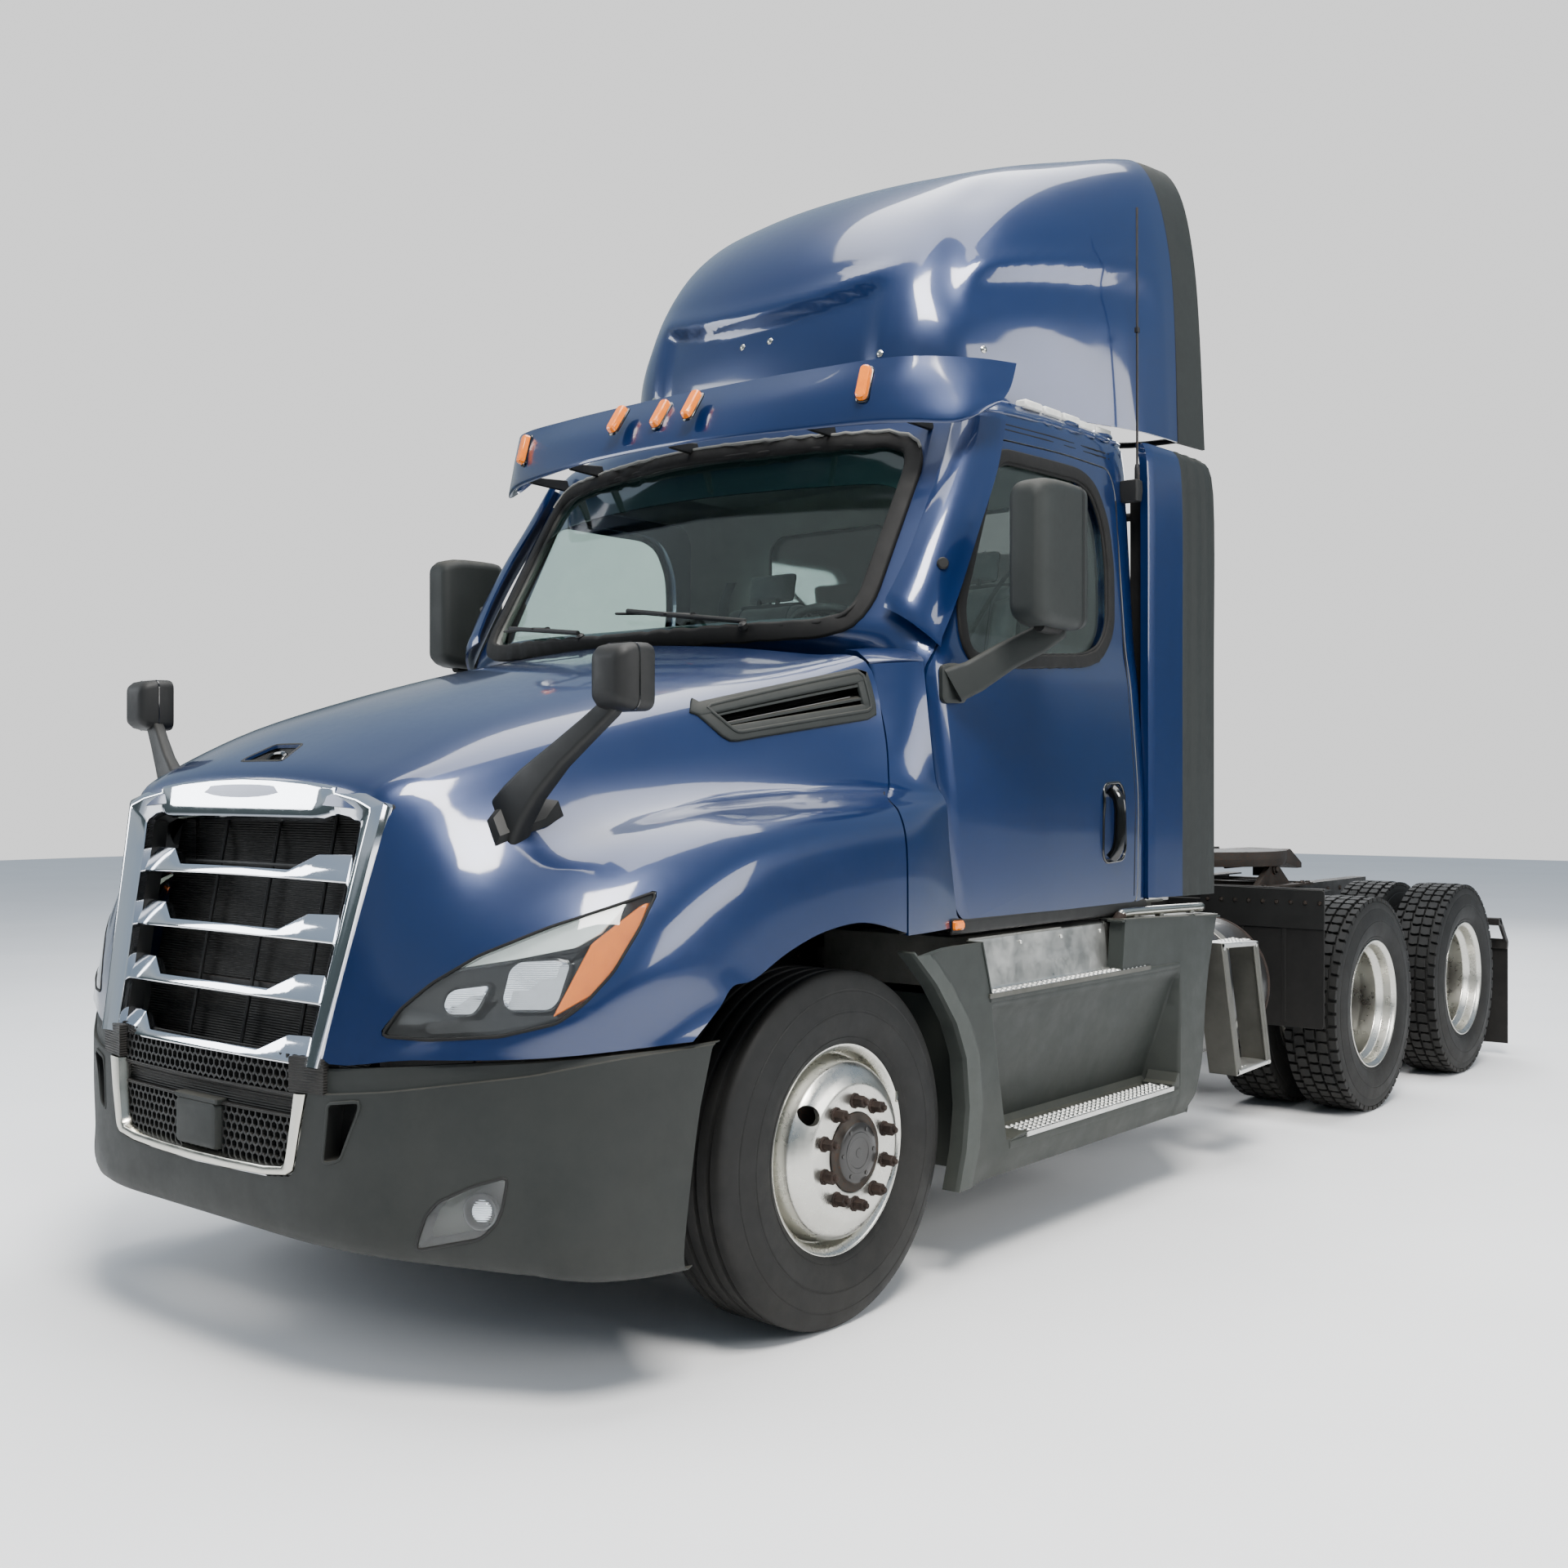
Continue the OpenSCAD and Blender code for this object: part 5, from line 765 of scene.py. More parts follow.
# ---- roof fairing
FG = grid(FAIR, 10)
def fair_shape(g):
    g = g.copy(); n = gnorm(g)
    ref = np.array([0, -1.0, 0.6])
    if (n[16, g.shape[1] // 2] @ ref) < 0: n = -n
    x, y, z = g[..., 0], g[..., 1], g[..., 2]; ax = np.abs(x)
    # front panel set back below a ledge
    zl = 3246 + 52 * (ax / 480) ** 2
    inn = (1 - smooth(465, 560, ax)) * smooth(zl + 10, zl - 14, z) * smooth(2905, 2960, z) if False else (1 - smooth(470, 560, ax)) * (1 - smooth(zl - 14, zl + 10, z)) * (y < 1400)
    d = -26 * inn + 9 * (1 - smooth(500, 620, ax)) * np.exp(-((z - zl - 34) / 40.0) ** 2) * (y < 1400)
    # long flowing hollow along each side with its raised upper edge
    s_ = np.clip((y - 1240) / 620, 0, 1); zc = 3338 + 90 * np.sqrt(s_) + 18 * s_
    side = (ax > 740) * smooth(1200, 1300, y) * (1 - smooth(1900, 2080, y))
    d = d + side * (11 * np.exp(-((z - zc) / 38.0) ** 2) - 12 * np.exp(-((z - zc + 88) / 72.0) ** 2))
    # hollow that sweeps up from the front corner over the shoulder
    t = np.clip((z - 3250) / 500, 0, 1); yc = 1160 + 300 * t ** 1.4
    d = d - 15 * smooth(560, 700, ax) * np.exp(-((y - yc) / 62.0) ** 2) * smooth(3100, 3330, z) * (1 - smooth(3640, 3820, z))
    return g + n * d[..., None]
FG2 = fair_shape(FG)
k7 = 7 * 10
q = G(); q.sheet(FG2[:k7 + 1], 8.0); q.obj("roof_fairing_shell", M["blue"], "chassis", 50, "blue_paint", ["roof_fairing"])
tr = FG[k7:].copy(); nn = gnorm(tr); sg = 1 if (nn[0, tr.shape[1] - 4] @ np.array([1, 0, 0])) > 0 else -1
tr2 = tr - nn * sg * 3.0
q = G(); q.sheet(tr2, 12.0); q.obj("roof_fairing_trim", M["charcoal"], "chassis", 50, "charcoal_plastic")
# dark joint between shell and trim, screws, stays inside
q = G(); row = FG2[k7]; nrm_ = gnorm(FG2)[k7] * (1 if (gnorm(FG2)[k7, -4] @ np.array([1, 0, 0])) > 0 else -1)
strip(q, row + [0, 2, 0], nrm_, 6, 1.5)
FS = Surf(FG2[:k7], (0, 2), keep=lambda P: (P[:, 1] < 1500), out=(0.3, -1, 0.2))
q.use(1)
for x, z in ((552, 3037), (-552, 3037), (823, 3056), (-823, 3056), (-67, 3160), (67, 3160)):
    P, N = FS.at([(abs(x), z)]); p, n = P[0], N[0]
    if x < 0: p = p * [-1, 1, 1]; n = n * [-1, 1, 1]
    q.rev([(0, 0), (13, 0), (13, 2), (9, 5), (4, 7), (0, 7.4)], p - n * 1, n, 14)
q.use(2)
for sg in (1, -1):
    q.tube([(sg * 716, 1720, 2862), (sg * 900, 2000, 3150), (sg * 1078, 2244, 3452)], 16, 10, 4)
    q.tube([(sg * 700, 2150, 2868), (sg * 760, 2200, 3400), (sg * 800, 2240, 3940)], 14, 10, 4)
    q.tube([(sg * 700, 2150, 2880), (sg * 900, 2210, 2862), (sg * 1120, 2230, 2860)], 12, 8, 4)
q.tube([(-800, 2240, 3936), (0, 2240, 3966), (800, 2240, 3936)], 14, 10, 6)
q.tube([(-760, 2200, 3400), (0, 2200, 3400), (760, 2200, 3400)], 12, 10, 2)
q.obj("roof_fairing_hardware", [M["rubber"], M["chrome_dull"], M["frame"]], "chassis", 45, "frame_black")

# roof rail, both sides, with white boxes along it: painted highlight standing in for bright glints on the rail
q = G()
for k in range(5):
    y = 1180 + k * 132
    P, N = CABS.at([(y, 2790), (y + 112, 2792)], 5)
    a, b = P[0] + [-34, 0, 26], P[1] + [-34, 0, 26]
    q.use(0); q.box(a - [14, 0, 12], b + [14, 0, 16], 6)
q.use(1)
P, N = CABS.at([(y, 2788) for y in np.linspace(1120, 1850, 24)], 2); q.tube(P + [-30, 0, 14], 13, 8, 1)
q.mirror(); q.obj("roof_rails", [M["white"], M["blue"]], "chassis", 40, "blue_paint")

# ---- A pillar deflectors
q = G()
L0 = dense([(962, 470, 2075), (985, 560, 2225), (985, 668, 2400), (972, 775, 2560), (952, 868, 2722)], 5)
R0 = dense([(1108, 553, 1952), (1118, 640, 2105), (1112, 770, 2330), (1094, 905, 2540), (1060, 1010, 2722)], 5)
rows = []
for t in np.linspace(0, 1, 11):
    r = L0 * (1 - t) + R0 * t; bulge = 34 * math.sin(math.pi * min(1, t * 1.05) ** 0.8) + 8
    rows.append(r + np.array([0.62, -0.72, 0.12]) * bulge)
g = np.array(rows)
g[:, 0] += [0, 10, -6]
q.sheet(g, 10.0); q.mirror(); q.obj("pillar_deflectors", M["blue"], "chassis", 50, "blue_paint")
q = G()
for (p, n) in (((1086, 604, 2208), (0.75, -0.65, 0.1)),):
    q.rev([(0, 0), (19, 0), (19, 3), (15, 7), (15, 9), (0, 9)], np.array(p) + np.array(n) * 14, n, 24)
q.mirror(); q.obj("pillar_plugs", M["blackpl"], "chassis", 40, "black_plastic")

# ---- side extenders: painted part and rubber edge
def ext_rows():
    fr = dense([(1152, 1852, 1108), (1152, 1852, 1900), (1150, 1852, 2640), (1128, 1856, 2780)], 5)
    re = dense([(1200, 2286, 1104), (1200, 2286, 1900), (1199, 2284, 2640), (1172, 2228, 2762)], 5)
    return fr, re
fr, re_ = ext_rows()
def band(t0, t1, n, out=0.0):
    rows = []
    for t in np.linspace(t0, t1, n):
        r = fr * (1 - t) + re_ * t; rows.append(r + [6 * math.sin(math.pi * t) + out, 0, 0])
    return np.array(rows)
q = G(); g = band(0, 0.47, 12); g = np.concatenate([[g[0] - [28, -6, 0]], g]); q.sheet(g, 9); q.mirror(); q.obj("side_extender_panels", M["blue"], "chassis", 50, "blue_paint", ["side_extenders"])
q = G(); g = band(0.47, 1.0, 14, -3); s_ = 3 * np.sin(np.linspace(0, 1, 14) * 6 * math.pi); g[..., 0] += s_[:, None] * 0.8
q.sheet(g, 12); q.mirror(); q.obj("side_extender_rubbers", M["charcoal"], "chassis", 50, "charcoal_plastic")
q = G()
for z in (1250, 1900, 2500):
    q.tube([(960, 1932, z + 30), (1060, 1950, z + 30), (1150, 1990, z + 30)], 16, 10, 4); q.box((940, 1925, z), (1000, 1933, z + 60), 2)
    q.box((1120, 1960, z - 20), (1142, 2010, z + 80), 3); q.bolt((962, 1932, z + 12), (0, 1, 0), 7, 6); q.bolt((962, 1932, z + 48), (0, 1, 0), 7, 6)
q.mirror(); q.obj("side_extender_brackets", M["frame"], "chassis", 45, "frame_black")

# ---- hood
HG = grid(HOOD, 5)
def hood_shape(g):
    g = g.copy(); x, y, z = g[..., 0], g[..., 1], g[..., 2]; n = gnorm(g)
    if (n[18, g.shape[1] // 2] @ np.array([0, 0, 1])) < 0: n = -n
    ax = np.abs(x)
    cut = (ax < 96) * 0
    # zero offset everywhere, so the shell comes back unchanged
    d = 0.0 * ax
    return g + n * d[..., None]
HG2 = hood_shape(HG)
q = G(); q.sheet(HG2, 7.0); hood = q.obj("hood_shell", [M["blue"], M["blackpl"]], "hood", 50, "blue_paint", ["hood"])
LP = dense([np.array([a, b, 0.0]) for a, b in LAMP], 4, True)[:, :2]
lang = math.atan2(346, 528)
def lamp_pt(u, z, d):
    """point of the headlamp's own frame: u along the lamp, z up, d depth into the fender"""
    c, s_ = math.cos(lang), math.sin(lang); return np.array([672 + u * c - d * s_, -1180 + u * s_ + d * c, z])
def lamp_prism_(sc, side, d0=-200, d1=160):
    def b(g):
        ring = lambda d: [lamp_pt(310 + (u - 310) * sc, 1060 + (z - 1060) * sc, d) * [side, 1, 1] for u, z in LP]
        g.loft([ring(d0), ring(d1)])
    return b
for side in (1, -1): boole(hood, cutter("c", lamp_prism_(1.0, side)))
# louvre openings and nose pocket
HS = Surf(linfill(HG2, 2, 2), (1, 2), keep=lambda P: (P[:, 0] > 600) & (P[:, 2] > 1180), out=(1, 0, 0.5))
HT = Surf(linfill(HG2, 2, 2), (0, 1), keep=lambda P: (P[:, 2] > 1480) & (np.abs(P[:, 0]) < 800), out=(0, 0, 1))
LV = [(-262, 1748), (352, 1882), (352, 1722), (-160, 1638)]
LVi = [(-196, 1738), (330, 1858), (330, 1746), (-128, 1668)]
for side in (1, -1): boole(hood, cutter("c", prism(round2(LVi, 14), 760 * side, 1300 * side, "yz")))
boole(hood, cutter("c", prism(round2([(-96, -1092), (96, -1092), (60, -1012), (-60, -1012)], 14), 1480, 1750, "xy")))
bm = bmesh.new(); bm.from_mesh(hood.data); bmesh.ops.dissolve_degenerate(bm, dist=1e-6, edges=bm.edges); bm.to_mesh(hood.data); bm.free()
def fix_normals(o):
    o.data.polygons.foreach_set("use_smooth", [True] * len(o.data.polygons)); o.data.set_sharp_from_angle(angle=math.radians(34))
fix_normals(hood)
for p in hood.data.polygons:
    c = p.center; 
    if p.normal[2] < -0.35 or (abs(c[0]) < 1.1 and p.normal[1] > 0.6): p.material_index = 1
q = G()
pk = round2([(-104, -1096), (104, -1096), (66, -1006), (-66, -1006)], 14); P, N = HT.at(pk, -1.0)
low = np.array([(a * 0.86, -1050 + (b + 1050) * 0.8, 0) for a, b in pk]); low[:, 2] = 1566 - (low[:, 1] + 1050) * -0.15
q.use(0); q.loft([P, low], caps=False); q.add(low, [list(range(len(low)))])
q.use(1); q.tube([(-34, -1062, 1578), (-30, -1040, 1600), (0, -1034, 1606), (30, -1040, 1600), (34, -1062, 1578)], 8, 8, 5)
q.use(0); strip(q, HT.at(resample(pk, 12, True), -1)[0], HT.at(resample(pk, 12, True), -1)[1], 8, 3, True)
q.obj("hood_pocket", [M["blackpl"], M["gloss"]], "hood", 45, "black_plastic")
# louvre: grey frame, dark back and two blades
q = G()
for (outl, w, h, mi) in ((grow(round2(LV, 26), -24), 50, 9, 0), (grow(round2(LVi, 14), 2), 12, 13, 0)):
    P, N = HS.at(resample(outl, 16, True), 0.0); q.use(mi); strip(q, P, N, w, h, True)
def lv(a, b):   # a along, b from lower edge to upper edge
    p = lerp(lerp(LVi[3], LVi[2], a), lerp(LVi[0], LVi[1], a), b); return p
rows = [[HS.at([lv(a, b)], -58)[0][0] for a in np.linspace(-0.05, 1.04, 14)] for b in np.linspace(-0.15, 1.15, 5)]
q.use(1); q.sheet(np.array(rows), 3)
for b0 in (0.30, 0.66):
    for mi, dz, dep, th in ((0, 0.0, 2, 0.06), (1, 0.16, -26, 0.05)):
        r1 = np.array([HS.at([lv(a, b0 + dz)], dep + 2)[0][0] for a in np.linspace(-0.02, 1.02, 20)])
        r2 = np.array([HS.at([lv(a, b0 + dz + th)], dep + 3)[0][0] for a in np.linspace(-0.02, 1.02, 20)])
        r3 = np.array([HS.at([lv(a, b0 + dz + 0.24)], dep - 34)[0][0] for a in np.linspace(-0.02, 1.02, 20)])
        q.use(mi); q.sheet(np.array([r1, r2, r3]), 4)
q.mirror(); q.obj("hood_louvres", [M["charcoal"], M["gloss"]], "hood", 40, "charcoal_plastic")

# ------------------------------------------------------------------ bumper
def bump_cols(k=6):
    a = dense([np.array([x, y, t, b], float) for (x, y), t, b in zip(BX, BT, BB)], k); a[:, 0] = np.clip(a[:, 0], 0, 1210); return a
def slant(x, t): return (t ** 0.6) * 126 * np.clip((x - 1010) / 200.0, 0, 1) ** 1.0
def zband(x): return np.interp(x, [0, 520, 700, 1018, 1148, 1206], [756, 760, 778, 828, 861, 872])
BC = bump_cols()
def bump_grid():
    rows = []
    bt0 = lambda x: float(np.interp(x, BC[:, 0], BC[:, 2]))
    def row(t=None, z=None, dy=0.0):
        r = []
        for x, y, zt, zb in BC:
            tt = t if t is not None else (zt - z(x)) / (zt - zb)
            zz = zt + (zb - zt) * tt
            back = 7 * (1 - smooth(380, 640, x))
            r.append([x * (1 - dy * 0.0004), y + dy + back - slant(x, max(tt, 0)), zz])
        return full(np.array(r))
    for t, dy in ((1.0, 80), (1.0, 52), (0.985, 30), (0.955, 14), (0.91, 5), (0.85, 0)): rows.append(row(t=t, dy=dy))
    for t in np.linspace(0.78, 0.28, 9): rows.append(row(t=t))
    rows.append(row(z=lambda x: min(zband(x) - 12, bt0(x) - 14))); rows.append(row(z=lambda x: min(zband(x) - 1.5, bt0(x) - 6.5), dy=0.6)); rows.append(row(z=lambda x: min(zband(x) + 0.8, bt0(x) - 5), dy=3)); rows.append(row(z=lambda x: min(zband(x) + 1.6, bt0(x) - 4.4), dy=8)); rows.append(row(z=lambda x: min(zband(x) + 6, 872), dy=9.5))
    bt = lambda x: float(np.interp(x, BC[:, 0], BC[:, 2])); zf = lambda k: (lambda x: (min(zband(x) + 6, bt(x) - 3.5)) * (1 - k) + bt(x) * k)
    rows[-1] = row(z=zf(0.0), dy=9.5); rows.append(row(z=zf(0.4), dy=9.5)); rows.append(row(z=zf(0.85), dy=10)); rows.append(row(t=0.0, dy=14)); rows.append(row(t=0.0, dy=30))
    g = np.array(rows)
    # soft scoop round each fog lamp
    x, z = np.abs(g[..., 0]), g[..., 2]; d = 9 * np.exp(-(((x - 850) / 150.0) ** 2 + ((z - 500) / 90.0) ** 2))
    g[..., 1] += d * 0.8; g[..., 0] -= np.sign(g[..., 0]) * d * 0.5
    return g
BG = bump_grid()
q = G(); q.sheet(BG, 3.0)
bumper = q.obj("bumper_shell", [M["charcoal"], M["blackpl"]], "chassis", 40, "charcoal_plastic", ["bumper"])
OPENB = [(-528, 930), (-522, 766), (-476, 758), (-430, 562), (-412, 545), (-322, 534), (0, 527), (322, 534), (412, 545), (430, 562), (476, 758), (522, 766), (528, 930)]
FOG = [(769, 403), (791, 485), (818, 519), (896, 560), (969, 586), (955, 509), (942, 473), (910, 439)]
SLOT = [(545, 738), (637, 750), (577, 606), (528, 594)]
boole(bumper, cutter("c", prism(OPENB, -1500, -1150, "xz")))
for sg in (1, -1):
    boole(bumper, cutter("c", prism([(sg * a, b) for a, b in round2(FOG, 12)], -1400, -900, "xz")))
    boole(bumper, cutter("c", prism([(sg * a, b) for a, b in round2(SLOT, 12)], -1400, -1100, "xz")))
BS = Surf(BG, (0, 2), keep=lambda P: (P[:, 1] < -560) & (P[:, 0] > -20), out=(0.3, -1, 0))
# rims and pockets of the two slots and the fog lamps
q = G()
so = [(512, 838 - 76), (522, 762), (655, 762), (592, 590), (510, 580)]
P, N = BS.at(resample(grow(round2(SLOT, 12), 3), 10, True), -1); q.use(0); strip(q, P, N, 8, 3, True)
# the gloss black plate closing the back of each slot pocket is painted shade, standing in for the dark inside of the
# open slot
P, N = BS.at(round2(SLOT, 12), -1); back = P + np.array([-14, 55, 0]); q.use(1); q.loft([P, back], caps=False); q.use(3); q.add(back, [list(range(len(back)))]); 
P, N = BS.at(resample(grow(round2(FOG, 12), 2), 10, True), 0); q.use(1); strip(q, P, N, 7, 3, True)
P, N = BS.at(resample(round2(FOG, 12), 12, True), -1.0); b2 = P * 0.0; ctr = P.mean(0)
b2 = ctr + (P - ctr) * 0.86 + np.array([-34, 52, 0]); q.use(2); q.loft([P, ctr + (P - ctr) * 0.97 + np.array([-14, 22, 0]), b2], caps=False); q.add(b2, [list(range(len(b2)))])
pc = BS.at([(905, 497)], -30)[0][0]; n_ = BS.at([(905, 497)])[1][0]
q.use(3); q.rev([(30, -14), (44, 0), (46, 14), (43, 19), (38, 20)], pc, n_, 32); q.use(4); q.rev([(0, 20), (16, 19), (30, 12), (37, 2), (38, -8)], pc, n_, 32)
q.mirror(); q.obj("bumper_details", [M["charcoal"], M["blackpl"], M["alu_grey"], M["gloss"], M["reflector"]], "chassis", 40, "black_plastic")
q = G(); P, N = BS.at(round2(grow(FOG, -2), 12), -1.5); c0 = P.mean(0); q.loft([P, c0 + (P - c0) * 0.6 + N * 3.5, c0 + (P - c0) * 0.1 + N * 4.5], caps=True); q.mirror(); q.obj("fog_lamp_lenses", M["lens"], "chassis", 50, "lamp_lens")
# chrome U round the lower opening
U_ = [((472, 756), (414, 752)), ((452, 670), (404, 668)), ((431, 580), (391, 596)), ((424, 562), (386, 580)), ((408, 549), (372, 571)), ((320, 538), (312, 566)), ((160, 532), (158, 563)), ((0, 530), (0, 562))]
U_ = U_ + [((-a, b), (-c, d)) for (a, b), (c, d) in U_[-2::-1]]
rings = []
for (a, b), (c, d) in U_:
    y0 = np.interp(abs(a), [0, 240, 460, 680], [-1299, -1297, -1283, -1220]); 
    o, i = np.array([a, b]), np.array([c, d]); f = lambda t, y: [o[0] + (i[0] - o[0]) * t, y, o[1] + (i[1] - o[1]) * t]
    rings.append([f(0, y0 + 26), f(0, y0 + 5), f(0.08, y0 + 1), f(0.2, y0), f(0.62, y0 + 1), f(0.78, y0 + 3), f(1.0, y0 + 22), f(1.0, y0 + 36)])
q = G(); q.loft(rings); q.obj("lower_bezel", M["chrome_dull"], "chassis", 40, "chrome", ["lower_grille"])
# lower grille mesh, its slot, sensor cover and the dark liner behind
q = G(); q.use(0)
def hexmesh(q, poly, y0, R=15.0, wdt=6.0, dep=16.0):
    import itertools
    P2 = np.array(poly); x0, z0 = P2.min(0); x1, z1 = P2.max(0)
    def inside(x, z):
        c = False; j = len(P2) - 1
        for i in range(len(P2)):
            if (P2[i, 1] > z) != (P2[j, 1] > z) and x < (P2[j, 0] - P2[i, 0]) * (z - P2[i, 1]) / (P2[j, 1] - P2[i, 1]) + P2[i, 0]: c = not c
            j = i
        return c
    seen = set(); dx = R * math.sqrt(3); nz = int((z1 - z0) / (1.5 * R)) + 2
    for r in range(-1, nz):
        for cidx in range(-1, int((x1 - x0) / dx) + 2):
            cx = x0 + (cidx + 0.5 * (r % 2)) * dx; cz = z0 + r * 1.5 * R
            vs = [(cx + R * math.cos(math.radians(a)), cz + R * math.sin(math.radians(a))) for a in range(30, 390, 60)]
            for a, b in zip(vs, vs[1:] + vs[:1]):
                m = ((a[0] + b[0]) / 2, (a[1] + b[1]) / 2); key = (round(m[0]), round(m[1]))
                if key in seen or not inside(*m): continue
                seen.add(key); d = np.array([b[0] - a[0], b[1] - a[1]]); d /= np.linalg.norm(d); n2 = np.array([-d[1], d[0]]) * wdt / 2
                yy = y0(m[0]); F = [np.array([p[0] + s * n2[0], yy + t, p[1] + s * n2[1]]) for p in (a, b) for s, t in ((-1, 0), (1, 0), (1, dep), (-1, dep))]
                mid = [(F[i] + F[i + 4]) / 2 for i in range(4)]
                tw = (F[0] + F[1]) / 2; q.add(F, [[0, 1, 5, 4], [1, 2, 6, 5], [3, 0, 4, 7], [2, 3, 7, 6]])
ym = lambda x: -1276 + 20 * (abs(x) / 460.0) ** 2
hexmesh(q, [(-425, 748), (-470, 842), (470, 842), (425, 748)], ym)
hexmesh(q, [(-402, 690), (-380, 580), (-360, 568), (360, 568), (380, 580), (402, 690)], ym)
q.use(1)
rows = [[(x, ym(x) + 15, z) for x in np.linspace(-478, 478, 25)] for z in (545, 600, 700, 800, 850)]; q.sheet(np.array(rows), 3)
for z0, z1, dd in ((742, 750, -2), (686, 694, -2)):
    rows = [[(x, ym(x) + dd + o, z) for x in np.linspace(-426, 426, 25)] for o, z in ((0, z0), (0, z1))]; q.sheet(np.array(rows), 12)
for sg in (1, -1): q.ext([(sg * 412, -1282), (sg * 530, -1262), (sg * 530, -1246), (sg * 412, -1258)], 757, 846, "xy", 2)
q.use(2); 
def rr(cx, cz, w, h, r, y):
    out = []
    for k in range(32):
        a = 2 * math.pi * k / 32; out.append((cx + math.copysign(max(0, w - r), math.cos(a)) + r * math.cos(a), y, cz + math.copysign(max(0, h - r), math.sin(a)) + r * math.sin(a)))
    return out
q.loft([rr(0, 628, 98, 62, 14, -1262), rr(0, 628, 98, 62, 14, -1284), rr(0, 628, 94, 58, 14, -1292), rr(0, 628, 84, 48, 12, -1295)])
q.loft([rr(0, 694, 104, 8, 7, -1262), rr(0, 694, 104, 8, 7, -1290), rr(0, 694, 100, 5, 5, -1294)])
q.obj("lower_mesh", [M["blackpl"], M["radiator"], M["charcoal"]], "chassis", 40, "black_plastic")

# ------------------------------------------------------------------ upper grille
ga = math.radians(78.5); GV = np.array([0, math.cos(ga), math.sin(ga)]); GW = np.array([0, -math.sin(ga), math.cos(ga)]); GO = np.array([0, -1284, 836.0])
def gp(u, v, w): 
    p = GO + GV * v + GW * w + np.array([u, 0, 0]); p[1] = max(p[1], -1299.5); return p
FR = [((519, -8), (457, -8)), ((540, 150), (470, 150)), ((564, 320), (488, 320)), ((590, 510), (504, 520)), ((609, 648), (514, 592)), ((606, 656), (508, 603)), ((532, 678), (468, 618)), ((424, 697), (412, 626)), ((300, 712), (300, 640)), ((150, 722), (150, 640)), ((0, 726), (0, 640))]
FR = FR + [((-a, b), (-c, d)) for (a, b), (c, d) in FR[-2::-1]]
rings = []
for (a, b), (c, d) in FR:
    o, i = np.array([a, b], float), np.array([c, d], float); L = lambda t, w: gp(*(o + (i - o) * t), w)
    rings.append([L(0, -46), L(-0.01, -16), L(0.0, -12), L(0.05, -8), L(0.28, 1), L(0.31, 1.6), L(0.36, 1), L(0.80, -11), L(0.97, -19), L(1.0, -23), L(1.0, -46)])
q = G(); q.loft(rings)
# centre bar with its lower lip, set on the frame
rings = []
for u in np.unique(np.concatenate([np.linspace(-400, 400, 33), [-418, -409, 409, 418]])):
    k = 1 - smooth(352, 418, abs(u)); bow = 5 * (1 - (u / 420) ** 2); vt = float(np.interp(abs(u), [0, 150, 300, 424], [723, 719, 709, 694])); vl = 606 + 16 * (1 - k)
    rings.append([gp(u, vt, -20), gp(u, vt, -2 + 2 * k), gp(u, vt - 5, 2 + 4 * k), gp(u, vt - 12, 3 + 6 * k + bow * 0.5), gp(u, 650, -3 + 10 * k + bow), gp(u, vl + 14, -6 + 14 * k + bow), gp(u, vl + 5, -8 + 13 * k + bow), gp(u, vl, -12 + 8 * k + bow), gp(u, vl - 1, -26), gp(u, vl + 10, -34)])
q.loft(rings)
for i4, v0 in enumerate((0, 154, 308, 462)):
    Wd = 458 + (514 - 458) * (v0 + 30) / 640.0 + 6; us = np.unique(np.concatenate([np.linspace(-Wd, Wd, 41), [-350, -342, -268, -260, 260, 268, 342, 350]]))
    rings = []
    for u in us:
        k = np.clip((abs(u) - 264) / 82.0, 0, 1); h = 24 + 46 * k + 6 * np.clip((abs(u) - 346) / 120.0, 0, 1)
        wf = 13 - 50 * (abs(u) / Wd) ** 2; b_ = wf - 5 - (h - 24) * 0.30
        rings.append([gp(u, v0 - 9, wf - 44), gp(u, v0 - 11, wf - 8), gp(u, v0 - 10, wf - 2), gp(u, v0 - 7, wf), gp(u, v0 - 2, wf), gp(u, v0 + h - 14, b_ + 1), gp(u, v0 + h - 11, b_ - 1), gp(u, v0 + h - 10, b_ - 6), gp(u, v0 + h - 12, b_ - 22), gp(u, v0 + 2, wf - 44)])
    q.loft(rings)
q.obj("grille_surround", M["chrome"], "hood", 28, "chrome", ["grille"])
# radiator face and its frame behind the bars
q = G(); q.use(0)
rows = [[gp(u, v, -150) for u in np.linspace(-540, 540, 9)] for v in np.linspace(-6, 640, 9)]; q.sheet(np.array(rows), 4)
q.use(1)
for u in (-260, 0, 260): q.tube([gp(u, 4, -128), gp(u, 300, -128), gp(u, 636, -128)], 6, 6, 2)
for v in (150, 320, 500):
    a, b = gp(-500, v, -120), gp(500, v, -120); q.tube([a, (a + b) / 2, b], 5, 6, 1)
q.obj("radiator_face", [M["radiator"], M["blackpl"]], "chassis", 30, "radiator_black")
# dark liner between the chrome frame and the hood edge
q = G(); ring = [gp(a, b, -40) for (a, b), _ in FR]; ring2 = [gp(a * 1.02, b * 1.005 + 2, -70) for (a, b), _ in FR]; inn = [gp(c, d, -90) for _, (c, d) in FR]
q.sheet(np.array([ring2, ring, [gp(c * 1.01, d, -46) for _, (c, d) in FR], inn]), 3); q.obj("grille_liner", M["blackpl"], "hood", 40, "black_plastic")

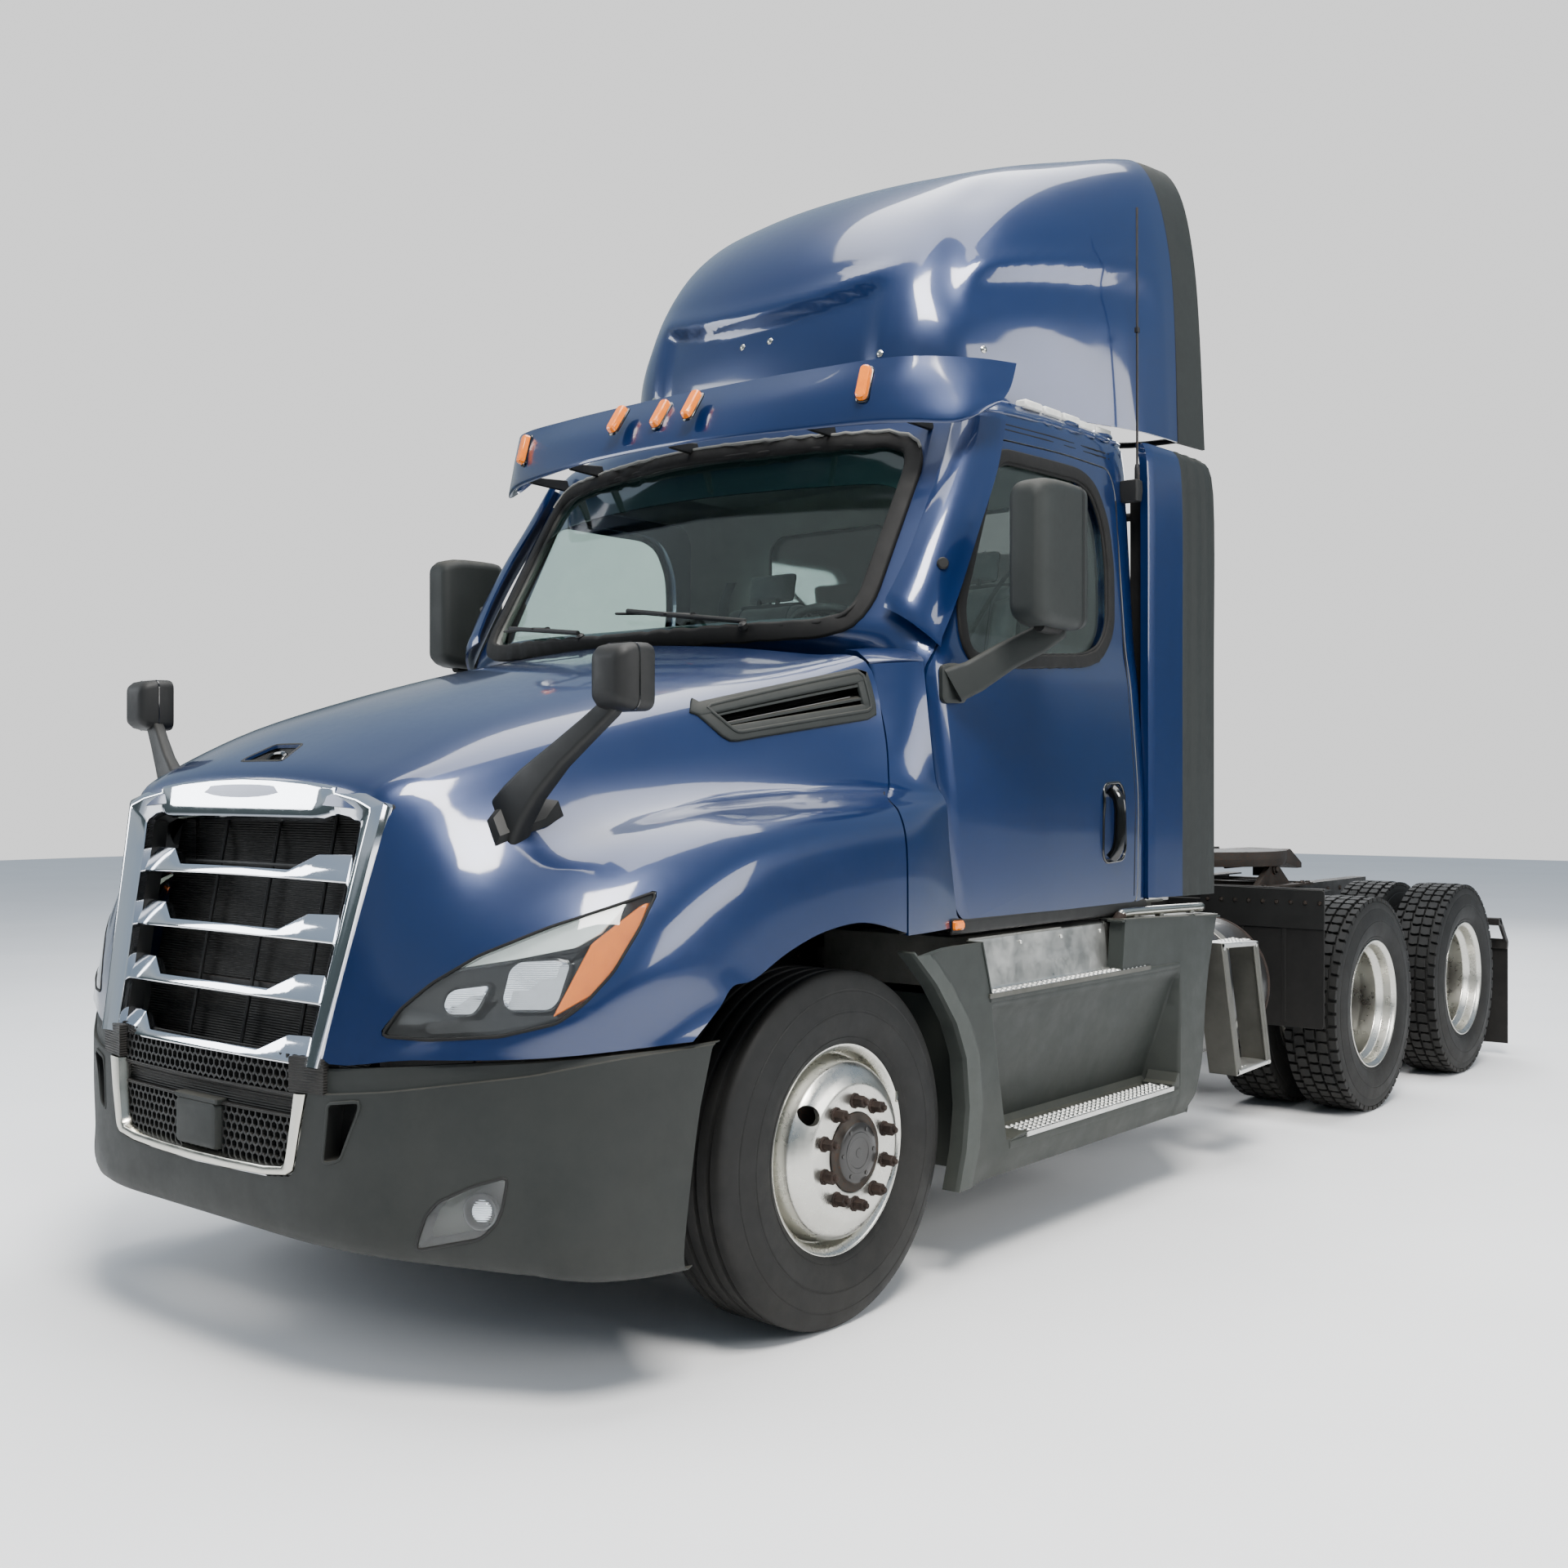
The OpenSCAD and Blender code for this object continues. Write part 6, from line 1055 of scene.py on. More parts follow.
# ------------------------------------------------------------------ headlamps
cL, sL = math.cos(lang), math.sin(lang)
def to_lamp(P): dx = P[..., 0] - 672; dy = P[..., 1] + 1180; return np.stack([dx * cL + dy * sL, -dx * sL + dy * cL, P[..., 2]], -1)
def from_lamp(Q): Q = np.asarray(Q, float); u, d, z = Q[..., 0], Q[..., 1], Q[..., 2]; return np.stack([672 + u * cL - d * sL, -1180 + u * sL + d * cL, z], -1)
HF = linfill(HG2, 2, 2); LSf = Surf(to_lamp(HF), (0, 2), keep=lambda P: (P[:, 0] > -160) & (P[:, 0] < 860) & (P[:, 2] > 840) & (P[:, 2] < 1360) & (np.abs(P[:, 1]) < 260), out=(0, -1, 0))
def lamp_at(uz, dep, push=0.0):
    P, N = LSf.at(uz); P = P.copy(); P[:, 1] += dep; return from_lamp(P)
LPr = round2([tuple(p) for p in LAMP], 16)
def sc2(pts, k, c=None):
    A = np.array(pts, float); c = A.mean(0) if c is None else np.array(c); return (c + (A - c) * k).tolist()
q = G(); oo = resample(grow(LPr, -3), 14, True)
ctr = [330, 1040]
q.use(0); q.loft([lamp_at(grow(LPr, -4), 2), lamp_at(grow(LPr, -9), 34), lamp_at(sc2(LPr, 0.93, ctr), 62)], caps=False)
cap = lamp_at(sc2(LPr, 0.93, ctr), 62); q.add(cap, [list(range(len(cap)))])
DRL = round2([(171, 1074), (321, 1160), (483, 1210), (572, 1226), (520, 1158), (466, 1126), (321, 1098)], 7)
q.use(1); q.loft([lamp_at(DRL, 60), lamp_at(DRL, 18), lamp_at(sc2(DRL, 0.97), 14)])
q.use(0); q.loft([lamp_at(grow(DRL, 8), 60), lamp_at(grow(DRL, 8), 24), lamp_at(grow(DRL, 2), 22)], caps=False)
R1 = round2([(150, 985), (158, 1012), (176, 1024), (262, 1036), (236, 985), (222, 970), (165, 968)], 9)
R2 = round2([(298, 1002), (312, 1074), (334, 1092), (424, 1096), (454, 1088), (432, 1002), (414, 984), (312, 982)], 12)
for Rr, cpt in ((R1, (205, 1000)), (R2, (376, 1036))):
    q.use(0); q.loft([lamp_at(grow(Rr, 7), 60), lamp_at(grow(Rr, 7), 22), lamp_at(grow(Rr, 1), 19)], caps=False)
    q.use(2); q.loft([lamp_at(grow(Rr, 1), 19)] + [lamp_at(sc2(Rr, k, cpt), d) for k, d in ((0.92, 36), (0.78, 48), (0.55, 56), (0.3, 60))], caps=False)
    e = lamp_at(sc2(Rr, 0.3, cpt), 60); q.add(e, [list(range(len(e)))])
    bp_ = lamp_at([cpt], 46)[0]; nv = from_lamp([0, -1, 0]) - from_lamp([0, 0, 0]); nv = nv / np.linalg.norm(nv); q.use(4); q.rev([(0, 16), (7, 15), (11, 10), (11, -10)], bp_, nv, 18)
AMB = round2([(424, 966), (502, 1136), (604, 1222), (622, 1230), (590, 1084), (553, 1040)], 8)
q.use(3); q.loft([lamp_at(AMB, 50), lamp_at(AMB, 14), lamp_at(sc2(AMB, 0.96), 11)])
q.use(5); P = lamp_at(resample(grow(LPr, 1), 12, True), 0); Nn = LSf.at(resample(grow(LPr, 1), 12, True))[1]; Nw = from_lamp(Nn) - from_lamp([0, 0, 0]); strip(q, P, Nw, 7, 2.5, True)
tb = [(u, np.interp(u, [200, 321, 483, 600], [1100, 1180, 1226, 1243])) for u in np.linspace(210, 606, 18)]
q.use(2); P = lamp_at(tb, 10); strip(q, P, np.tile(nv, (len(P), 1)), 6, 4)
q.mirror(); q.obj("headlamp_internals", [M["gloss"], M["drl"], M["reflector"], M["amber"], M["lens"], M["rubber"]], "hood", 35, "lamp_lens", ["headlamps"])
q = G(); g = HF - gnorm(HF) * 1.2 * np.sign((gnorm(HF) * [0, 0, 1]).sum(-1).mean()); q.sheet(g, 3.0)
ln = q.obj("headlamp_lenses", M["lens"], "hood", 60, "lamp_lens")
keep2 = G(); lamp_prism_(0.992, 1)(keep2); lamp_prism_(0.992, -1)(keep2)
boole(ln, cutter("c", lambda g_: (lamp_prism_(0.992, 1)(g_), lamp_prism_(0.992, -1)(g_))), "INTERSECT")

# ------------------------------------------------------------------ mirrors
def rsec(c, ax, ay, w, h, r, n=6):
    """rounded rectangle ring about c, half sizes w and h along ax and ay"""
    c, ax, ay = [np.asarray(v, float) for v in (c, ax, ay)]; out = []
    for sx_, sy_, a0 in ((1, 1, 0), (-1, 1, 90), (-1, -1, 180), (1, -1, 270)):
        for k in range(n):
            a = math.radians(a0 + 90 * k / (n - 1)); out.append(c + ax * (sx_ * (w - r) + r * math.cos(a)) + ay * (sy_ * (h - r) + r * math.sin(a)))
    return out
X_, Y_, Z_ = np.eye(3)
q = G(); q.use(0)
arm = [((742, -866, 1386), 36, 78), ((768, -872, 1426), 34, 74), ((800, -872, 1468), 30, 62), ((852, -868, 1522), 26, 50), ((930, -850, 1592), 22, 36), ((1010, -825, 1660), 20, 30), ((1070, -806, 1712), 20, 27), ((1104, -800, 1752), 20, 24)]
d = np.array([0.72, 0.22, 0.66]); d /= np.linalg.norm(d); b2 = np.cross(d, [0, -1, 0.1]); b2 /= np.linalg.norm(b2); b1 = np.cross(b2, d)
q.loft([rsec(p, b1, b2, a, b, min(a, b) * 0.6) for p, a, b in arm])
HPs = Surf(HF, (0, 1), keep=lambda P: (P[:, 0] > 640) & (P[:, 2] > 1350), out=(0.5, -0.3, 1))
q.loft([[tuple(v) for v in HPs.at([(x_, y_) for x_, y_ in [(748, -930), (790, -938), (836, -800), (838, -752), (812, -744), (768, -800), (742, -880)]], 1)[0]], [tuple(v) for v in HPs.at([(x_, y_) for x_, y_ in [(756, -920), (788, -924), (826, -806), (828, -766), (810, -758), (776, -806), (752, -876)]], 20)[0]]])
secs = [(-868, 34, 44, 0), (-860, 50, 64, 0), (-842, 60, 76, 0), (-815, 65, 82, 0), (-786, 66, 84, 0), (-764, 66, 84, 0), (-757, 64, 82, 0)]
q.loft([rsec((1105, y, 1784), X_, Z_, a, b, min(a, b) * 0.42) for y, a, b, _ in secs])
q.use(1); q.loft([rsec((1105, -757.5, 1784), X_, Z_, 58, 76, 24), rsec((1105, -755, 1784), X_, Z_, 57, 75, 24)])
q.use(2); q.loft([rsec((1105, -812, 1784), X_, Z_, 66.4, 84.4, 28), rsec((1105, -808, 1784), X_, Z_, 66.4, 84.4, 28)], caps=False)
q.mirror(); q.obj("hood_mirror_bodies", [M["blackpl"], M["mirror"], M["gloss"]], "hood", 45, "black_plastic", ["hood_mirrors"])
def door_mirror_vis(side):
    nm = "left" if side > 0 else "right"; q = G(); q.use(0)
    pts = [((1132, 590, 1828), 30, 58), ((1180, 640, 1856), 28, 52), ((1250, 715, 1920), 27, 46), ((1320, 790, 1972), 27, 44), ((1362, 838, 2014), 27, 40), ((1372, 846, 2060), 26, 36)]
    d = np.array([0.62, 0.6, 0.5]); d /= np.linalg.norm(d); bb1 = np.cross(d, [0, 0, 1]); bb1 /= np.linalg.norm(bb1); bb2 = np.cross(bb1, d)
    q.loft([rsec(p, bb1, bb2, a, b, min(a, b) * 0.55) for p, a, b in pts])
    P, N = CABS.at([(p[0], p[1]) for p in round2([(548, 1772), (548, 1888), (600, 1900), (668, 1896), (684, 1850), (660, 1776)], 22)], 1)
    q.loft([P - np.array([4, 0, 0]), P + np.array([12, 0, 0]), P.mean(0) + (P - P.mean(0)) * 0.86 + np.array([20, 0, 0])])
    secs = [(592, 34, 170, 22), (600, 50, 196, 34), (622, 60, 211, 40), (660, 66, 221, 42), (720, 67, 225, 40), (800, 66, 226, 38), (860, 64, 224, 36), (884, 61, 221, 34), (889, 58, 218, 32)]
    q.loft([rsec((1386 - 0.02 * (y - 592), y, 2226), X_, Z_, a, b, r) for y, a, b, r in secs])
    q.use(2)
    for y0 in (702, 706): pass
    q.loft([rsec((1384, 846, 2226), X_, Z_, 65.6, 225.6, 38), rsec((1384, 851, 2226), X_, Z_, 65.6, 225.6, 38)], caps=False)
    q.use(1)
    q.loft([rsec((1380, 889.4, 2262), X_, Z_, 50, 168, 24), rsec((1380, 889.9, 2262), X_, Z_, 49, 167, 24)])
    q.loft([rsec((1380, 889.4, 2056), X_, Z_, 50, 30, 20), rsec((1380, 889.9, 2056), X_, Z_, 49, 29, 20)])
    q.use(2); q.tube([(1384, 690, 2000 + 6), (1384, 740, 2003), (1384, 800, 2006)], 20, 10, 4)
    if side < 0: q.flipx()
    q.obj(nm + "_mirror_body", [M["charcoal"], M["mirror"], M["rubber"]], nm + "_door", 40, "charcoal_plastic", [nm + "_mirror"])
for sd in (1, -1): door_mirror_vis(sd)

# ------------------------------------------------------------------ skirts, steps, tanks
SKYL = lambda z: float(np.interp(z, [291, 410, 536, 693, 803, 928, 1030], [511, 550, 569, 551, 498, 394, 277]))
SKYR = lambda z: float(np.interp(z, [291, 470, 819, 1020], [2083, 2167, 2254, 2331]))
PZ, PX = [404.5, 411, 430, 520, 640, 740, 778, 800, 814, 826, 834], [1104, 1082, 1066, 1096, 1136, 1167, 1180, 1190, 1200, 1209, 1212]
def skx(y, z, yl):
    x = 1213.5 - 5 * smooth(64, 84, y - yl) * (1 - smooth(1960, 1990, y))      # behind the arch flange
    x -= 16 * smooth(2070, 2300, y) * smooth(420, 700, z)                       # rear box turns in
    x -= 26 * (1 - smooth(291, 370, z)) * smooth(560, 700, y)                   # sill tucks under
    return x
q = G()
zs = np.unique(np.concatenate([np.linspace(291, 396, 9), [402, 404.4], PZ, np.linspace(440, 770, 14), np.linspace(838, 866, 5), [298, 306, 315]]))
zs = np.insert(zs, int(np.searchsorted(zs, 404.5)), 404.45); rows = []
for i, z in enumerate(zs):
    zc = min(max(z, 404), 832); y0, y1 = 700 + 90 * (832 - zc) / 428, 1990 - 10 * (832 - zc) / 428; yl, yr = SKYL(z), SKYR(z)
    cols = [(y, 0.0) for y in np.concatenate([[yl, yl + 6], np.linspace(yl + 14, yl + 62, 4), [yl + 68, yl + 76, yl + 84], np.linspace(yl + 92, y0 - 12, 4)])]
    cols += [(y0 - 5, 0.0), (y0 - 1, 0.03), (y0 + 3, 0.12), (y0 + 9, 0.90), (y0 + 14, 0.98)] + [(y, 1.0) for y in np.linspace(y0 + 22, y1 - 22, 34)]
    cols += [(y1 - 14, 0.98), (y1 - 9, 0.90), (y1 - 2, 0.12), (y1 + 2, 0.03), (y1 + 6, 0.0)] + [(y, 0.0) for y in np.concatenate([np.linspace(y1 + 16, 2062, 4), [2070, 2078], np.linspace(2086, yr, 8) if yr > 2096 else np.linspace(2080, max(yr, 2083), 8)])]
    D = 1213 - float(np.interp(z, PZ, PX)) if 404.5 <= z <= 834 else 0.0
    rows.append([(skx(y, z, yl) - D * k, y, z) for y, k in cols])
q.sheet(np.array(rows), 6)
def lattice(ys_u, zs, f_l, f_r):
    return np.array([[(skx(y, z, SKYL(z)), y, z) for y in f_l(z) + (f_r(z) - f_l(z)) * ys_u] for z in zs])
zs2 = np.linspace(866, 1036, 12); gB = lattice(np.linspace(0, 1, 22), zs2, lambda z: SKYL(z) if z < 1030 else 277 + (z - 1030) * 24, lambda z: float(np.interp(z, [866, 1036], [694, 640]))); q.sheet(gB, 9)
gC = np.array([[(skx(y, z, -1e3) , y, z) for y in np.linspace(float(np.interp(zz, [0, 1], [1540, 1562])), float(np.interp(z, [819, 1020, 1050], [2254, 2331, 2340])), 26)] for zz, z in zip(np.linspace(0, 1, 12), np.linspace(866, 1046, 12))])
for r in gC: 
    for p in r: p[2] = min(p[2], 1050 - 30 * (p[1] - 1560) / 770.0)
q.sheet(gC, 9)
# arch flange turned in towards the wheel, and the inner returns of the openings
rows = []
for k, (dx, dn) in enumerate(((0, 0), (-14, -2), (-60, -2))):
    rows.append([(1212 + dx, SKYL(z) + dn, z) for z in np.linspace(291, 1030, 40)])
q.sheet(np.array(rows), 6)
rows = [[(1212 - dx, y, zt) for y, zt in zip(np.linspace(1540, 2331, 16), np.interp(np.linspace(1540, 2331, 16), [1540, 1600, 2331], [1046, 1048, 1018]))] for dx in (0, 10, 60)]; q.sheet(np.array(rows), 6)
rows = [[(1212 - dx, float(np.interp(z, [866, 1050], [1540, 1562])), z) for z in np.linspace(866, 1048, 8)] for dx in (0, 60)]; q.sheet(np.array(rows), 6)
rows = [[(1212 - dx, float(np.interp(z, [866, 1036], [694, 640])), z) for z in np.linspace(866, 1036, 8)] for dx in (0, 60)]; q.sheet(np.array(rows), 6)
rows = [[(1190 - dx, SKYR(z) , z) for z in np.linspace(291, 1018, 20)] for dx in (0, 50)]; q.sheet(np.array(rows), 6)
# ledges under the treads
q.ext(round2([(1150, 846), (1208, 842), (1214, 850), (1214, 861), (1208, 866), (1150, 866)], 5), 690, 1990, "xz", 3)
q.ext(round2([(1160, 372), (1206, 366), (1212, 378), (1212, 396), (1206, 401), (1160, 401)], 6), 800, 1980, "xz", 3)
q.ext([(800, 400), (806, 396), (880, 400), (912, 404), (900, 414), (860, 411)], 1086, 1213, "yz", 3)
q.ext([(1924, 404), (1984, 404), (1984, 452), (1972, 456), (1952, 424), (1924, 417)], 1086, 1213, "yz", 3)
# splash panel behind the wheel
rows = [[(x, 646 + 6 * math.sin(x / 40.0) * 0.3, z) for x in np.linspace(540, 1160, 14)] for z in np.linspace(325, 860, 10)]; q.sheet(np.array(rows), 6)
q.mirror(); o = q.obj("skirt_panels", [M["skirt"], M["charcoal_light"]], "chassis", 32, "charcoal_plastic", ["side_skirts"])
for p in o.data.polygons:
    c = np.array(p.center) * 1000 + [0, 2400, 0]
    if c[1] - SKYL(c[2]) < 74 and c[2] < 1032 and abs(c[0]) > 1190 and c[1] < 690: p.material_index = 1
def studs(q, y0, y1, xs, z, n, h=2.6, r=9):
    for i, y in enumerate(np.linspace(y0, y1, n)):
        for j, x in enumerate(xs):
            yy = y + (0.5 if j % 2 else 0) * (y1 - y0) / max(1, n - 1)
            if yy > y1: continue
            q.rev([(r + 2.4, 0), (r + 0.5, h * 0.5), (r - 1.5, h), (r - 4.5, h), (r - 6, h * 0.3), (0, h * 0.3)], (x, yy, z), (0, 0, 1), 8)
q = G(); q.use(2)
q.ext(round2([(1112, 867), (1214.5, 867), (1215.5, 869.5), (1214.5, 872.6), (1112, 872.6)], 1.5), 682, 1750, "xz", 2)
q.ext([(1206, 858), (1214.8, 858), (1215.4, 872), (1206, 872)], 682, 1750, "xz", 1)
q.use(0); studs(q, 706, 1730, (1128, 1152, 1176, 1199), 872.4, 34, 4.5, 11)
q.use(2); q.ext(round2([(1112, 405), (1214.5, 405), (1215.5, 408), (1214.5, 411), (1112, 411)], 1.5), 900, 1932, "xz", 2)
q.use(0); studs(q, 920, 1912, (1128, 1152, 1176, 1199), 410.8, 34, 4.5, 11); q.ext([(1206, 396), (1215, 396), (1215.4, 411), (1206, 411)], 900, 1932, "xz", 1)
q.mirror(); q.use(0)
q.use(2)
for L_ in ([(2360, 905), (2386, 904), (2524, 372), (2500, 370)], [(2676, 890), (2702, 890), (2832, 380), (2808, 380)]): q.ext(L_, 1085, 1205, "yz", 3)
q.use(0); q.ext([(2360, 905), (2702, 890), (2698, 872), (2366, 886)], 1085, 1205, "yz", 3); q.ext([(2500, 370), (2832, 380), (2826, 396), (2508, 388)], 1085, 1205, "yz", 3)
# gusset plates with flanged edges on the outer face
q.use(2)
q.ext([(2372, 893), (2412, 890), (2548, 385), (2512, 383)], 1196, 1203, "yz", 2); q.ext([(2660, 884), (2694, 883), (2820, 389), (2788, 388)], 1196, 1203, "yz", 2)
q.use(0); studs(q, 2396, 2680, (1106, 1130, 1154, 1178), 897, 10); studs(q, 2530, 2806, (1106, 1130, 1154, 1178), 389, 10)
for p in ((1203, 2384, 884), (1203, 2680, 876), (1203, 2524, 384), (1203, 2812, 388)): q.bolt(p, (1, 0, 0), 8, 5)
q.use(2); q.box((1060, 2400, 640), (1088, 2700, 700), 3)
q.obj("step_treads", [M["alu"], M["white"], M["alu_grey"]], "chassis", 34, "aluminium", ["steps"])
# aluminium panels above the upper step, folded lids, rail
q = G(); q.use(0)
rows = [[(x, y, z + (1.2 * math.sin(y / 130.0) if 880 < z < 1020 else 0)) for y in np.linspace(690, 1545, 24)] for x, z in ((1160, 874), (1156, 876), (1152, 886), (1146, 950), (1139, 1020), (1136, 1032), (1128, 1038), (1060, 1041), (700, 1041))]; q.sheet(np.array(rows), 4)
q.tube([(1158, 700, 876), (1158, 1100, 876), (1158, 1540, 876)], 4, 6, 1)
for y in (720, 980, 1240, 1510): q.rev([(0, 0), (8, 0), (8, 2), (5, 4), (0, 4.6)], (1141, y, 1010), (0.99, 0, 0.1), 12)
q.use(1); q.ext([(690, 1041), (690, 880), (694, 880), (694, 1041)], 560, 1130, "yz", 1)
q.ext([(1545, 1041), (1545, 880), (1549, 880), (1549, 1041)], 560, 1136, "yz", 1)
q.use(2)
q.tube([(1168, 1588, 1040), (1170, 1600, 1058), (1172, 1640, 1066), (1172, 1900, 1062), (1168, 2200, 1054), (1150, 2290, 1050)], 17, 12, 4)
q.use(3); q.tube([(1168, 1580, 1034), (1169, 1594, 1052), (1171, 1612, 1062)], 19, 12, 3)
q.use(1); rows = [[(x, y, 1046 - 26 * (y - 1560) / 770.0) for y in np.linspace(1560, 2320, 12)] for x in np.linspace(1090, 1206, 5)]; q.sheet(np.array(rows), 5)
for y in (1700, 1900, 2150): q.box((1160, y - 14, 1036), (1184, y + 14, 1056), 2)
q.mirror(); q.obj("side_panels", [M["alu"], M["alu_dull"], M["chrome_dull"], M["rust"]], "chassis", 34, "aluminium")
# closing strip in the gap between cab and side extender
q = G(); q.use(0)
rows = [[(x, y + 2.5 * math.sin(z / 90.0) * 0.2, z) for x, y in ((1050, 1906), (1080, 1902), (1110, 1896), (1128, 1886), (1138, 1872))] for z in np.linspace(1100, 2600, 40)]
q.sheet(np.array(rows), 5); q.tube([(1120, 1880, z) for z in np.linspace(1104, 2596, 20)], 9, 8, 1)
q.mirror(); q.obj("extender_gap_seal", M["rubber"], "chassis", 40, "black_rubber")
# amber side markers under the doors
q = G(); q.use(0); q.loft([rsec((1166, 569, 1091), Y_, Z_, 26, 15, 7), rsec((1176, 569, 1091), Y_, Z_, 25, 14, 7), rsec((1182, 569, 1091), Y_, Z_, 19, 9, 6)]); q.use(1); q.loft([rsec((1150, 569, 1091), Y_, Z_, 30, 19, 8), rsec((1168, 569, 1091), Y_, Z_, 30, 19, 8)])
q.mirror(); q.obj("side_markers", [M["amber"], M["blackpl"]], "chassis", 34, "lamp_lens")
# sill and closing strip under the doors
q = G(); q.ext(round2([(1090, 1062), (1146, 1058), (1152, 1066), (1152, 1100), (1140, 1106), (1090, 1106)], 6), 560, 1840, "xz", 3); q.mirror(); q.obj("door_sills", M["blackpl"], "chassis", 40, "black_plastic")

# ---- fuel tanks
q = G(); q.use(0)
prof = [(0, 1304), (180, 1304), (262, 1308), (280, 1316), (288, 1330), (288, 2250), (286.5, 2254), (286.5, 2262), (288, 2266), (288, 3120), (287, 3140), (285.5, 3146)]
q.rev(prof, (770, 0, 655), (0, 1, 0), 96)
q.use(1); q.rev([(285.5, 3146), (289, 3149), (289.5, 3156), (288, 3163), (284, 3166)], (770, 0, 655), (0, 1, 0), 96)
q.use(0); q.rev([(284, 3166), (279, 3176), (262, 3188), (230, 3200), (180, 3211), (120, 3219), (60, 3223), (0, 3224)], (770, 0, 655), (0, 1, 0), 96)
q.use(2)
q.use(4); q.rev([(289, 2436), (292.5, 2438), (292.5, 2502), (289, 2504)], (770, 0, 655), (0, 1, 0), 96); q.use(2)
for y in (1500, 1860, 2900):
    q.rev([(289, y - 26), (292, y - 24), (292, y + 24), (289, y + 26)], (770, 0, 655), (0, 1, 0), 96)
    q.box((470, y - 32, 742), (524, y + 32, 958), 4)
    q.bolt((1034, y, 772), (0.9, 0, 0.4), 9, 12)
q.use(3); q.rev([(60, 0), (66, 3), (66, 22), (58, 27), (50, 30), (0, 30)], (905, 2600, 908), (0.5, 0, 0.87), 32, phase=0.1); q.rev([(50, 24), (50, 40), (42, 43), (0, 43)], (905, 2600, 905), (0.5, 0, 0.87), 8)
q.use(2); q.tube([(700, 3215, 600), (640, 3270, 620), (560, 3300, 700), (470, 3300, 800)], 9, 8, 6)
q.mirror(); q.obj("tank_bodies", [M["tank"], M["rust"], M["alu_dull"], M["chrome_dull"], M["white"]], "chassis", 34, "tank_black", ["fuel_tanks"])

# ---- splash panels and flaps
q = G(); q.use(0)
q.ext(round2([(600, 884), (1186, 884), (1190, 890), (1190, 1058), (600, 1062)], 16), 3440, 3446, "xz", 2)
q.tube([(604, 3452, 1058), (900, 3452, 1060), (1186, 3452, 1056)], 6, 8, 2)
q.ext([(3446, 1052), (3446, 1062), (3470, 1063), (3518, 1058), (3518, 1054)], 604, 1186, "yz", 1)
q.use(1); q.ext(round2([(624, 442), (1180, 442), (1185, 470), (1187, 928), (620, 930)], 26), 3447, 3454, "xz", 3)
for x in (800, 1000): q.ext([(x - 10, 460), (x + 10, 460), (x + 10, 910), (x - 10, 910)], 3443.5, 3448, "xz", 2)
q.use(2)
for x in np.linspace(640, 1168, 9): q.bolt((x, 3440, 1000), (0, -1, 0), 8, 5)
q.use(0); q.ext([(3446, 990), (3500, 1020), (3500, 1010), (3450, 900), (3462, 900), (3462, 980)], 433, 600, "yz", 2) if False else q.box((434, 3450, 900), (640, 3462, 1000), 3)
q.box((434, 3462, 990), (604, 3500, 1018), 3)
q.mirror(); q.obj("splash_panels", [M["blackpl"], M["rubber"], M["iron"]], "chassis", 34, "black_plastic", ["quarter_fenders"])
q = G(); q.use(0)
g = np.array([[(x, 6081 + 5 * math.sin((x - 600) / 90.0) * (628 - z) / 560.0 * 0.5 , z) for x in np.linspace(604, 1208, 22)] for z in np.linspace(67, 640, 18)]); q.sheet(g, 7)
for x in (700, 800, 905, 1010, 1110): q.sheet(np.array([[(x + d, 6086.4, z) for d in (-5, 0, 5)] for z in (90, 300, 560)]), 3) if False else None
q.use(1); q.ext(round2([(602, 602), (1210, 602), (1212, 658), (600, 658)], 8), 6062, 6078, "xz", 2)
for x in np.linspace(650, 1162, 6): q.bolt((x, 6086, 628), (0, 1, 0), 8, 6)
for x0 in (602, 1192): q.ext([(5930, 770), (5962, 782), (6098, 642), (6086, 602), (6062, 602), (6064, 640)], x0, x0 + 18, "yz", 3)
q.ext(round2([(5922, 742), (5968, 742), (5968, 783), (5922, 783)], 6), 434, 1210, "yz", 3)
q.box((240, 6012, 762), (430, 6038, 958), 4)
q.use(2); 
for x in (470, 560, 650, 740): q.rev([(0, 0), (40, 0), (44, 2), (44, 10), (38, 18), (20, 23), (0, 24)], (x - 180, 6040, 860), (0, 1, 0), 28) if x < 620 else None
q.use(3)
for x in (290, 380): q.rev([(46, -2), (52, 2), (52, 8), (45, 10)], (x, 6040, 860), (0, 1, 0), 28)
q.mirror(); q.obj("rear_flaps", [M["rubber"], M["frame"], M["red"], M["rubber"]], "chassis", 34, "black_rubber", ["mud_flaps"])

# ---- chassis hardware: bolts on the rails, lines, valves, cat walk, fifth wheel
q = G(); q.use(0)
for y in np.arange(-700, 5950, 175.0):
    for z in (760, 940):
        if (int(y) // 175) % 2 == 0 or 3300 < y < 5800: q.bolt((432, y, z), (1, 0, 0), 10, 8)
for y in (2900, 3700, 4700, 5900):
    for z in (800, 900): q.bolt((432, y + 24, z), (1, 0, 0), 10, 8); q.bolt((432, y - 24, z), (1, 0, 0), 10, 8)
q.mirror(); q.use(1)
for x, z, r in ((404, 962, 8), (404, 942, 6), (-404, 958, 10), (-404, 936, 6)): q.tube([(x, 1500, z), (x, 2500, z - 3), (x, 3600, z), (x, 5850, z - 2)], r, 8, 6)
q.tube([(300, 3300, 780), (330, 3800, 800), (340, 4040, 700), (300, 4200, 600)], 9, 8, 6); q.tube([(-300, 4500, 780), (-330, 5100, 800), (-340, 5360, 700), (-300, 5480, 600)], 9, 8, 6)
q.use(2)
for y in (3560, 4960): q.rev([(0, 0), (60, 0), (66, 6), (66, 60), (58, 74), (60, 80), (60, 120), (40, 130), (0, 130)], (-180, y - 60, 842), (0, 1, 0), 24)
q.use(1)
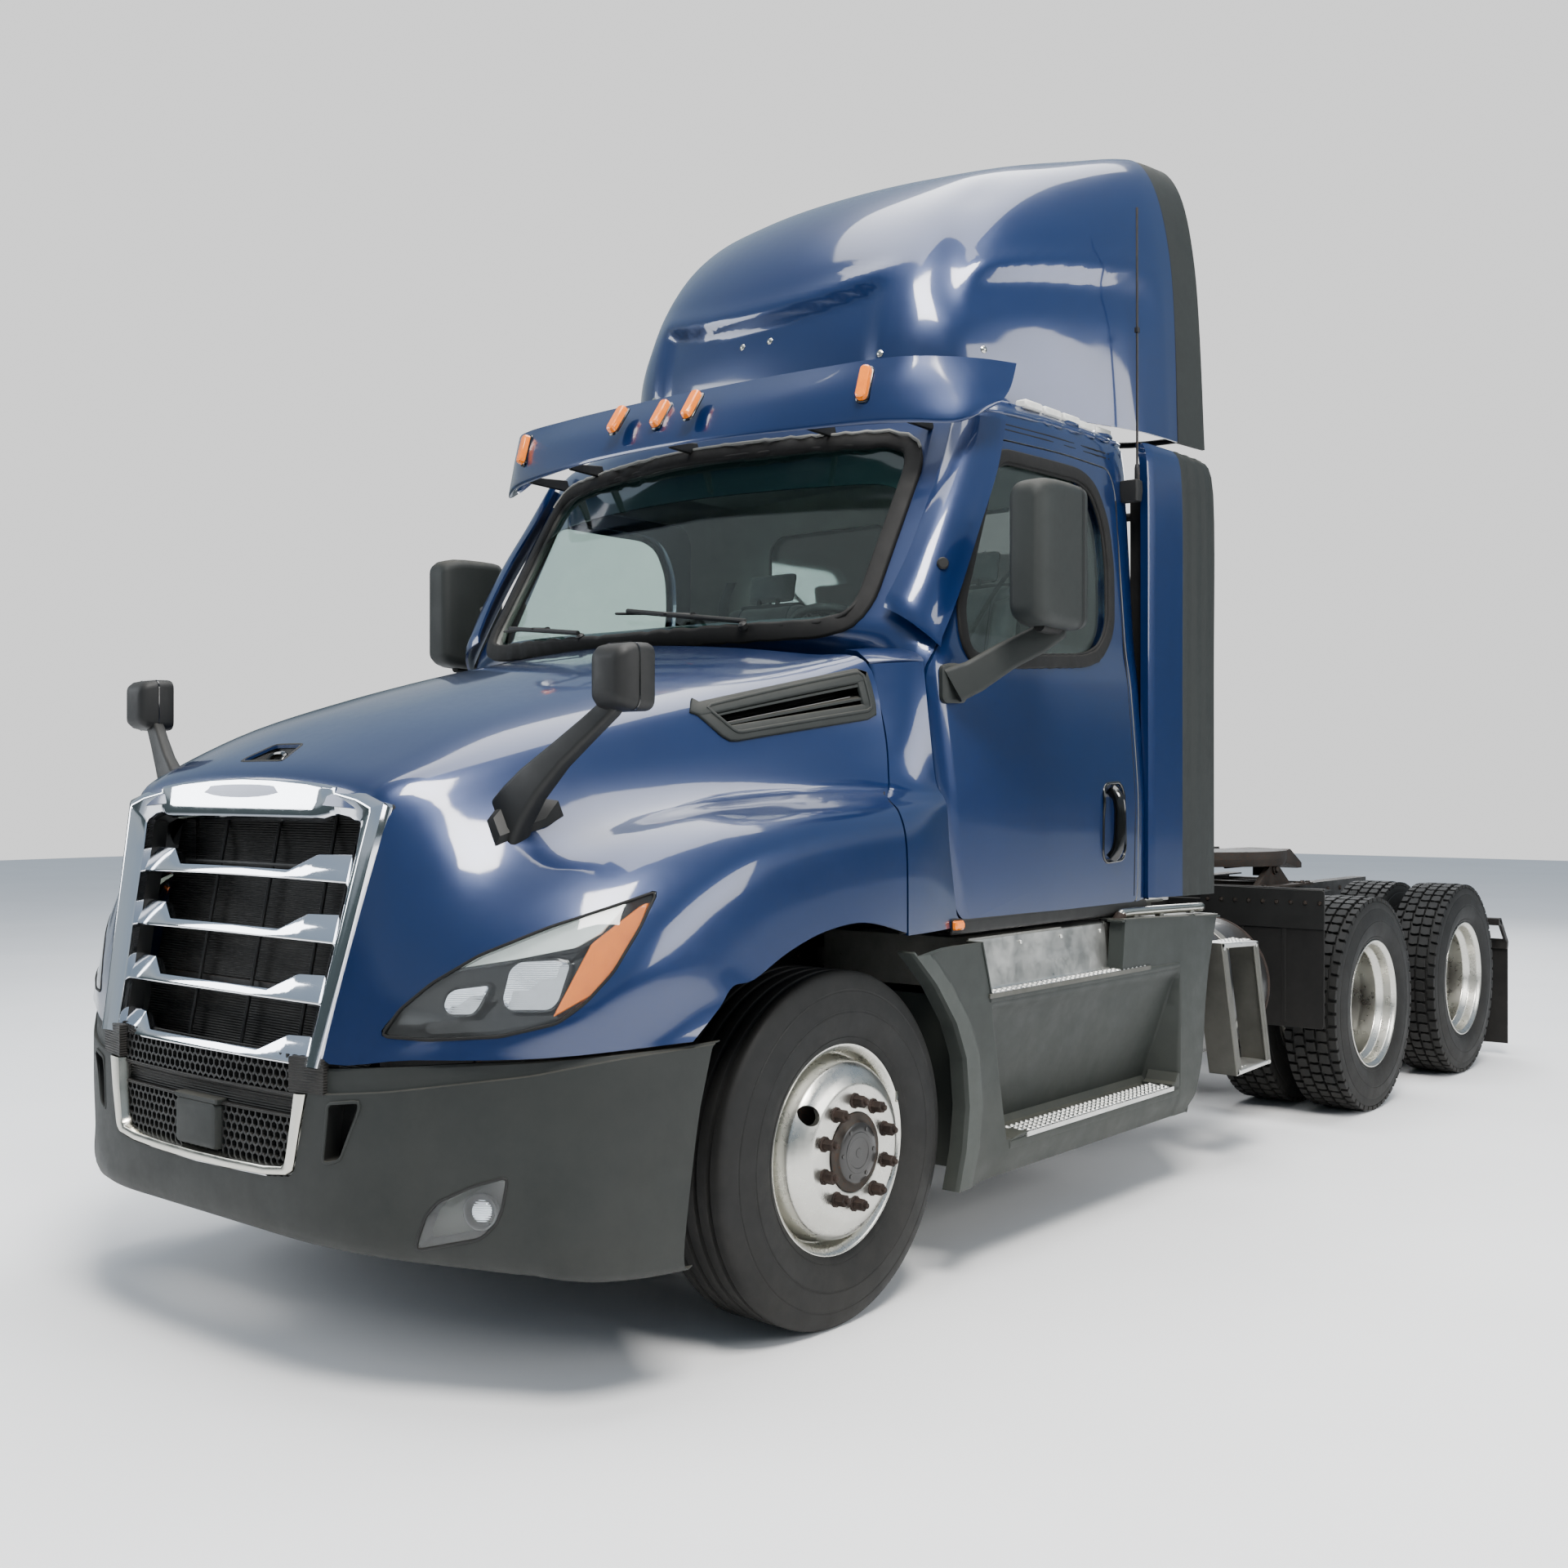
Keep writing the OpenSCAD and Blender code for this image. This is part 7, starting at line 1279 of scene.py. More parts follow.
for a_ in (4040, 5360):
    for sx in (1, -1):
        for yy, r0 in ((150, 72), (-150, 72)):
            pass
        x0 = sx * 300; q.rev([(0, 0), (58, 0), (76, 8), (78, 40), (82, 46), (82, 54), (78, 60), (76, 92), (60, 104), (0, 104)], (x0, a_ - 190, 560), (0, 1, 0), 28)   # brake chamber
        q.tube([(x0, a_ - 200, 560), (x0, a_ - 260, 640), (sx * 380, a_ - 300, 760)], 7, 8, 5)
q.obj("chassis_hardware", [M["iron"], M["hose"], M["tank"]], "chassis", 34, "frame_black")
# air springs and shock absorbers
q = G(); q.use(0)
for a_ in (4040, 5360):
    c = (430, a_ + 270, 0); q.rev([(0, 446), (96, 446), (104, 452), (112, 500), (112, 540), (124, 560), (125, 590), (118, 612), (104, 622), (118, 634), (125, 656), (124, 684), (108, 702), (96, 706), (0, 706)], c, (0, 0, 1), 48)
    q.use(1); q.rev([(0, 700), (110, 702), (110, 712), (0, 713)], c, (0, 0, 1), 40); q.use(0)
    q.use(1); q.tube([(500, a_ + 60, 470), (520, a_ + 150, 620), (530, a_ + 210, 740)], 26, 14, 1); q.tube([(504, a_ + 80, 506), (512, a_ + 110, 560), (516, a_ + 128, 596)], 33, 14, 1); q.use(0)
q.mirror(); q.obj("air_springs", [M["rubber"], M["frame"]], "chassis", 36, "black_rubber")
# catwalk plate on the deck behind the cab
q = G(); q.use(0); q.box((-556, 2084, 1010), (556, 3146, 1012.5), 1)
for i, x in enumerate(np.linspace(-520, 520, 27)):
    for j, y in enumerate(np.linspace(2110, 3120, 26)):
        a = math.radians(45 if (i + j) % 2 else -45); d = np.array([math.cos(a), math.sin(a), 0]) * 11; n = np.array([-math.sin(a), math.cos(a), 0]) * 3.2; c = np.array([x, y, 1012.4])
        q.add([c - d, c + n, c + d, c - n, c + [0, 0, 1.8]], [[0, 1, 4], [1, 2, 4], [2, 3, 4], [3, 0, 4]])
q.obj("deck_tread", M["alu_dull"], "chassis", 34, "aluminium")
# fifth wheel: worn top face with grease, ribs, latch, release handle
q = G(); q.use(0)
def horseshoe(r_, z, off=0.0):
    pts = []; 
    for a in np.linspace(math.radians(-74), math.radians(254), 72): pts.append((r_ * math.cos(a) * 1.0, 4700 - r_ * math.sin(a) * -1 * -1 if False else 4700 - r_ * math.sin(a), z))
    return pts
A0 = np.linspace(math.radians(-72), math.radians(252), 80)
outer = np.array([(455 * math.cos(a), 4700 - 455 * math.sin(a)) for a in A0]); inner = np.array([(np.clip(300 * math.cos(a), -300, 300), 4700 - 250 * math.sin(a)) for a in A0])
q2 = []
o3 = lambda P, z: [(p[0], p[1], z) for p in P]
q.use(1)
thr = [(-25.6, 4706), (-70, 4960), (-118, 5180)]
top = [(455 * math.cos(a), 4700 - 455 * math.sin(a)) for a in np.linspace(math.radians(-77), math.radians(257), 90)]
# cast body: rim turned down, ribs under the plate
q.use(0)
rim_ = [(p[0], p[1]) for p in top]; q.sheet(np.array([o3(rim_, 1170), o3([(a * 0.999, 4700 + (b - 4700) * 0.999) for a, b in rim_], 1130), o3([(a * 0.985, 4700 + (b - 4700) * 0.985) for a, b in rim_], 1098)]), 12)
for x in (-240, -130, 130, 240): q.ext([(4440, 1136), (4960, 1136), (4900, 1084), (4500, 1084)], x - 8, x + 8, "yz", 3)
q.use(2); q.tube([(-60, 4640, 1112), (-200, 4600, 1108), (-420, 4560, 1104), (-560, 4548, 1100), (-600, 4546, 1092), (-604, 4546, 1070)], 9, 8, 5)
q.use(0); q.box((-90, 4560, 1096), (90, 4690, 1132), 8)
for sx in (1, -1):
    q.cyl((sx * 352, 4700, 1082), (sx * 436, 4700, 1082), 30, seg=24); q.bolt((sx * 436, 4700, 1082), (sx, 0, 0), 18, 10)
q.obj("fifth_wheel_parts", [M["iron"], M["grease"], M["chrome_dull"]], "fifth_wheel", 34, "cast_iron")
q = G(); q.use(0)
rr_ = [(r, 1175.3 + (0.5 if 120 < r < 400 else 0) ) for r in (60, 110, 180, 260, 340, 410, 440)]
rows = []
for r, z in rr_:
    rows.append([(r * math.cos(a), 4700 - r * math.sin(a) * (1.0), z + 0.6 * math.sin(a * 9 + r / 30.0)) for a in np.linspace(math.radians(-62), math.radians(242), 80)])
q.sheet(np.array(rows), 1.2); q.obj("coupler_grease", M["grease"], "fifth_wheel", 60, "cast_iron")
q = G(); q.use(0)
for y in (4380, 4460, 4940, 5020):
    for x in (448, 476): q.bolt((x, y, 997), (0, 0, 1), 12, 10)
for y in (4440, 4620, 4780, 4960): q.bolt((442, y, 950), (1, 0, 0), 11, 10)
q.mirror(); q.obj("fifth_wheel_bolts", M["iron"], "chassis", 34, "cast_iron")
# tie rod, brake chambers and two lines on the steer axle
# the rod stands still on the axle; its two ends ride the knuckles, clear of the drums at full lock
for sx, nm in ((1, "left_knuckle"), (-1, "right_knuckle")):
    q = G(); q.tube([(sx * 832, 190, 398), (sx * 742, 190.5, 399.5)], 21, 12, 2); q.ball((sx * 832, 190, 396), 28, 16, (1, 1, 1))
    q.obj(nm + "_rod_end", M["frame"], nm, 34, "frame_black", [])
q = G(); q.tube([(-740, 190, 400), (0, 196, 398), (740, 190, 400)], 17, 12, 1)
q.use(1)
for sx in (1, -1): q.rev([(0, 0), (60, 0), (78, 8), (80, 40), (84, 46), (84, 54), (78, 60), (70, 88), (50, 98), (0, 98)], (sx * 560, -150, 560), (0, 1, 0), 28)
q.use(1); q.tube([(500, 300, 780), (520, 200, 640), (560, 60, 560), (560, -60, 560)], 8, 8, 6); q.tube([(-500, 300, 780), (-520, 200, 640), (-560, 60, 560), (-560, -60, 560)], 8, 8, 6)
q.obj("steer_axle_parts", [M["frame"], M["iron"]], "chassis", 34, "frame_black")

# ------------------------------------------------------------------ wheels and tyres
def tyre_carcass(g, x0, w, drive, side, seg=120):
    h = w / 2; ro, rb = 500.0, 286.0
    half = [(rb, -h + 60), (rb, -h + 40), (rb + 2, -h + 31), (rb + 9, -h + 24), (rb + 16, -h + 19), (rb + 24, -h + 15), (rb + 27, -h + 13.5), (rb + 29, -h + 15), (rb + 40, -h + 10), (rb + 60, -h + 4), (rb + 84, -h + 1), (rb + 98, -h + 0.4), (rb + 100, -h + 2), (rb + 103, -h + 2), (rb + 105, -h + 0.6),
            (rb + 122, -h + 2.5), (rb + 140, -h + 5.5), (rb + 156, -h + 9), (rb + 158, -h + 11), (rb + 161, -h + 11), (rb + 163, -h + 10.5)]
    if drive: half += [(rb + 172, -h + 12), (rb + 180, -h + 12), (rb + 190, -h + 15), (rb + 194, -h + 30)]
    else: half += [(rb + 176, -h + 14), (rb + 186, -h + 18), (rb + 196, -h + 22), (rb + 204, -h + 27), (rb + 210, -h + 33), (ro - 1.2, -h + 39), (ro - 0.2, -h + 45)]
    if drive: tread = []
    else:
        tread = []; xs = [-h + 52, -48, 0, 48]
        for c in (-72, -25, 25, 72):
            tread += [(ro, c - 11), (ro - 1.4, c - 7.5), (ro - 13, c - 4.5), (ro - 15, c - 3), (ro - 15, c + 3), (ro - 13, c + 4.5), (ro - 1.4, c + 7.5), (ro, c + 11)]
        tread = [(ro - 0.3, -h + 50)] + tread + [(ro - 0.3, h - 50)]
    prof = half + tread + [(r, -t) for r, t in half[::-1]]
    g.rev([(r, t) for r, t in prof], (x0, 0, 0), (1, 0, 0), seg, closed=True)
    if not drive:   # the loop below adds no sipes or shoulder dots
        n = 96
        for k in range(n):
            a = 2 * math.pi * k / n
            for c in (-61, 61): pass
def block(g, x0, poly, r0, r1, a0):
    """lug on the tread: poly in (arc mm, axial mm)"""
    A = np.array(poly, float); c = A.mean(0); out = []
    for r, k in ((r0, 1.05), (r1 - 2.2, 1.0), (r1, 0.93)):
        B = c + (A - c) * k; th = a0 + B[:, 0] / 500.0; out.append(np.stack([x0 + B[:, 1], -np.sin(th) * r, np.cos(th) * r], 1))
    n = len(A); f = []
    for j in range(2):
        for i in range(n): f.append([j * n + i, j * n + (i + 1) % n, (j + 1) * n + (i + 1) % n, (j + 1) * n + i])
    f.append([2 * n + i for i in range(n)]); g.add(np.concatenate(out), f)
def drive_tread(g, x0, w, phase):
    h = w / 2; n = 54; L = 2 * math.pi * 500 / n
    for k in range(n):
        a = 2 * math.pi * k / n + phase
        for s_ in (1, -1):
            o = 0 if s_ > 0 else L / 2 / 500
            block(g, x0, [(-0.36 * L, s_ * 84), (0.30 * L, s_ * 88), (0.36 * L, s_ * (h - 24)), (0.34 * L, s_ * (h - 15)), (-0.38 * L, s_ * (h - 15)), (-0.40 * L, s_ * (h - 24))][::s_], 478, 496.5, a + o)
            block(g, x0, [(-0.40 * L, s_ * 33), (0.30 * L, s_ * 29), (0.42 * L, s_ * 52), (0.36 * L, s_ * 76), (-0.32 * L, s_ * 74), (-0.44 * L, s_ * 54)][::s_], 478, 500, a + o + 0.3 * L / 500)
        block(g, x0, [(-0.42 * L, -20), (0.34 * L, -22), (0.42 * L, 0), (0.34 * L, 22), (-0.42 * L, 20), (-0.36 * L, 0)], 478, 500, a + 0.25 * L / 500)
    # floor of the tread between the lugs
    g.rev([(480, -h + 20), (483, -h + 40), (484.5, -60), (485, 0), (484.5, 60), (483, h - 40), (480, h - 20)], (x0, 0, 0), (1, 0, 0), 72)
def rimvis(g, x0, s_, seg=96):
    ro = 298.2; h = 117
    prof = [(ro, -h), (ro, -h + 9), (ro - 14, -h + 15), (ro - 18, -h + 55), (ro - 40, -h + 75), (ro - 40, h - 75), (ro - 18, h - 55), (ro - 14, h - 15), (ro, h - 9), (ro, h), (ro - 9, h), (ro - 25, h - 16), (ro - 28, h - 56), (ro - 34, h - 62), (ro - 52, 130), (232, 146), (214, 158), (190, 170.4), (178, 170.6), (110.5, 170.6), (110.5, 160), (178, 160), (206, 147), (ro - 62, 118), (ro - 50, 40), (ro - 52, -h + 80), (ro - 28, -h + 58), (ro - 25, -h + 16), (ro - 9, -h)]
    p3 = fillet([np.array([r, t, 0.0]) for r, t in prof], 5, 3, True)[:, :2]
    g.rev([(r, t * s_) for r, t in p3], (x0, 0, 0), (1, 0, 0), seg, closed=True)
def nutset(g, x, s_, n, rad, h0, h1, rh, cover=True):
    for i in range(n):
        a = 2 * math.pi * i / n; c = np.array([x, -math.sin(a) * rad, math.cos(a) * rad])
        g.rev([(0, 0), (rh * 1.38, 0), (rh * 1.38, 3 * s_), (rh * 1.12, 5 * s_), (rh * 1.08, 5 * s_)], c, (1, 0, 0), 12)
        g.rev([(rh * 1.08, 4 * s_), (rh * 1.08, (h1 - 3) * s_), (rh * 0.92, h1 * s_), (rh * 0.5, h1 * s_), (rh * 0.46, (h1 - 4) * s_), (0, (h1 - 4) * s_)], c, (1, 0, 0), 6, phase=a)
        if cover: g.rev([(rh * 0.5, h1 * s_), (rh * 0.5, (h1 + 9) * s_), (rh * 0.3, (h1 + 11) * s_), (0, (h1 + 11) * s_)], c, (1, 0, 0), 10)
def steer_wheel(side):
    nm = "front_left" if side > 0 else "front_right"; X0 = 1035.0
    g = G(); tyre_carcass(g, 0, 284, False, side, 144)
    for k in range(110):
        a = 2 * math.pi * k / 110
        for s_ in (1, -1): g.add([(s_ * (142 - 31.6) , 0, 0)] * 0, [])
    g.v = [v + np.array([X0, 0, 500.0]) for v in g.v]
    if side < 0: g.flipx()
    g.obj(nm + "_tyre_tread", M["tyre"], nm + "_wheel", 28, "tyre", [nm + "_tyre"])
    g = G(); rimvis(g, 0, 1, 112)
    rim = g
    rim.v = [v + np.array([X0, 0, 500.0]) for v in rim.v]
    if side < 0: rim.flipx()
    o = rim.obj(nm + "_rim", M["wheel"], nm + "_wheel", 34, "wheel_alloy", [nm + "_wheel"])
    def holes(c):
        for a in (55, 235):
            r = math.radians(a); y, z = -math.sin(r) * 219, 500 + math.cos(r) * 219
            c.cyl((side * (X0 + 60), y, z), (side * (X0 + 240), y, z), 27, seg=32, c=0.01)
    boole(o, cutter("c", holes), angle=34)
    g = G(); g.use(0)   # drum and back plate
    g.rev([(196, -116), (212, -114), (214, -100), (211, -96), (211, 60), (214, 66), (214, 84), (206, 96), (170, 104), (150, 112), (112, 112)], (0, 0, 0), (1, 0, 0), 96)
    g.rev([(196, -116), (196, 92), (112, 96)], (0, 0, 0), (1, 0, 0), 96)
    for k in range(24):
        a = 2 * math.pi * k / 24; c = np.array([74, -math.sin(a) * 205, math.cos(a) * 205]); g.box(c - [9, 4, 4], c + [9, 4, 4], 1.5)
    g.use(1)   # studs with long rusty covers
    nutset(g, 170.6, 1, 10, 142.9, 0, 36, 16)
    g.use(2)   # hub and its cap
    g.rev([(110, 150), (110, 171), (108, 173), (92, 174), (88, 176), (84, 181)], (0, 0, 0), (1, 0, 0), 72)
    g.use(3)
    g.rev([(88, 174), (84, 181), (80, 183.5), (58, 184.5), (56, 186), (44, 186.4), (42, 185), (14, 184.6), (12, 186), (0, 186.4)], (0, 0, 0), (1, 0, 0), 72)
    for k in range(6):
        a = 2 * math.pi * (k + 0.5) / 6; g.bolt((182.5, -math.sin(a) * 70, math.cos(a) * 70), (1, 0, 0), 6.5, 4)
    g.use(4); a = math.radians(300); g.tube([(150, -math.sin(a) * 262, math.cos(a) * 262), (158, -math.sin(a) * 250, math.cos(a) * 250), (172, -math.sin(a) * 226, math.cos(a) * 226)], 4.2, 8, 3)
    g.v = [v + np.array([X0, 0, 500.0]) for v in g.v]
    if side < 0: g.flipx()
    g.obj(nm + "_hub", [M["drum"], M["rust"], M["iron"], M["tank"], M["chrome_dull"]], nm + "_wheel", 32, "cast_iron")
def dual(axle, side):
    pre = "mid" if axle < 4500 else "rear"; nm = pre + ("_left" if side > 0 else "_right"); body = nm + "_wheels"
    g = G()
    for j, x in enumerate((1076, 734)):
        tyre_carcass(g, x, 268, True, side, 84); drive_tread(g, x, 268, 0.013 * j + (0.02 if axle > 4500 else 0))
    g.v = [v + np.array([0, axle, 500.0]) for v in g.v]
    if side < 0: g.flipx()
    g.obj(nm + "_tyre_tread", M["tyre"], body, 28, "tyre", [nm + "_tyres"])
    g = G(); g.use(0); rimvis(g, 1076, -1, 96); g.use(1); rimvis(g, 734, 1, 48)
    g.v = [v + np.array([0, axle, 500.0]) for v in g.v]
    if side < 0: g.flipx()
    o = g.obj(nm + "_rims", [M["wheel"], M["alu_dull"]], body, 34, "wheel_alloy", [body])
    def holes(c):
        for k in range(10 if False else 2):
            a = math.radians(55 + 180 * k); y, z = axle - math.sin(a) * 219, 500 + math.cos(a) * 219
            c.cyl((side * 860, y, z), (side * 1000, y, z), 27, seg=28, c=0.01)
    boole(o, cutter("c", holes), angle=34)
    g = G(); g.use(0)
    g.rev([(200, 642), (214, 644), (216, 660), (213, 664), (213, 850), (216, 858), (216, 880), (204, 892), (110, 893)], (0, 0, 0), (1, 0, 0), 84); g.rev([(200, 642), (200, 876), (110, 880)], (0, 0, 0), (1, 0, 0), 84)
    g.use(1); nutset(g, 905.4, 1, 10, 142.9, 0, 40, 16.5, True)
    g.use(2)    # drive flange
    g.rev([(109, 892), (109, 978), (106, 984), (100, 1012), (97, 1020), (92, 1026), (90, 1031), (84, 1033), (52, 1036), (40, 1046), (34, 1054), (14, 1058), (0, 1058.5)], (0, 0, 0), (1, 0, 0), 84)
    for k in range(8):
        a = 2 * math.pi * k / 8; g.bolt((1031, -math.sin(a) * 74, math.cos(a) * 74), (1, 0, 0), 9, 9)
    g.v = [v + np.array([0, axle, 500.0]) for v in g.v]
    if side < 0: g.flipx()
    g.obj(nm + "_hub", [M["drum"], M["rust"], M["iron"]], body, 32, "cast_iron")
for sd in (1, -1):
    steer_wheel(sd); dual(4040.0, sd); dual(5360.0, sd)

# ------------------------------------------------------------------ cabin
def pillow(g, c, w, d, h, ax, ay, az, n=18, crown=0.35, pinch=0.06, edge=0.30, grooves=(), gdir=0):
    """crowned cushion: half sizes w d h about c along three axes, sides pulled in between the corners"""
    ax, ay, az = [np.asarray(v, float) / np.linalg.norm(v) for v in (ax, ay, az)]; c = np.asarray(c, float)
    us = np.sin(np.linspace(-1, 1, n) * math.pi / 2); rows_t, rows_b = [], []
    for sgn, rows in ((1, rows_t), (-1, rows_b)):
        for v in us:
            r = []
            for u_ in us:
                e = max(abs(u_), abs(v)); rim = (1 - max(0, (e - (1 - edge)) / edge) ** 2.2) ** 0.5 if e > 1 - edge else 1.0
                pu = 1 - pinch * (1 - v * v) * abs(u_) ** 3; pv = 1 - pinch * (1 - u_ * u_) * abs(v) ** 3
                cr_ = (1 + crown * (1 - u_ * u_) * (1 - v * v)) / (1 + crown)
                z = h * rim * cr_
                if sgn > 0:
                    for gpos, gw, gd in grooves:
                        t = (v if gdir else u_) - gpos; z -= gd * math.exp(-(t / gw) ** 2) * rim
                # corners rounded in plan
                k = 1 - 0.10 * (abs(u_) ** 6) * (abs(v) ** 6)
                r.append(c + ax * u_ * w * pu * k + ay * v * d * pv * k + az * z * sgn * (1.0 if sgn > 0 else 0.75))
            rows.append(r)
    T_, B_ = np.array(rows_t), np.array(rows_b)
    m = n; V_ = np.concatenate([T_.reshape(-1, 3), B_.reshape(-1, 3)]); f = []
    for i in range(m - 1):
        for j in range(m - 1):
            f.append([i * m + j, i * m + j + 1, (i + 1) * m + j + 1, (i + 1) * m + j]); o = m * m
            f.append([o + i * m + j, o + (i + 1) * m + j, o + (i + 1) * m + j + 1, o + i * m + j + 1])
    g.add(V_, f); return T_
def seam(g, T_, idx, r=3.2, lift=0.0):
    ring = [T_[0, j] for j in range(T_.shape[1])] + [T_[i, -1] for i in range(1, T_.shape[0])] + [T_[-1, j] for j in range(T_.shape[1] - 2, -1, -1)] + [T_[i, 0] for i in range(T_.shape[0] - 2, 0, -1)]
    g.tube(ring, r, 6, 1, closed=True)
for i, sx in enumerate((500, -500)):
    nm = ("driver" if sx > 0 else "passenger") + "_seat"
    q = G(); q.use(0)
    T1 = pillow(q, (sx, 1322, 1672), 232, 238, 62, (1, 0, 0), (0, 1, -0.04), (0, 0.04, 1), 26, 0.4, 0.05, 0.28, ((-0.55, 0.05, 9), (0.55, 0.05, 9), (-0.1, 0.03, 4), (0.1, 0.03, 4)))
    by = np.array([0, 0.20, 0.98]); bn = np.array([0, -0.98, 0.20])
    T2 = pillow(q, (sx, 1602, 2004), 224, 284, 66, (1, 0, 0), by, bn, 28, 0.3, 0.05, 0.26, ((-0.58, 0.05, 10), (0.58, 0.05, 10), (-0.1, 0.03, 4), (0.1, 0.03, 4)))
    T3 = pillow(q, (sx, 1672, 2352), 124, 62, 38, (1, 0, 0), by, bn, 16, 0.3, 0.04, 0.4)
    # side bolsters
    for s_ in (1, -1):
        pillow(q, (sx + s_ * 196, 1312, 1690), 44, 214, 52, (1, 0, 0.1 * s_), (0, 1, -0.03), (-0.1 * s_, 0.03, 1), 14, 0.3, 0.03, 0.5)
        pillow(q, (sx + s_ * 188, 1576, 1990), 42, 250, 60, (1, 0, 0), by, bn, 14, 0.3, 0.03, 0.5)
    o = q.obj(nm + "_cushions", M["seat"], "chassis", 70, "seat_fabric")
    q = G(); q.use(0)
    seam(q, T1, 0); seam(q, T2, 0); seam(q, T3, 0, 2.4)
    for T_, us_ in ((T1, (-0.55, 0.55)), (T2, (-0.58, 0.58))):
        n_ = T_.shape[1]; uu = np.sin(np.linspace(-1, 1, n_) * math.pi / 2)
        for u0 in us_:
            j = int(np.argmin(np.abs(uu - u0))); q.tube([T_[k, j] + np.array([0, 0, 1.0]) for k in range(2, T_.shape[0] - 2)], 1.6, 5, 1)
    q.obj(nm + "_piping", M["seat_side"], "chassis", 60, "seat_fabric")
    q = G(); q.use(0)   # shell, base, suspension bellows, arm rests, belts
    q.loft([rsec((sx, 1630 + 8 * k, z), X_, Y_, w_, t_, 30) for k, (z, w_, t_) in enumerate(((1690, 216, 46), (1760, 226, 52), (1900, 226, 50), (2100, 214, 44), (2240, 190, 38), (2284, 160, 30)))])
    q.loft([rsec((sx, 1320, z), X_, Y_, w_, d_, 40) for z, w_, d_ in ((1590, 200, 190), (1606, 226, 226), (1628, 232, 232))])
    q.use(1)
    prof = []
    for k in range(9): prof += [(150 + 34 * (k % 2), 1300 + k * 34)]
    q.loft([rsec((sx, 1310, z), X_, Y_, r_, r_ * 0.95, 46) for r_, z in prof])
    q.use(0); q.loft([rsec((sx, 1310, z), X_, Y_, w_, d_, 20) for z, w_, d_ in ((1222, 226, 206), (1240, 228, 208), (1290, 206, 186), (1300, 190, 170))])
    q.use(2)
    for s_ in (1, -1):
        q.tube([(sx + s_ * 238, 1640, 1880), (sx + s_ * 242, 1560, 1880), (sx + s_ * 242, 1420, 1876), (sx + s_ * 242, 1330, 1868)], 26, 12, 5, flat=(1.0, 0.75))
    q.use(1); s_ = 1 if sx > 0 else -1
    belt = [(sx + s_ * 250, 1690, 2400), (sx + s_ * 180, 1560, 2250), (sx + s_ * 40, 1500, 2000), (sx - s_ * 160, 1480, 1780), (sx - s_ * 236, 1490, 1690)]
    q.tube(belt, 22, 6, 6, flat=(1.0, 0.10))
    q.use(0); q.rev([(10, 0), (10, 60)], (sx - 50, 1640, 2280), (0, 0.2, 0.98), 12); q.rev([(10, 0), (10, 60)], (sx + 50, 1640, 2280), (0, 0.2, 0.98), 12)
    q.obj(nm + "_frame", [M["interior"], M["seat_side"], M["seat_side"]], "chassis", 40, "interior_plastic")
bpy.context.view_layer.update()
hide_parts("seats")
# dashboard: wrapped wing, binnacle, vents, screens, switch rows
q = G(); q.use(0)
def dash_row(x):
    wing = smooth(120, 300, x) * 36 - 0; w2 = 34 * math.exp(-((x - 500) / 210.0) ** 2)
    return [(x, 650, 1700), (x, 560, 1880), (x, 536, 1940), (x, 532, 1966), (x, 560, 1984), (x, 660, 1996 + w2 * 0.6), (x, 740, 1994 + w2), (x, 786, 1980 + w2), (x, 800, 1960 + w2 * 0.8), (x, 796, 1930), (x, 806 + wing * 0.3, 1890), (x, 822, 1850), (x, 815, 1780), (x, 790, 1712), (x, 740, 1694)]
q.sheet(np.array([dash_row(x) for x in np.linspace(-912, 912, 61)]), 6)
for sx in (1, -1): q.add(dash_row(sx * 911), [list(range(15))])
q.use(1)
q.loft([rsec((500, 803, 1948), X_, (0, 0.12, 1), 168, 34, 20), rsec((500, 806, 1948), X_, (0, 0.12, 1), 166, 32, 18)])
q.loft([rsec((150, 806, 1942), X_, (0, 0.12, 1), 92, 40, 10), rsec((150, 810, 1942), X_, (0, 0.12, 1), 90, 38, 10)])
q.use(2)
for x in (-820, -560, -300, 300, 740):
    q.loft([rsec((x, 806, 1900), X_, (0, 0.2, 1), 60, 22, 8), rsec((x, 816, 1902), X_, (0, 0.2, 1), 60, 22, 8), rsec((x, 817, 1902), X_, (0, 0.2, 1), 52, 15, 6), rsec((x, 806, 1901), X_, (0, 0.2, 1), 52, 15, 6)])
    for k in range(4): q.tube([(x - 50, 813, 1891 + k * 7), (x, 813, 1891 + k * 7), (x + 50, 813, 1891 + k * 7)], 1.6, 5, 1)
for k in range(9): q.loft([rsec((20 + k * 30, 822, 1846), X_, (0, -0.1, 1), 12, 18, 3), rsec((20 + k * 30, 828, 1846), X_, (0, -0.1, 1), 11, 16, 3)])
q.use(0); q.tube([(500, 770, 1800), (500, 850, 1900), (500, 893, 1992)], 34, 14, 4); q.use(2); q.tube([(500, 870, 1960), (430, 872, 1975), (340, 870, 1990)], 7, 8, 3); q.tube([(500, 870, 1960), (570, 872, 1975), (650, 870, 1990)], 7, 8, 3)
q.use(0); q.loft([rsec((80, 800 + 0, z), X_, Y_, w_, d_, 20) for z, w_, d_ in ((1230, 110, 120), (1500, 100, 90), (1700, 110, 60))])
q.obj("dashboard_shell", [M["interior"], M["screen"], M["seat_side"]], "chassis", 40, "interior_plastic", ["dashboard"])
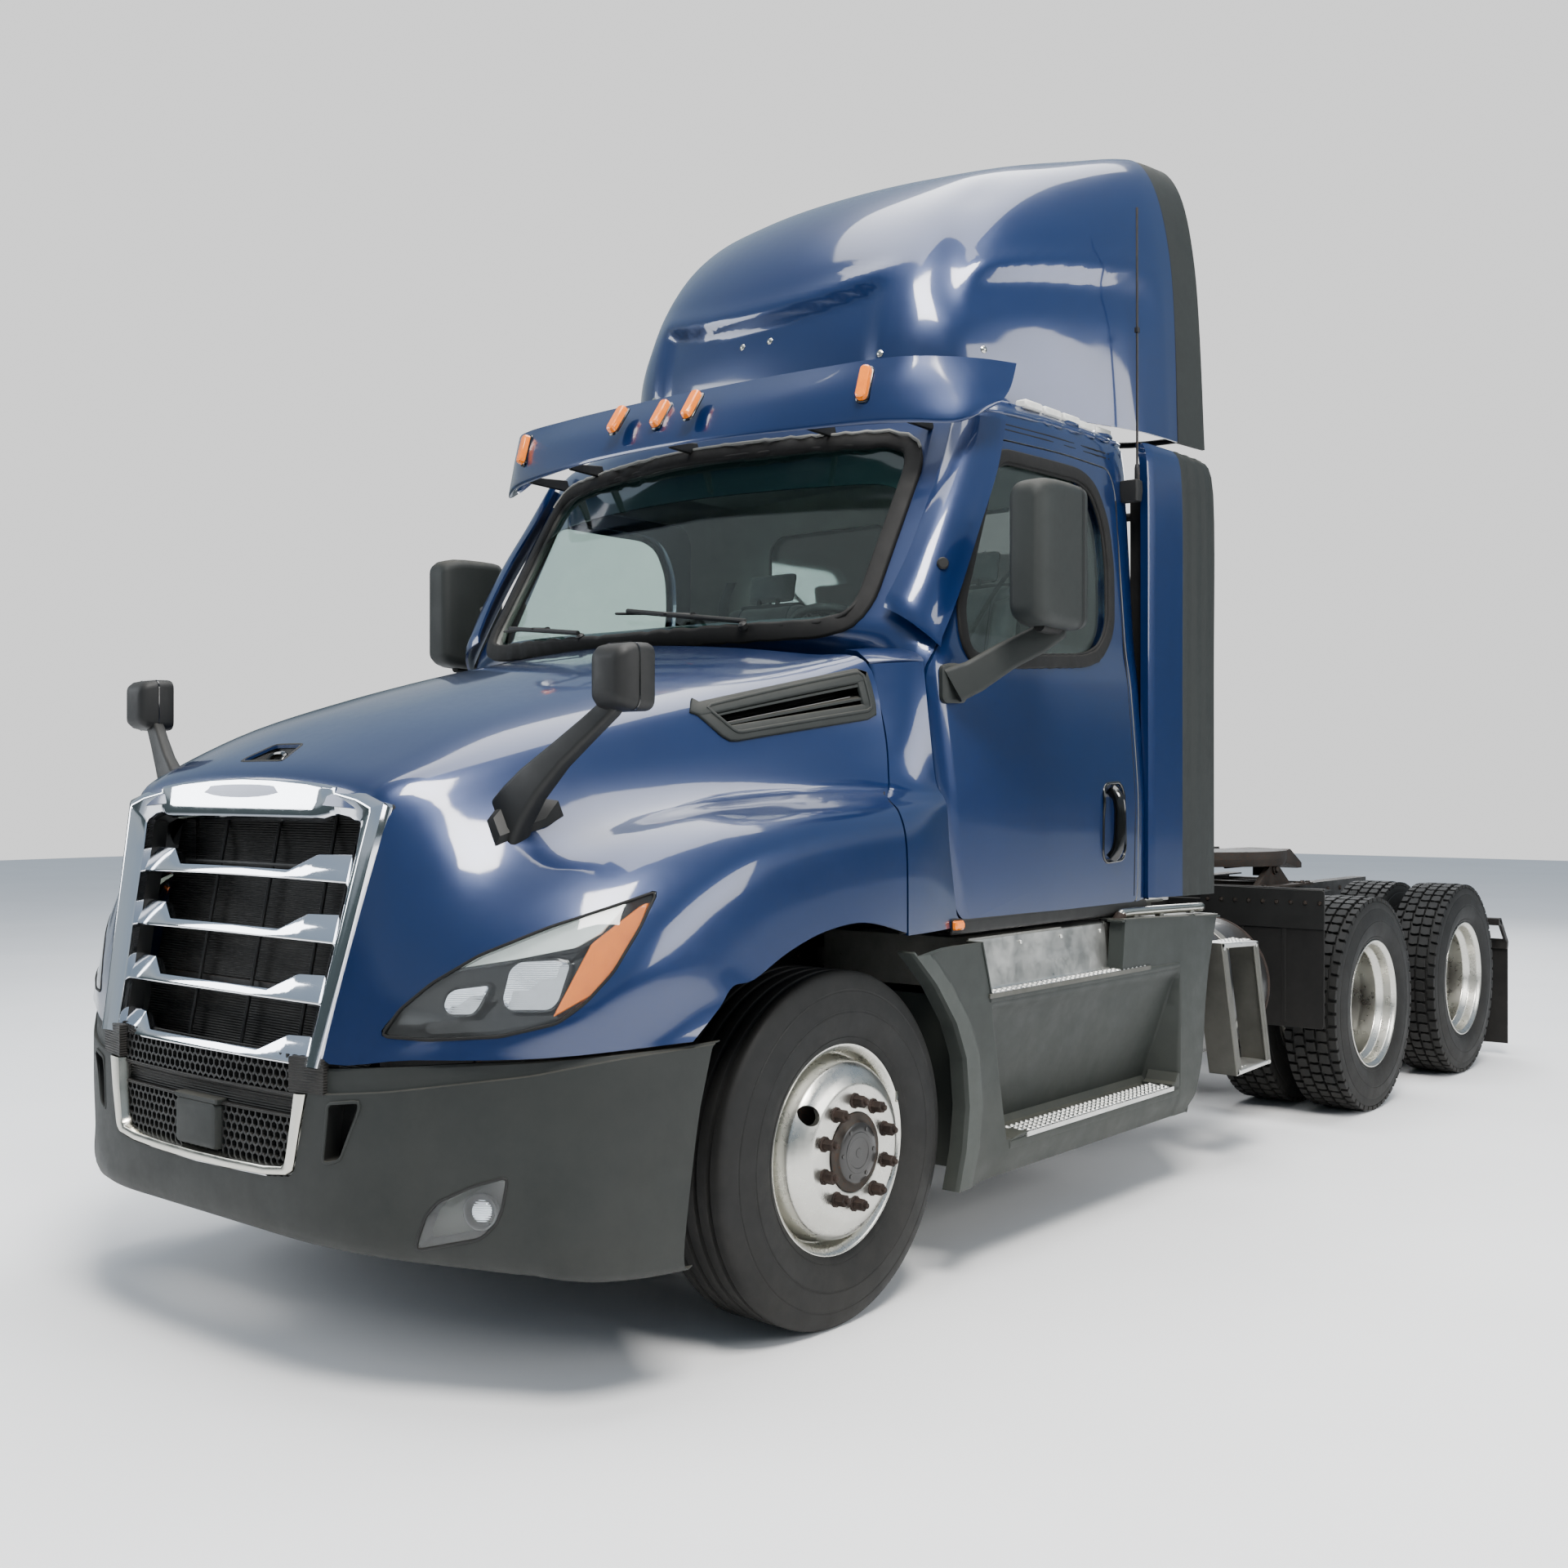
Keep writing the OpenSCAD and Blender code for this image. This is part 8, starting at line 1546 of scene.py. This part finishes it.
# steering wheel
q = G(); q.use(0); q.rev([(215 + 15.5 * math.cos(a), 15.5 * math.sin(a)) for a in np.linspace(0, 2 * math.pi, 15)[:-1]], (0, 0, 0), (0, 0, 1), 72, closed=True)
q.use(1); q.loft([rsec((0, 0, z), X_, Y_, w_, d_, r_) for z, w_, d_, r_ in ((-6, 52, 44, 26), (6, 74, 60, 34), (24, 72, 58, 34), (32, 60, 46, 28), (34, 40, 30, 18))])
for a in (0, 180, 270):
    r = math.radians(a); d = np.array([math.cos(r), math.sin(r), 0]); e = np.array([-math.sin(r), math.cos(r), 0])
    q.loft([rsec(d * k + np.array([0, 0, 8 - 6 * (k - 60) / 150]), e, (0, 0, 1), w_, 6, 4) for k, w_ in ((56, 32), (100, 26), (150, 20), (204, 18))])
c_, s_ = math.cos(math.radians(-32)), math.sin(math.radians(-32))
Rm = np.array([[1, 0, 0], [0, c_, -s_], [0, s_, c_]]); q.v = [np.asarray(v) @ Rm.T + np.array([500, 905, 2010]) for v in q.v]
q.obj("steering_wheel_rim", [M["seat_side"], M["interior"]], "steering_wheel", 40, "interior_plastic", ["steering_wheel"])
# floor, back wall trim, headliner, door cards, sun blinds
q = G(); q.use(0); rows = [[(x, y, 1226 + 3 * math.sin(x / 60.0) * 0.4) for x in np.linspace(-1040, 1040, 22)] for y in np.linspace(620, 1860, 18)]; q.sheet(np.array(rows), 6)
q.obj("cab_floor_mat", M["floor_mat"], "chassis", 40, "interior_plastic")
q = G(); q.use(0)
rows = []
for z in np.linspace(1300, 2230, 9): rows.append([(x, 1852 - 3 * math.cos(x / 52.0), z) for x in np.linspace(-960, 960, 60)])
q.sheet(np.array(rows), 5)
q.use(1)
rows = [[(x, y, 2742 + 18 * (1 - (x / 860.0) ** 2)) for x in np.linspace(-820, 820, 22)] for y in np.linspace(1010, 1790, 12)]; q.sheet(np.array(rows), 5)
q.use(0)
q.loft([rsec((0, 1110 + k, 2716 + k * 0.2), X_, Z_, 520, 26, 12) for k in (0, 120, 220)])
for sx in (1, -1):
    q.loft([rsec((sx * 560, 1820, z), X_, Y_, 30, 10, 6) for z in (1300, 2240)])
q.obj("cab_trim", [M["trim_grey"], M["trim_grey"]], "chassis", 40, "interior_plastic")
for sd in (1, -1):
    nm = "left" if sd > 0 else "right"; q = G(); q.use(0)
    rows = []
    for z in np.linspace(1180, 1930, 14):
        rows.append([(1060 - 8 * math.exp(-((z - 1560) / 90.0) ** 2), y, z) for y in np.linspace(640, 1690, 20)])
    q.sheet(np.array(rows), 6)
    q.use(1); q.loft([rsec((1035, y, 1640 + (y - 900) * 0.02), X_, Z_, 26, 30, 12) for y in (760, 900, 1300, 1440)])
    q.use(2); q.tube([(1040, 1180, 1720), (1024, 1230, 1722), (1024, 1330, 1722), (1040, 1380, 1720)], 8, 8, 4)
    q.loft([rsec((1050, 1000, 1330), Y_, Z_, 240, 60, 24), rsec((1034, 1000, 1330), Y_, Z_, 232, 54, 22)])
    if sd < 0: q.flipx()
    q.obj(nm + "_door_card", [M["trim_grey"], M["interior"], M["chrome_dull"]], nm + "_door", 40, "interior_plastic")
# wipers
q = G(); q.use(0)
def wsurf(x, z, l): P, N = CABW.at([(x, z)], l); return P[0]
for x0, z0, x1, z1 in ((-170, 2036, -690, 2090), (520, 2036, 30, 2096)):
    a, b = wsurf(x0, z0, 26), wsurf(x1, z1, 24); m1 = wsurf((x0 + x1) / 2, (z0 + z1) / 2 - 4, 30)
    q.tube([a, m1, b], 8.5, 8, 6); q.rev([(0, 0), (15, 0), (15, 16), (9, 22), (0, 22)], wsurf(x0, z0 - 14, 8), (0, -0.6, 0.8), 18)
    bl = [wsurf(x1 - (x1 - x0) * t + 0, z1 + (z0 + 26 - z1) * t - 4, 15) for t in np.linspace(-0.12, 0.62, 14)]; q.tube(bl, 10, 6, 1, flat=(1, 0.5))
q.obj("wipers", M["blackpl"], "chassis", 40, "black_plastic")
# antenna: base, strap and whip
q = G(); q.use(0); q.loft([rsec((1106, 1806, z), X_, Y_, a, b, 8) for z, a, b in ((2561, 34, 22), (2600, 38, 25), (2636, 36, 24), (2640, 30, 18))])
q.use(1); q.tube([(1128, 1812, 2640), (1128, 1812, 3000), (1128, 1811, 3639)], 4.6, 8, 4); q.rev([(0, 0), (9, 0), (10, 4), (10, 46), (7, 60), (0, 60)], (1128, 1812, 2638), (0, 0, 1), 14)
q.loft([rsec((1128, 1812, z), X_, Y_, 8, 8, 3) for z in (3181, 3199)])
q.obj("antenna_whip", [M["blackpl"], M["frame"]], "chassis", 40, "black_plastic", ["antenna"])
# engine bay and underside detail seen from below and through the arches
q = G(); q.use(0)
for x0 in (-331, 331):
    for k in range(6): q.box((x0 - 10 if x0 < 0 else x0 - 2, -640 + k * 180, 1180), (x0 + 2 if x0 < 0 else x0 + 10, -540 + k * 180, 1320), 4)
for k in range(6): q.rev([(0, 0), (60, 0), (66, 8), (66, 30), (56, 40), (0, 42)], (0, -600 + k * 176, 1538), (0, 0, 1), 20)
q.loft([rsec((0, y, 596), X_, Z_, 240, 40, 20) for y in (-560, 380)])
q.use(1); q.tube([(-331, -300, 1100), (-420, -260, 1120), (-470, 0, 1150), (-480, 240, 1250), (-430, 380, 1380)], 55, 16, 6)
q.use(0); q.tube([(331, -200, 900), (420, -100, 860), (450, 200, 800), (450, 600, 700), (440, 900, 660)], 50, 14, 6)
q.obj("engine_details", [M["engine"], M["hose"]], "chassis", 40, "engine")
# carried-over CAD nodes: full materials
MAT = {"frame_rails": "frame", "engine_block": "engine", "radiator": "radiator", "front_axle": "frame", "suspension": "frame", "drive_axles": "iron", "rear_windows": "glass_dark", "left_door_glass": "glass", "right_door_glass": "glass",
       "battery_boxes": "alu_dull", "air_tanks": "tank", "deck_plate": "alu_dull", "fifth_wheel_base": "iron", "fifth_wheel_plate": "iron", "left_knuckle": "iron", "right_knuckle": "iron"}
for k, m in MAT.items():
    o = bpy.data.objects.get(k)
    if o is None: continue
    if not o.material_slots: o.data.materials.append(M[m])
    for s_ in o.material_slots: s_.material = M[m]

# ------------------------------------------------------------------ stage, light, camera
def stage():
    g = G(); g.sheet(np.array([[(x, y, 0.0) for x in np.linspace(-30000, 30000, 9)] for y in np.linspace(-30000, 30000, 9)]), 0)
    v = np.concatenate(g.v) / 1000.0; me = bpy.data.meshes.new("floor"); me.from_pydata(v.tolist(), [], [list(f)[::-1] for f in g.f]); o = bpy.data.objects.new("floor", me)
    bpy.context.scene.collection.objects.link(o)
    m = pbr("floor_mat_studio", (242, 242, 242), rough=0.95, vary=0.015, vscale=0.6, rvary=0.02, bump=0.04, bscale=60, spec=0.0); me.materials.append(m)
    o.location.z = -0.0006
stage()
w = bpy.data.worlds.new("studio"); bpy.context.scene.world = w; w.use_nodes = True; nt = w.node_tree; nt.nodes.clear()
tc = nt.nodes.new("ShaderNodeTexCoord"); sx = nt.nodes.new("ShaderNodeSeparateXYZ"); nt.links.new(tc.outputs["Generated"], sx.inputs[0])
rp = nt.nodes.new("ShaderNodeValToRGB"); cr_ = rp.color_ramp
cr_.elements[0].position = 0.0; cr_.elements[0].color = (0.30, 0.31, 0.32, 1)
cr_.elements[1].position = 1.0; cr_.elements[1].color = (0.86, 0.93, 1.0, 1)
for p_, c_ in ((0.46, (0.26, 0.28, 0.29, 1)), (0.50, (0.10, 0.13, 0.14, 1)), (0.565, (0.13, 0.17, 0.18, 1)), (0.60, (0.62, 0.70, 0.76, 1)), (0.68, (0.46, 0.58, 0.72, 1)), (0.80, (0.52, 0.64, 0.80, 1))):
    e = cr_.elements.new(p_); e.color = c_
mr = nt.nodes.new("ShaderNodeMapRange"); mr.inputs[1].default_value = -1; mr.inputs[2].default_value = 1; nt.links.new(sx.outputs[2], mr.inputs[0])
# broken soft edge to the dark band so that reflections aren't ruled lines
ns = nt.nodes.new("ShaderNodeTexNoise"); ns.inputs["Scale"].default_value = 2.6; ns.inputs["Detail"].default_value = 5; nt.links.new(tc.outputs["Generated"], ns.inputs["Vector"])
ma = nt.nodes.new("ShaderNodeMath"); ma.operation = "MULTIPLY_ADD"; ma.inputs[1].default_value = 0.12; nt.links.new(ns.outputs["Fac"], ma.inputs[0]); nt.links.new(mr.outputs[0], ma.inputs[2])
mb = nt.nodes.new("ShaderNodeMath"); mb.operation = "SUBTRACT"; mb.inputs[1].default_value = 0.06; nt.links.new(ma.outputs[0], mb.inputs[0]); nt.links.new(mb.outputs[0], rp.inputs[0])
bg = nt.nodes.new("ShaderNodeBackground"); bg.inputs["Strength"].default_value = 0.72; nt.links.new(rp.outputs[0], bg.inputs[0])
bgc = nt.nodes.new("ShaderNodeBackground"); bgc.inputs["Strength"].default_value = 1.25; bgc.inputs[0].default_value = (1.0, 1.0, 1.0, 1)
lp = nt.nodes.new("ShaderNodeLightPath"); mx = nt.nodes.new("ShaderNodeMath"); mx.operation = "MAXIMUM"; nt.links.new(lp.outputs["Is Camera Ray"], mx.inputs[0]); nt.links.new(lp.outputs["Is Transmission Ray"], mx.inputs[1])
ms = nt.nodes.new("ShaderNodeMixShader"); nt.links.new(mx.outputs[0], ms.inputs[0]); nt.links.new(bg.outputs[0], ms.inputs[1]); nt.links.new(bgc.outputs[0], ms.inputs[2])
wo = nt.nodes.new("ShaderNodeOutputWorld"); nt.links.new(ms.outputs[0], wo.inputs[0])
def area(name, loc, target, size, power, color=(1, 1, 1)):
    l = bpy.data.lights.new(name, "AREA"); l.shape = "RECTANGLE"; l.size, l.size_y = size; l.energy = power; l.color = color
    o = bpy.data.objects.new(name, l); bpy.context.scene.collection.objects.link(o); o.location = loc
    o.rotation_euler = (Vector(target) - Vector(loc)).to_track_quat("-Z", "Y").to_euler(); return o
area("key", (5.0, -5.5, 9.5), (0, -0.5, 1.6), (3.0, 3.0), 1500, (1, 0.97, 0.93))
area("top", (0.0, 0.0, 11.0), (0, 0, 0), (7, 9), 1300)
area("front_left", (-7.5, -8.0, 4.5), (0, -2, 1.6), (4, 4), 420, (0.94, 0.97, 1))
area("side", (10.5, 1.5, 4.5), (0, 0.5, 1.8), (6, 3.5), 520, (1, 0.99, 0.97))
area("rear", (-4, 10, 6), (0, 1, 1.5), (5, 4), 450)
cam = bpy.data.cameras.new("camera"); co = bpy.data.objects.new("camera", cam); bpy.context.scene.collection.objects.link(co)
cam.sensor_width = 36.0; cam.lens = 37.5; cam.clip_end = 200
co.location = (3.9554, -6.0204, 1.5152); co.rotation_euler = (math.radians(90.1), 0, math.radians(39.7))
bpy.context.scene.camera = co
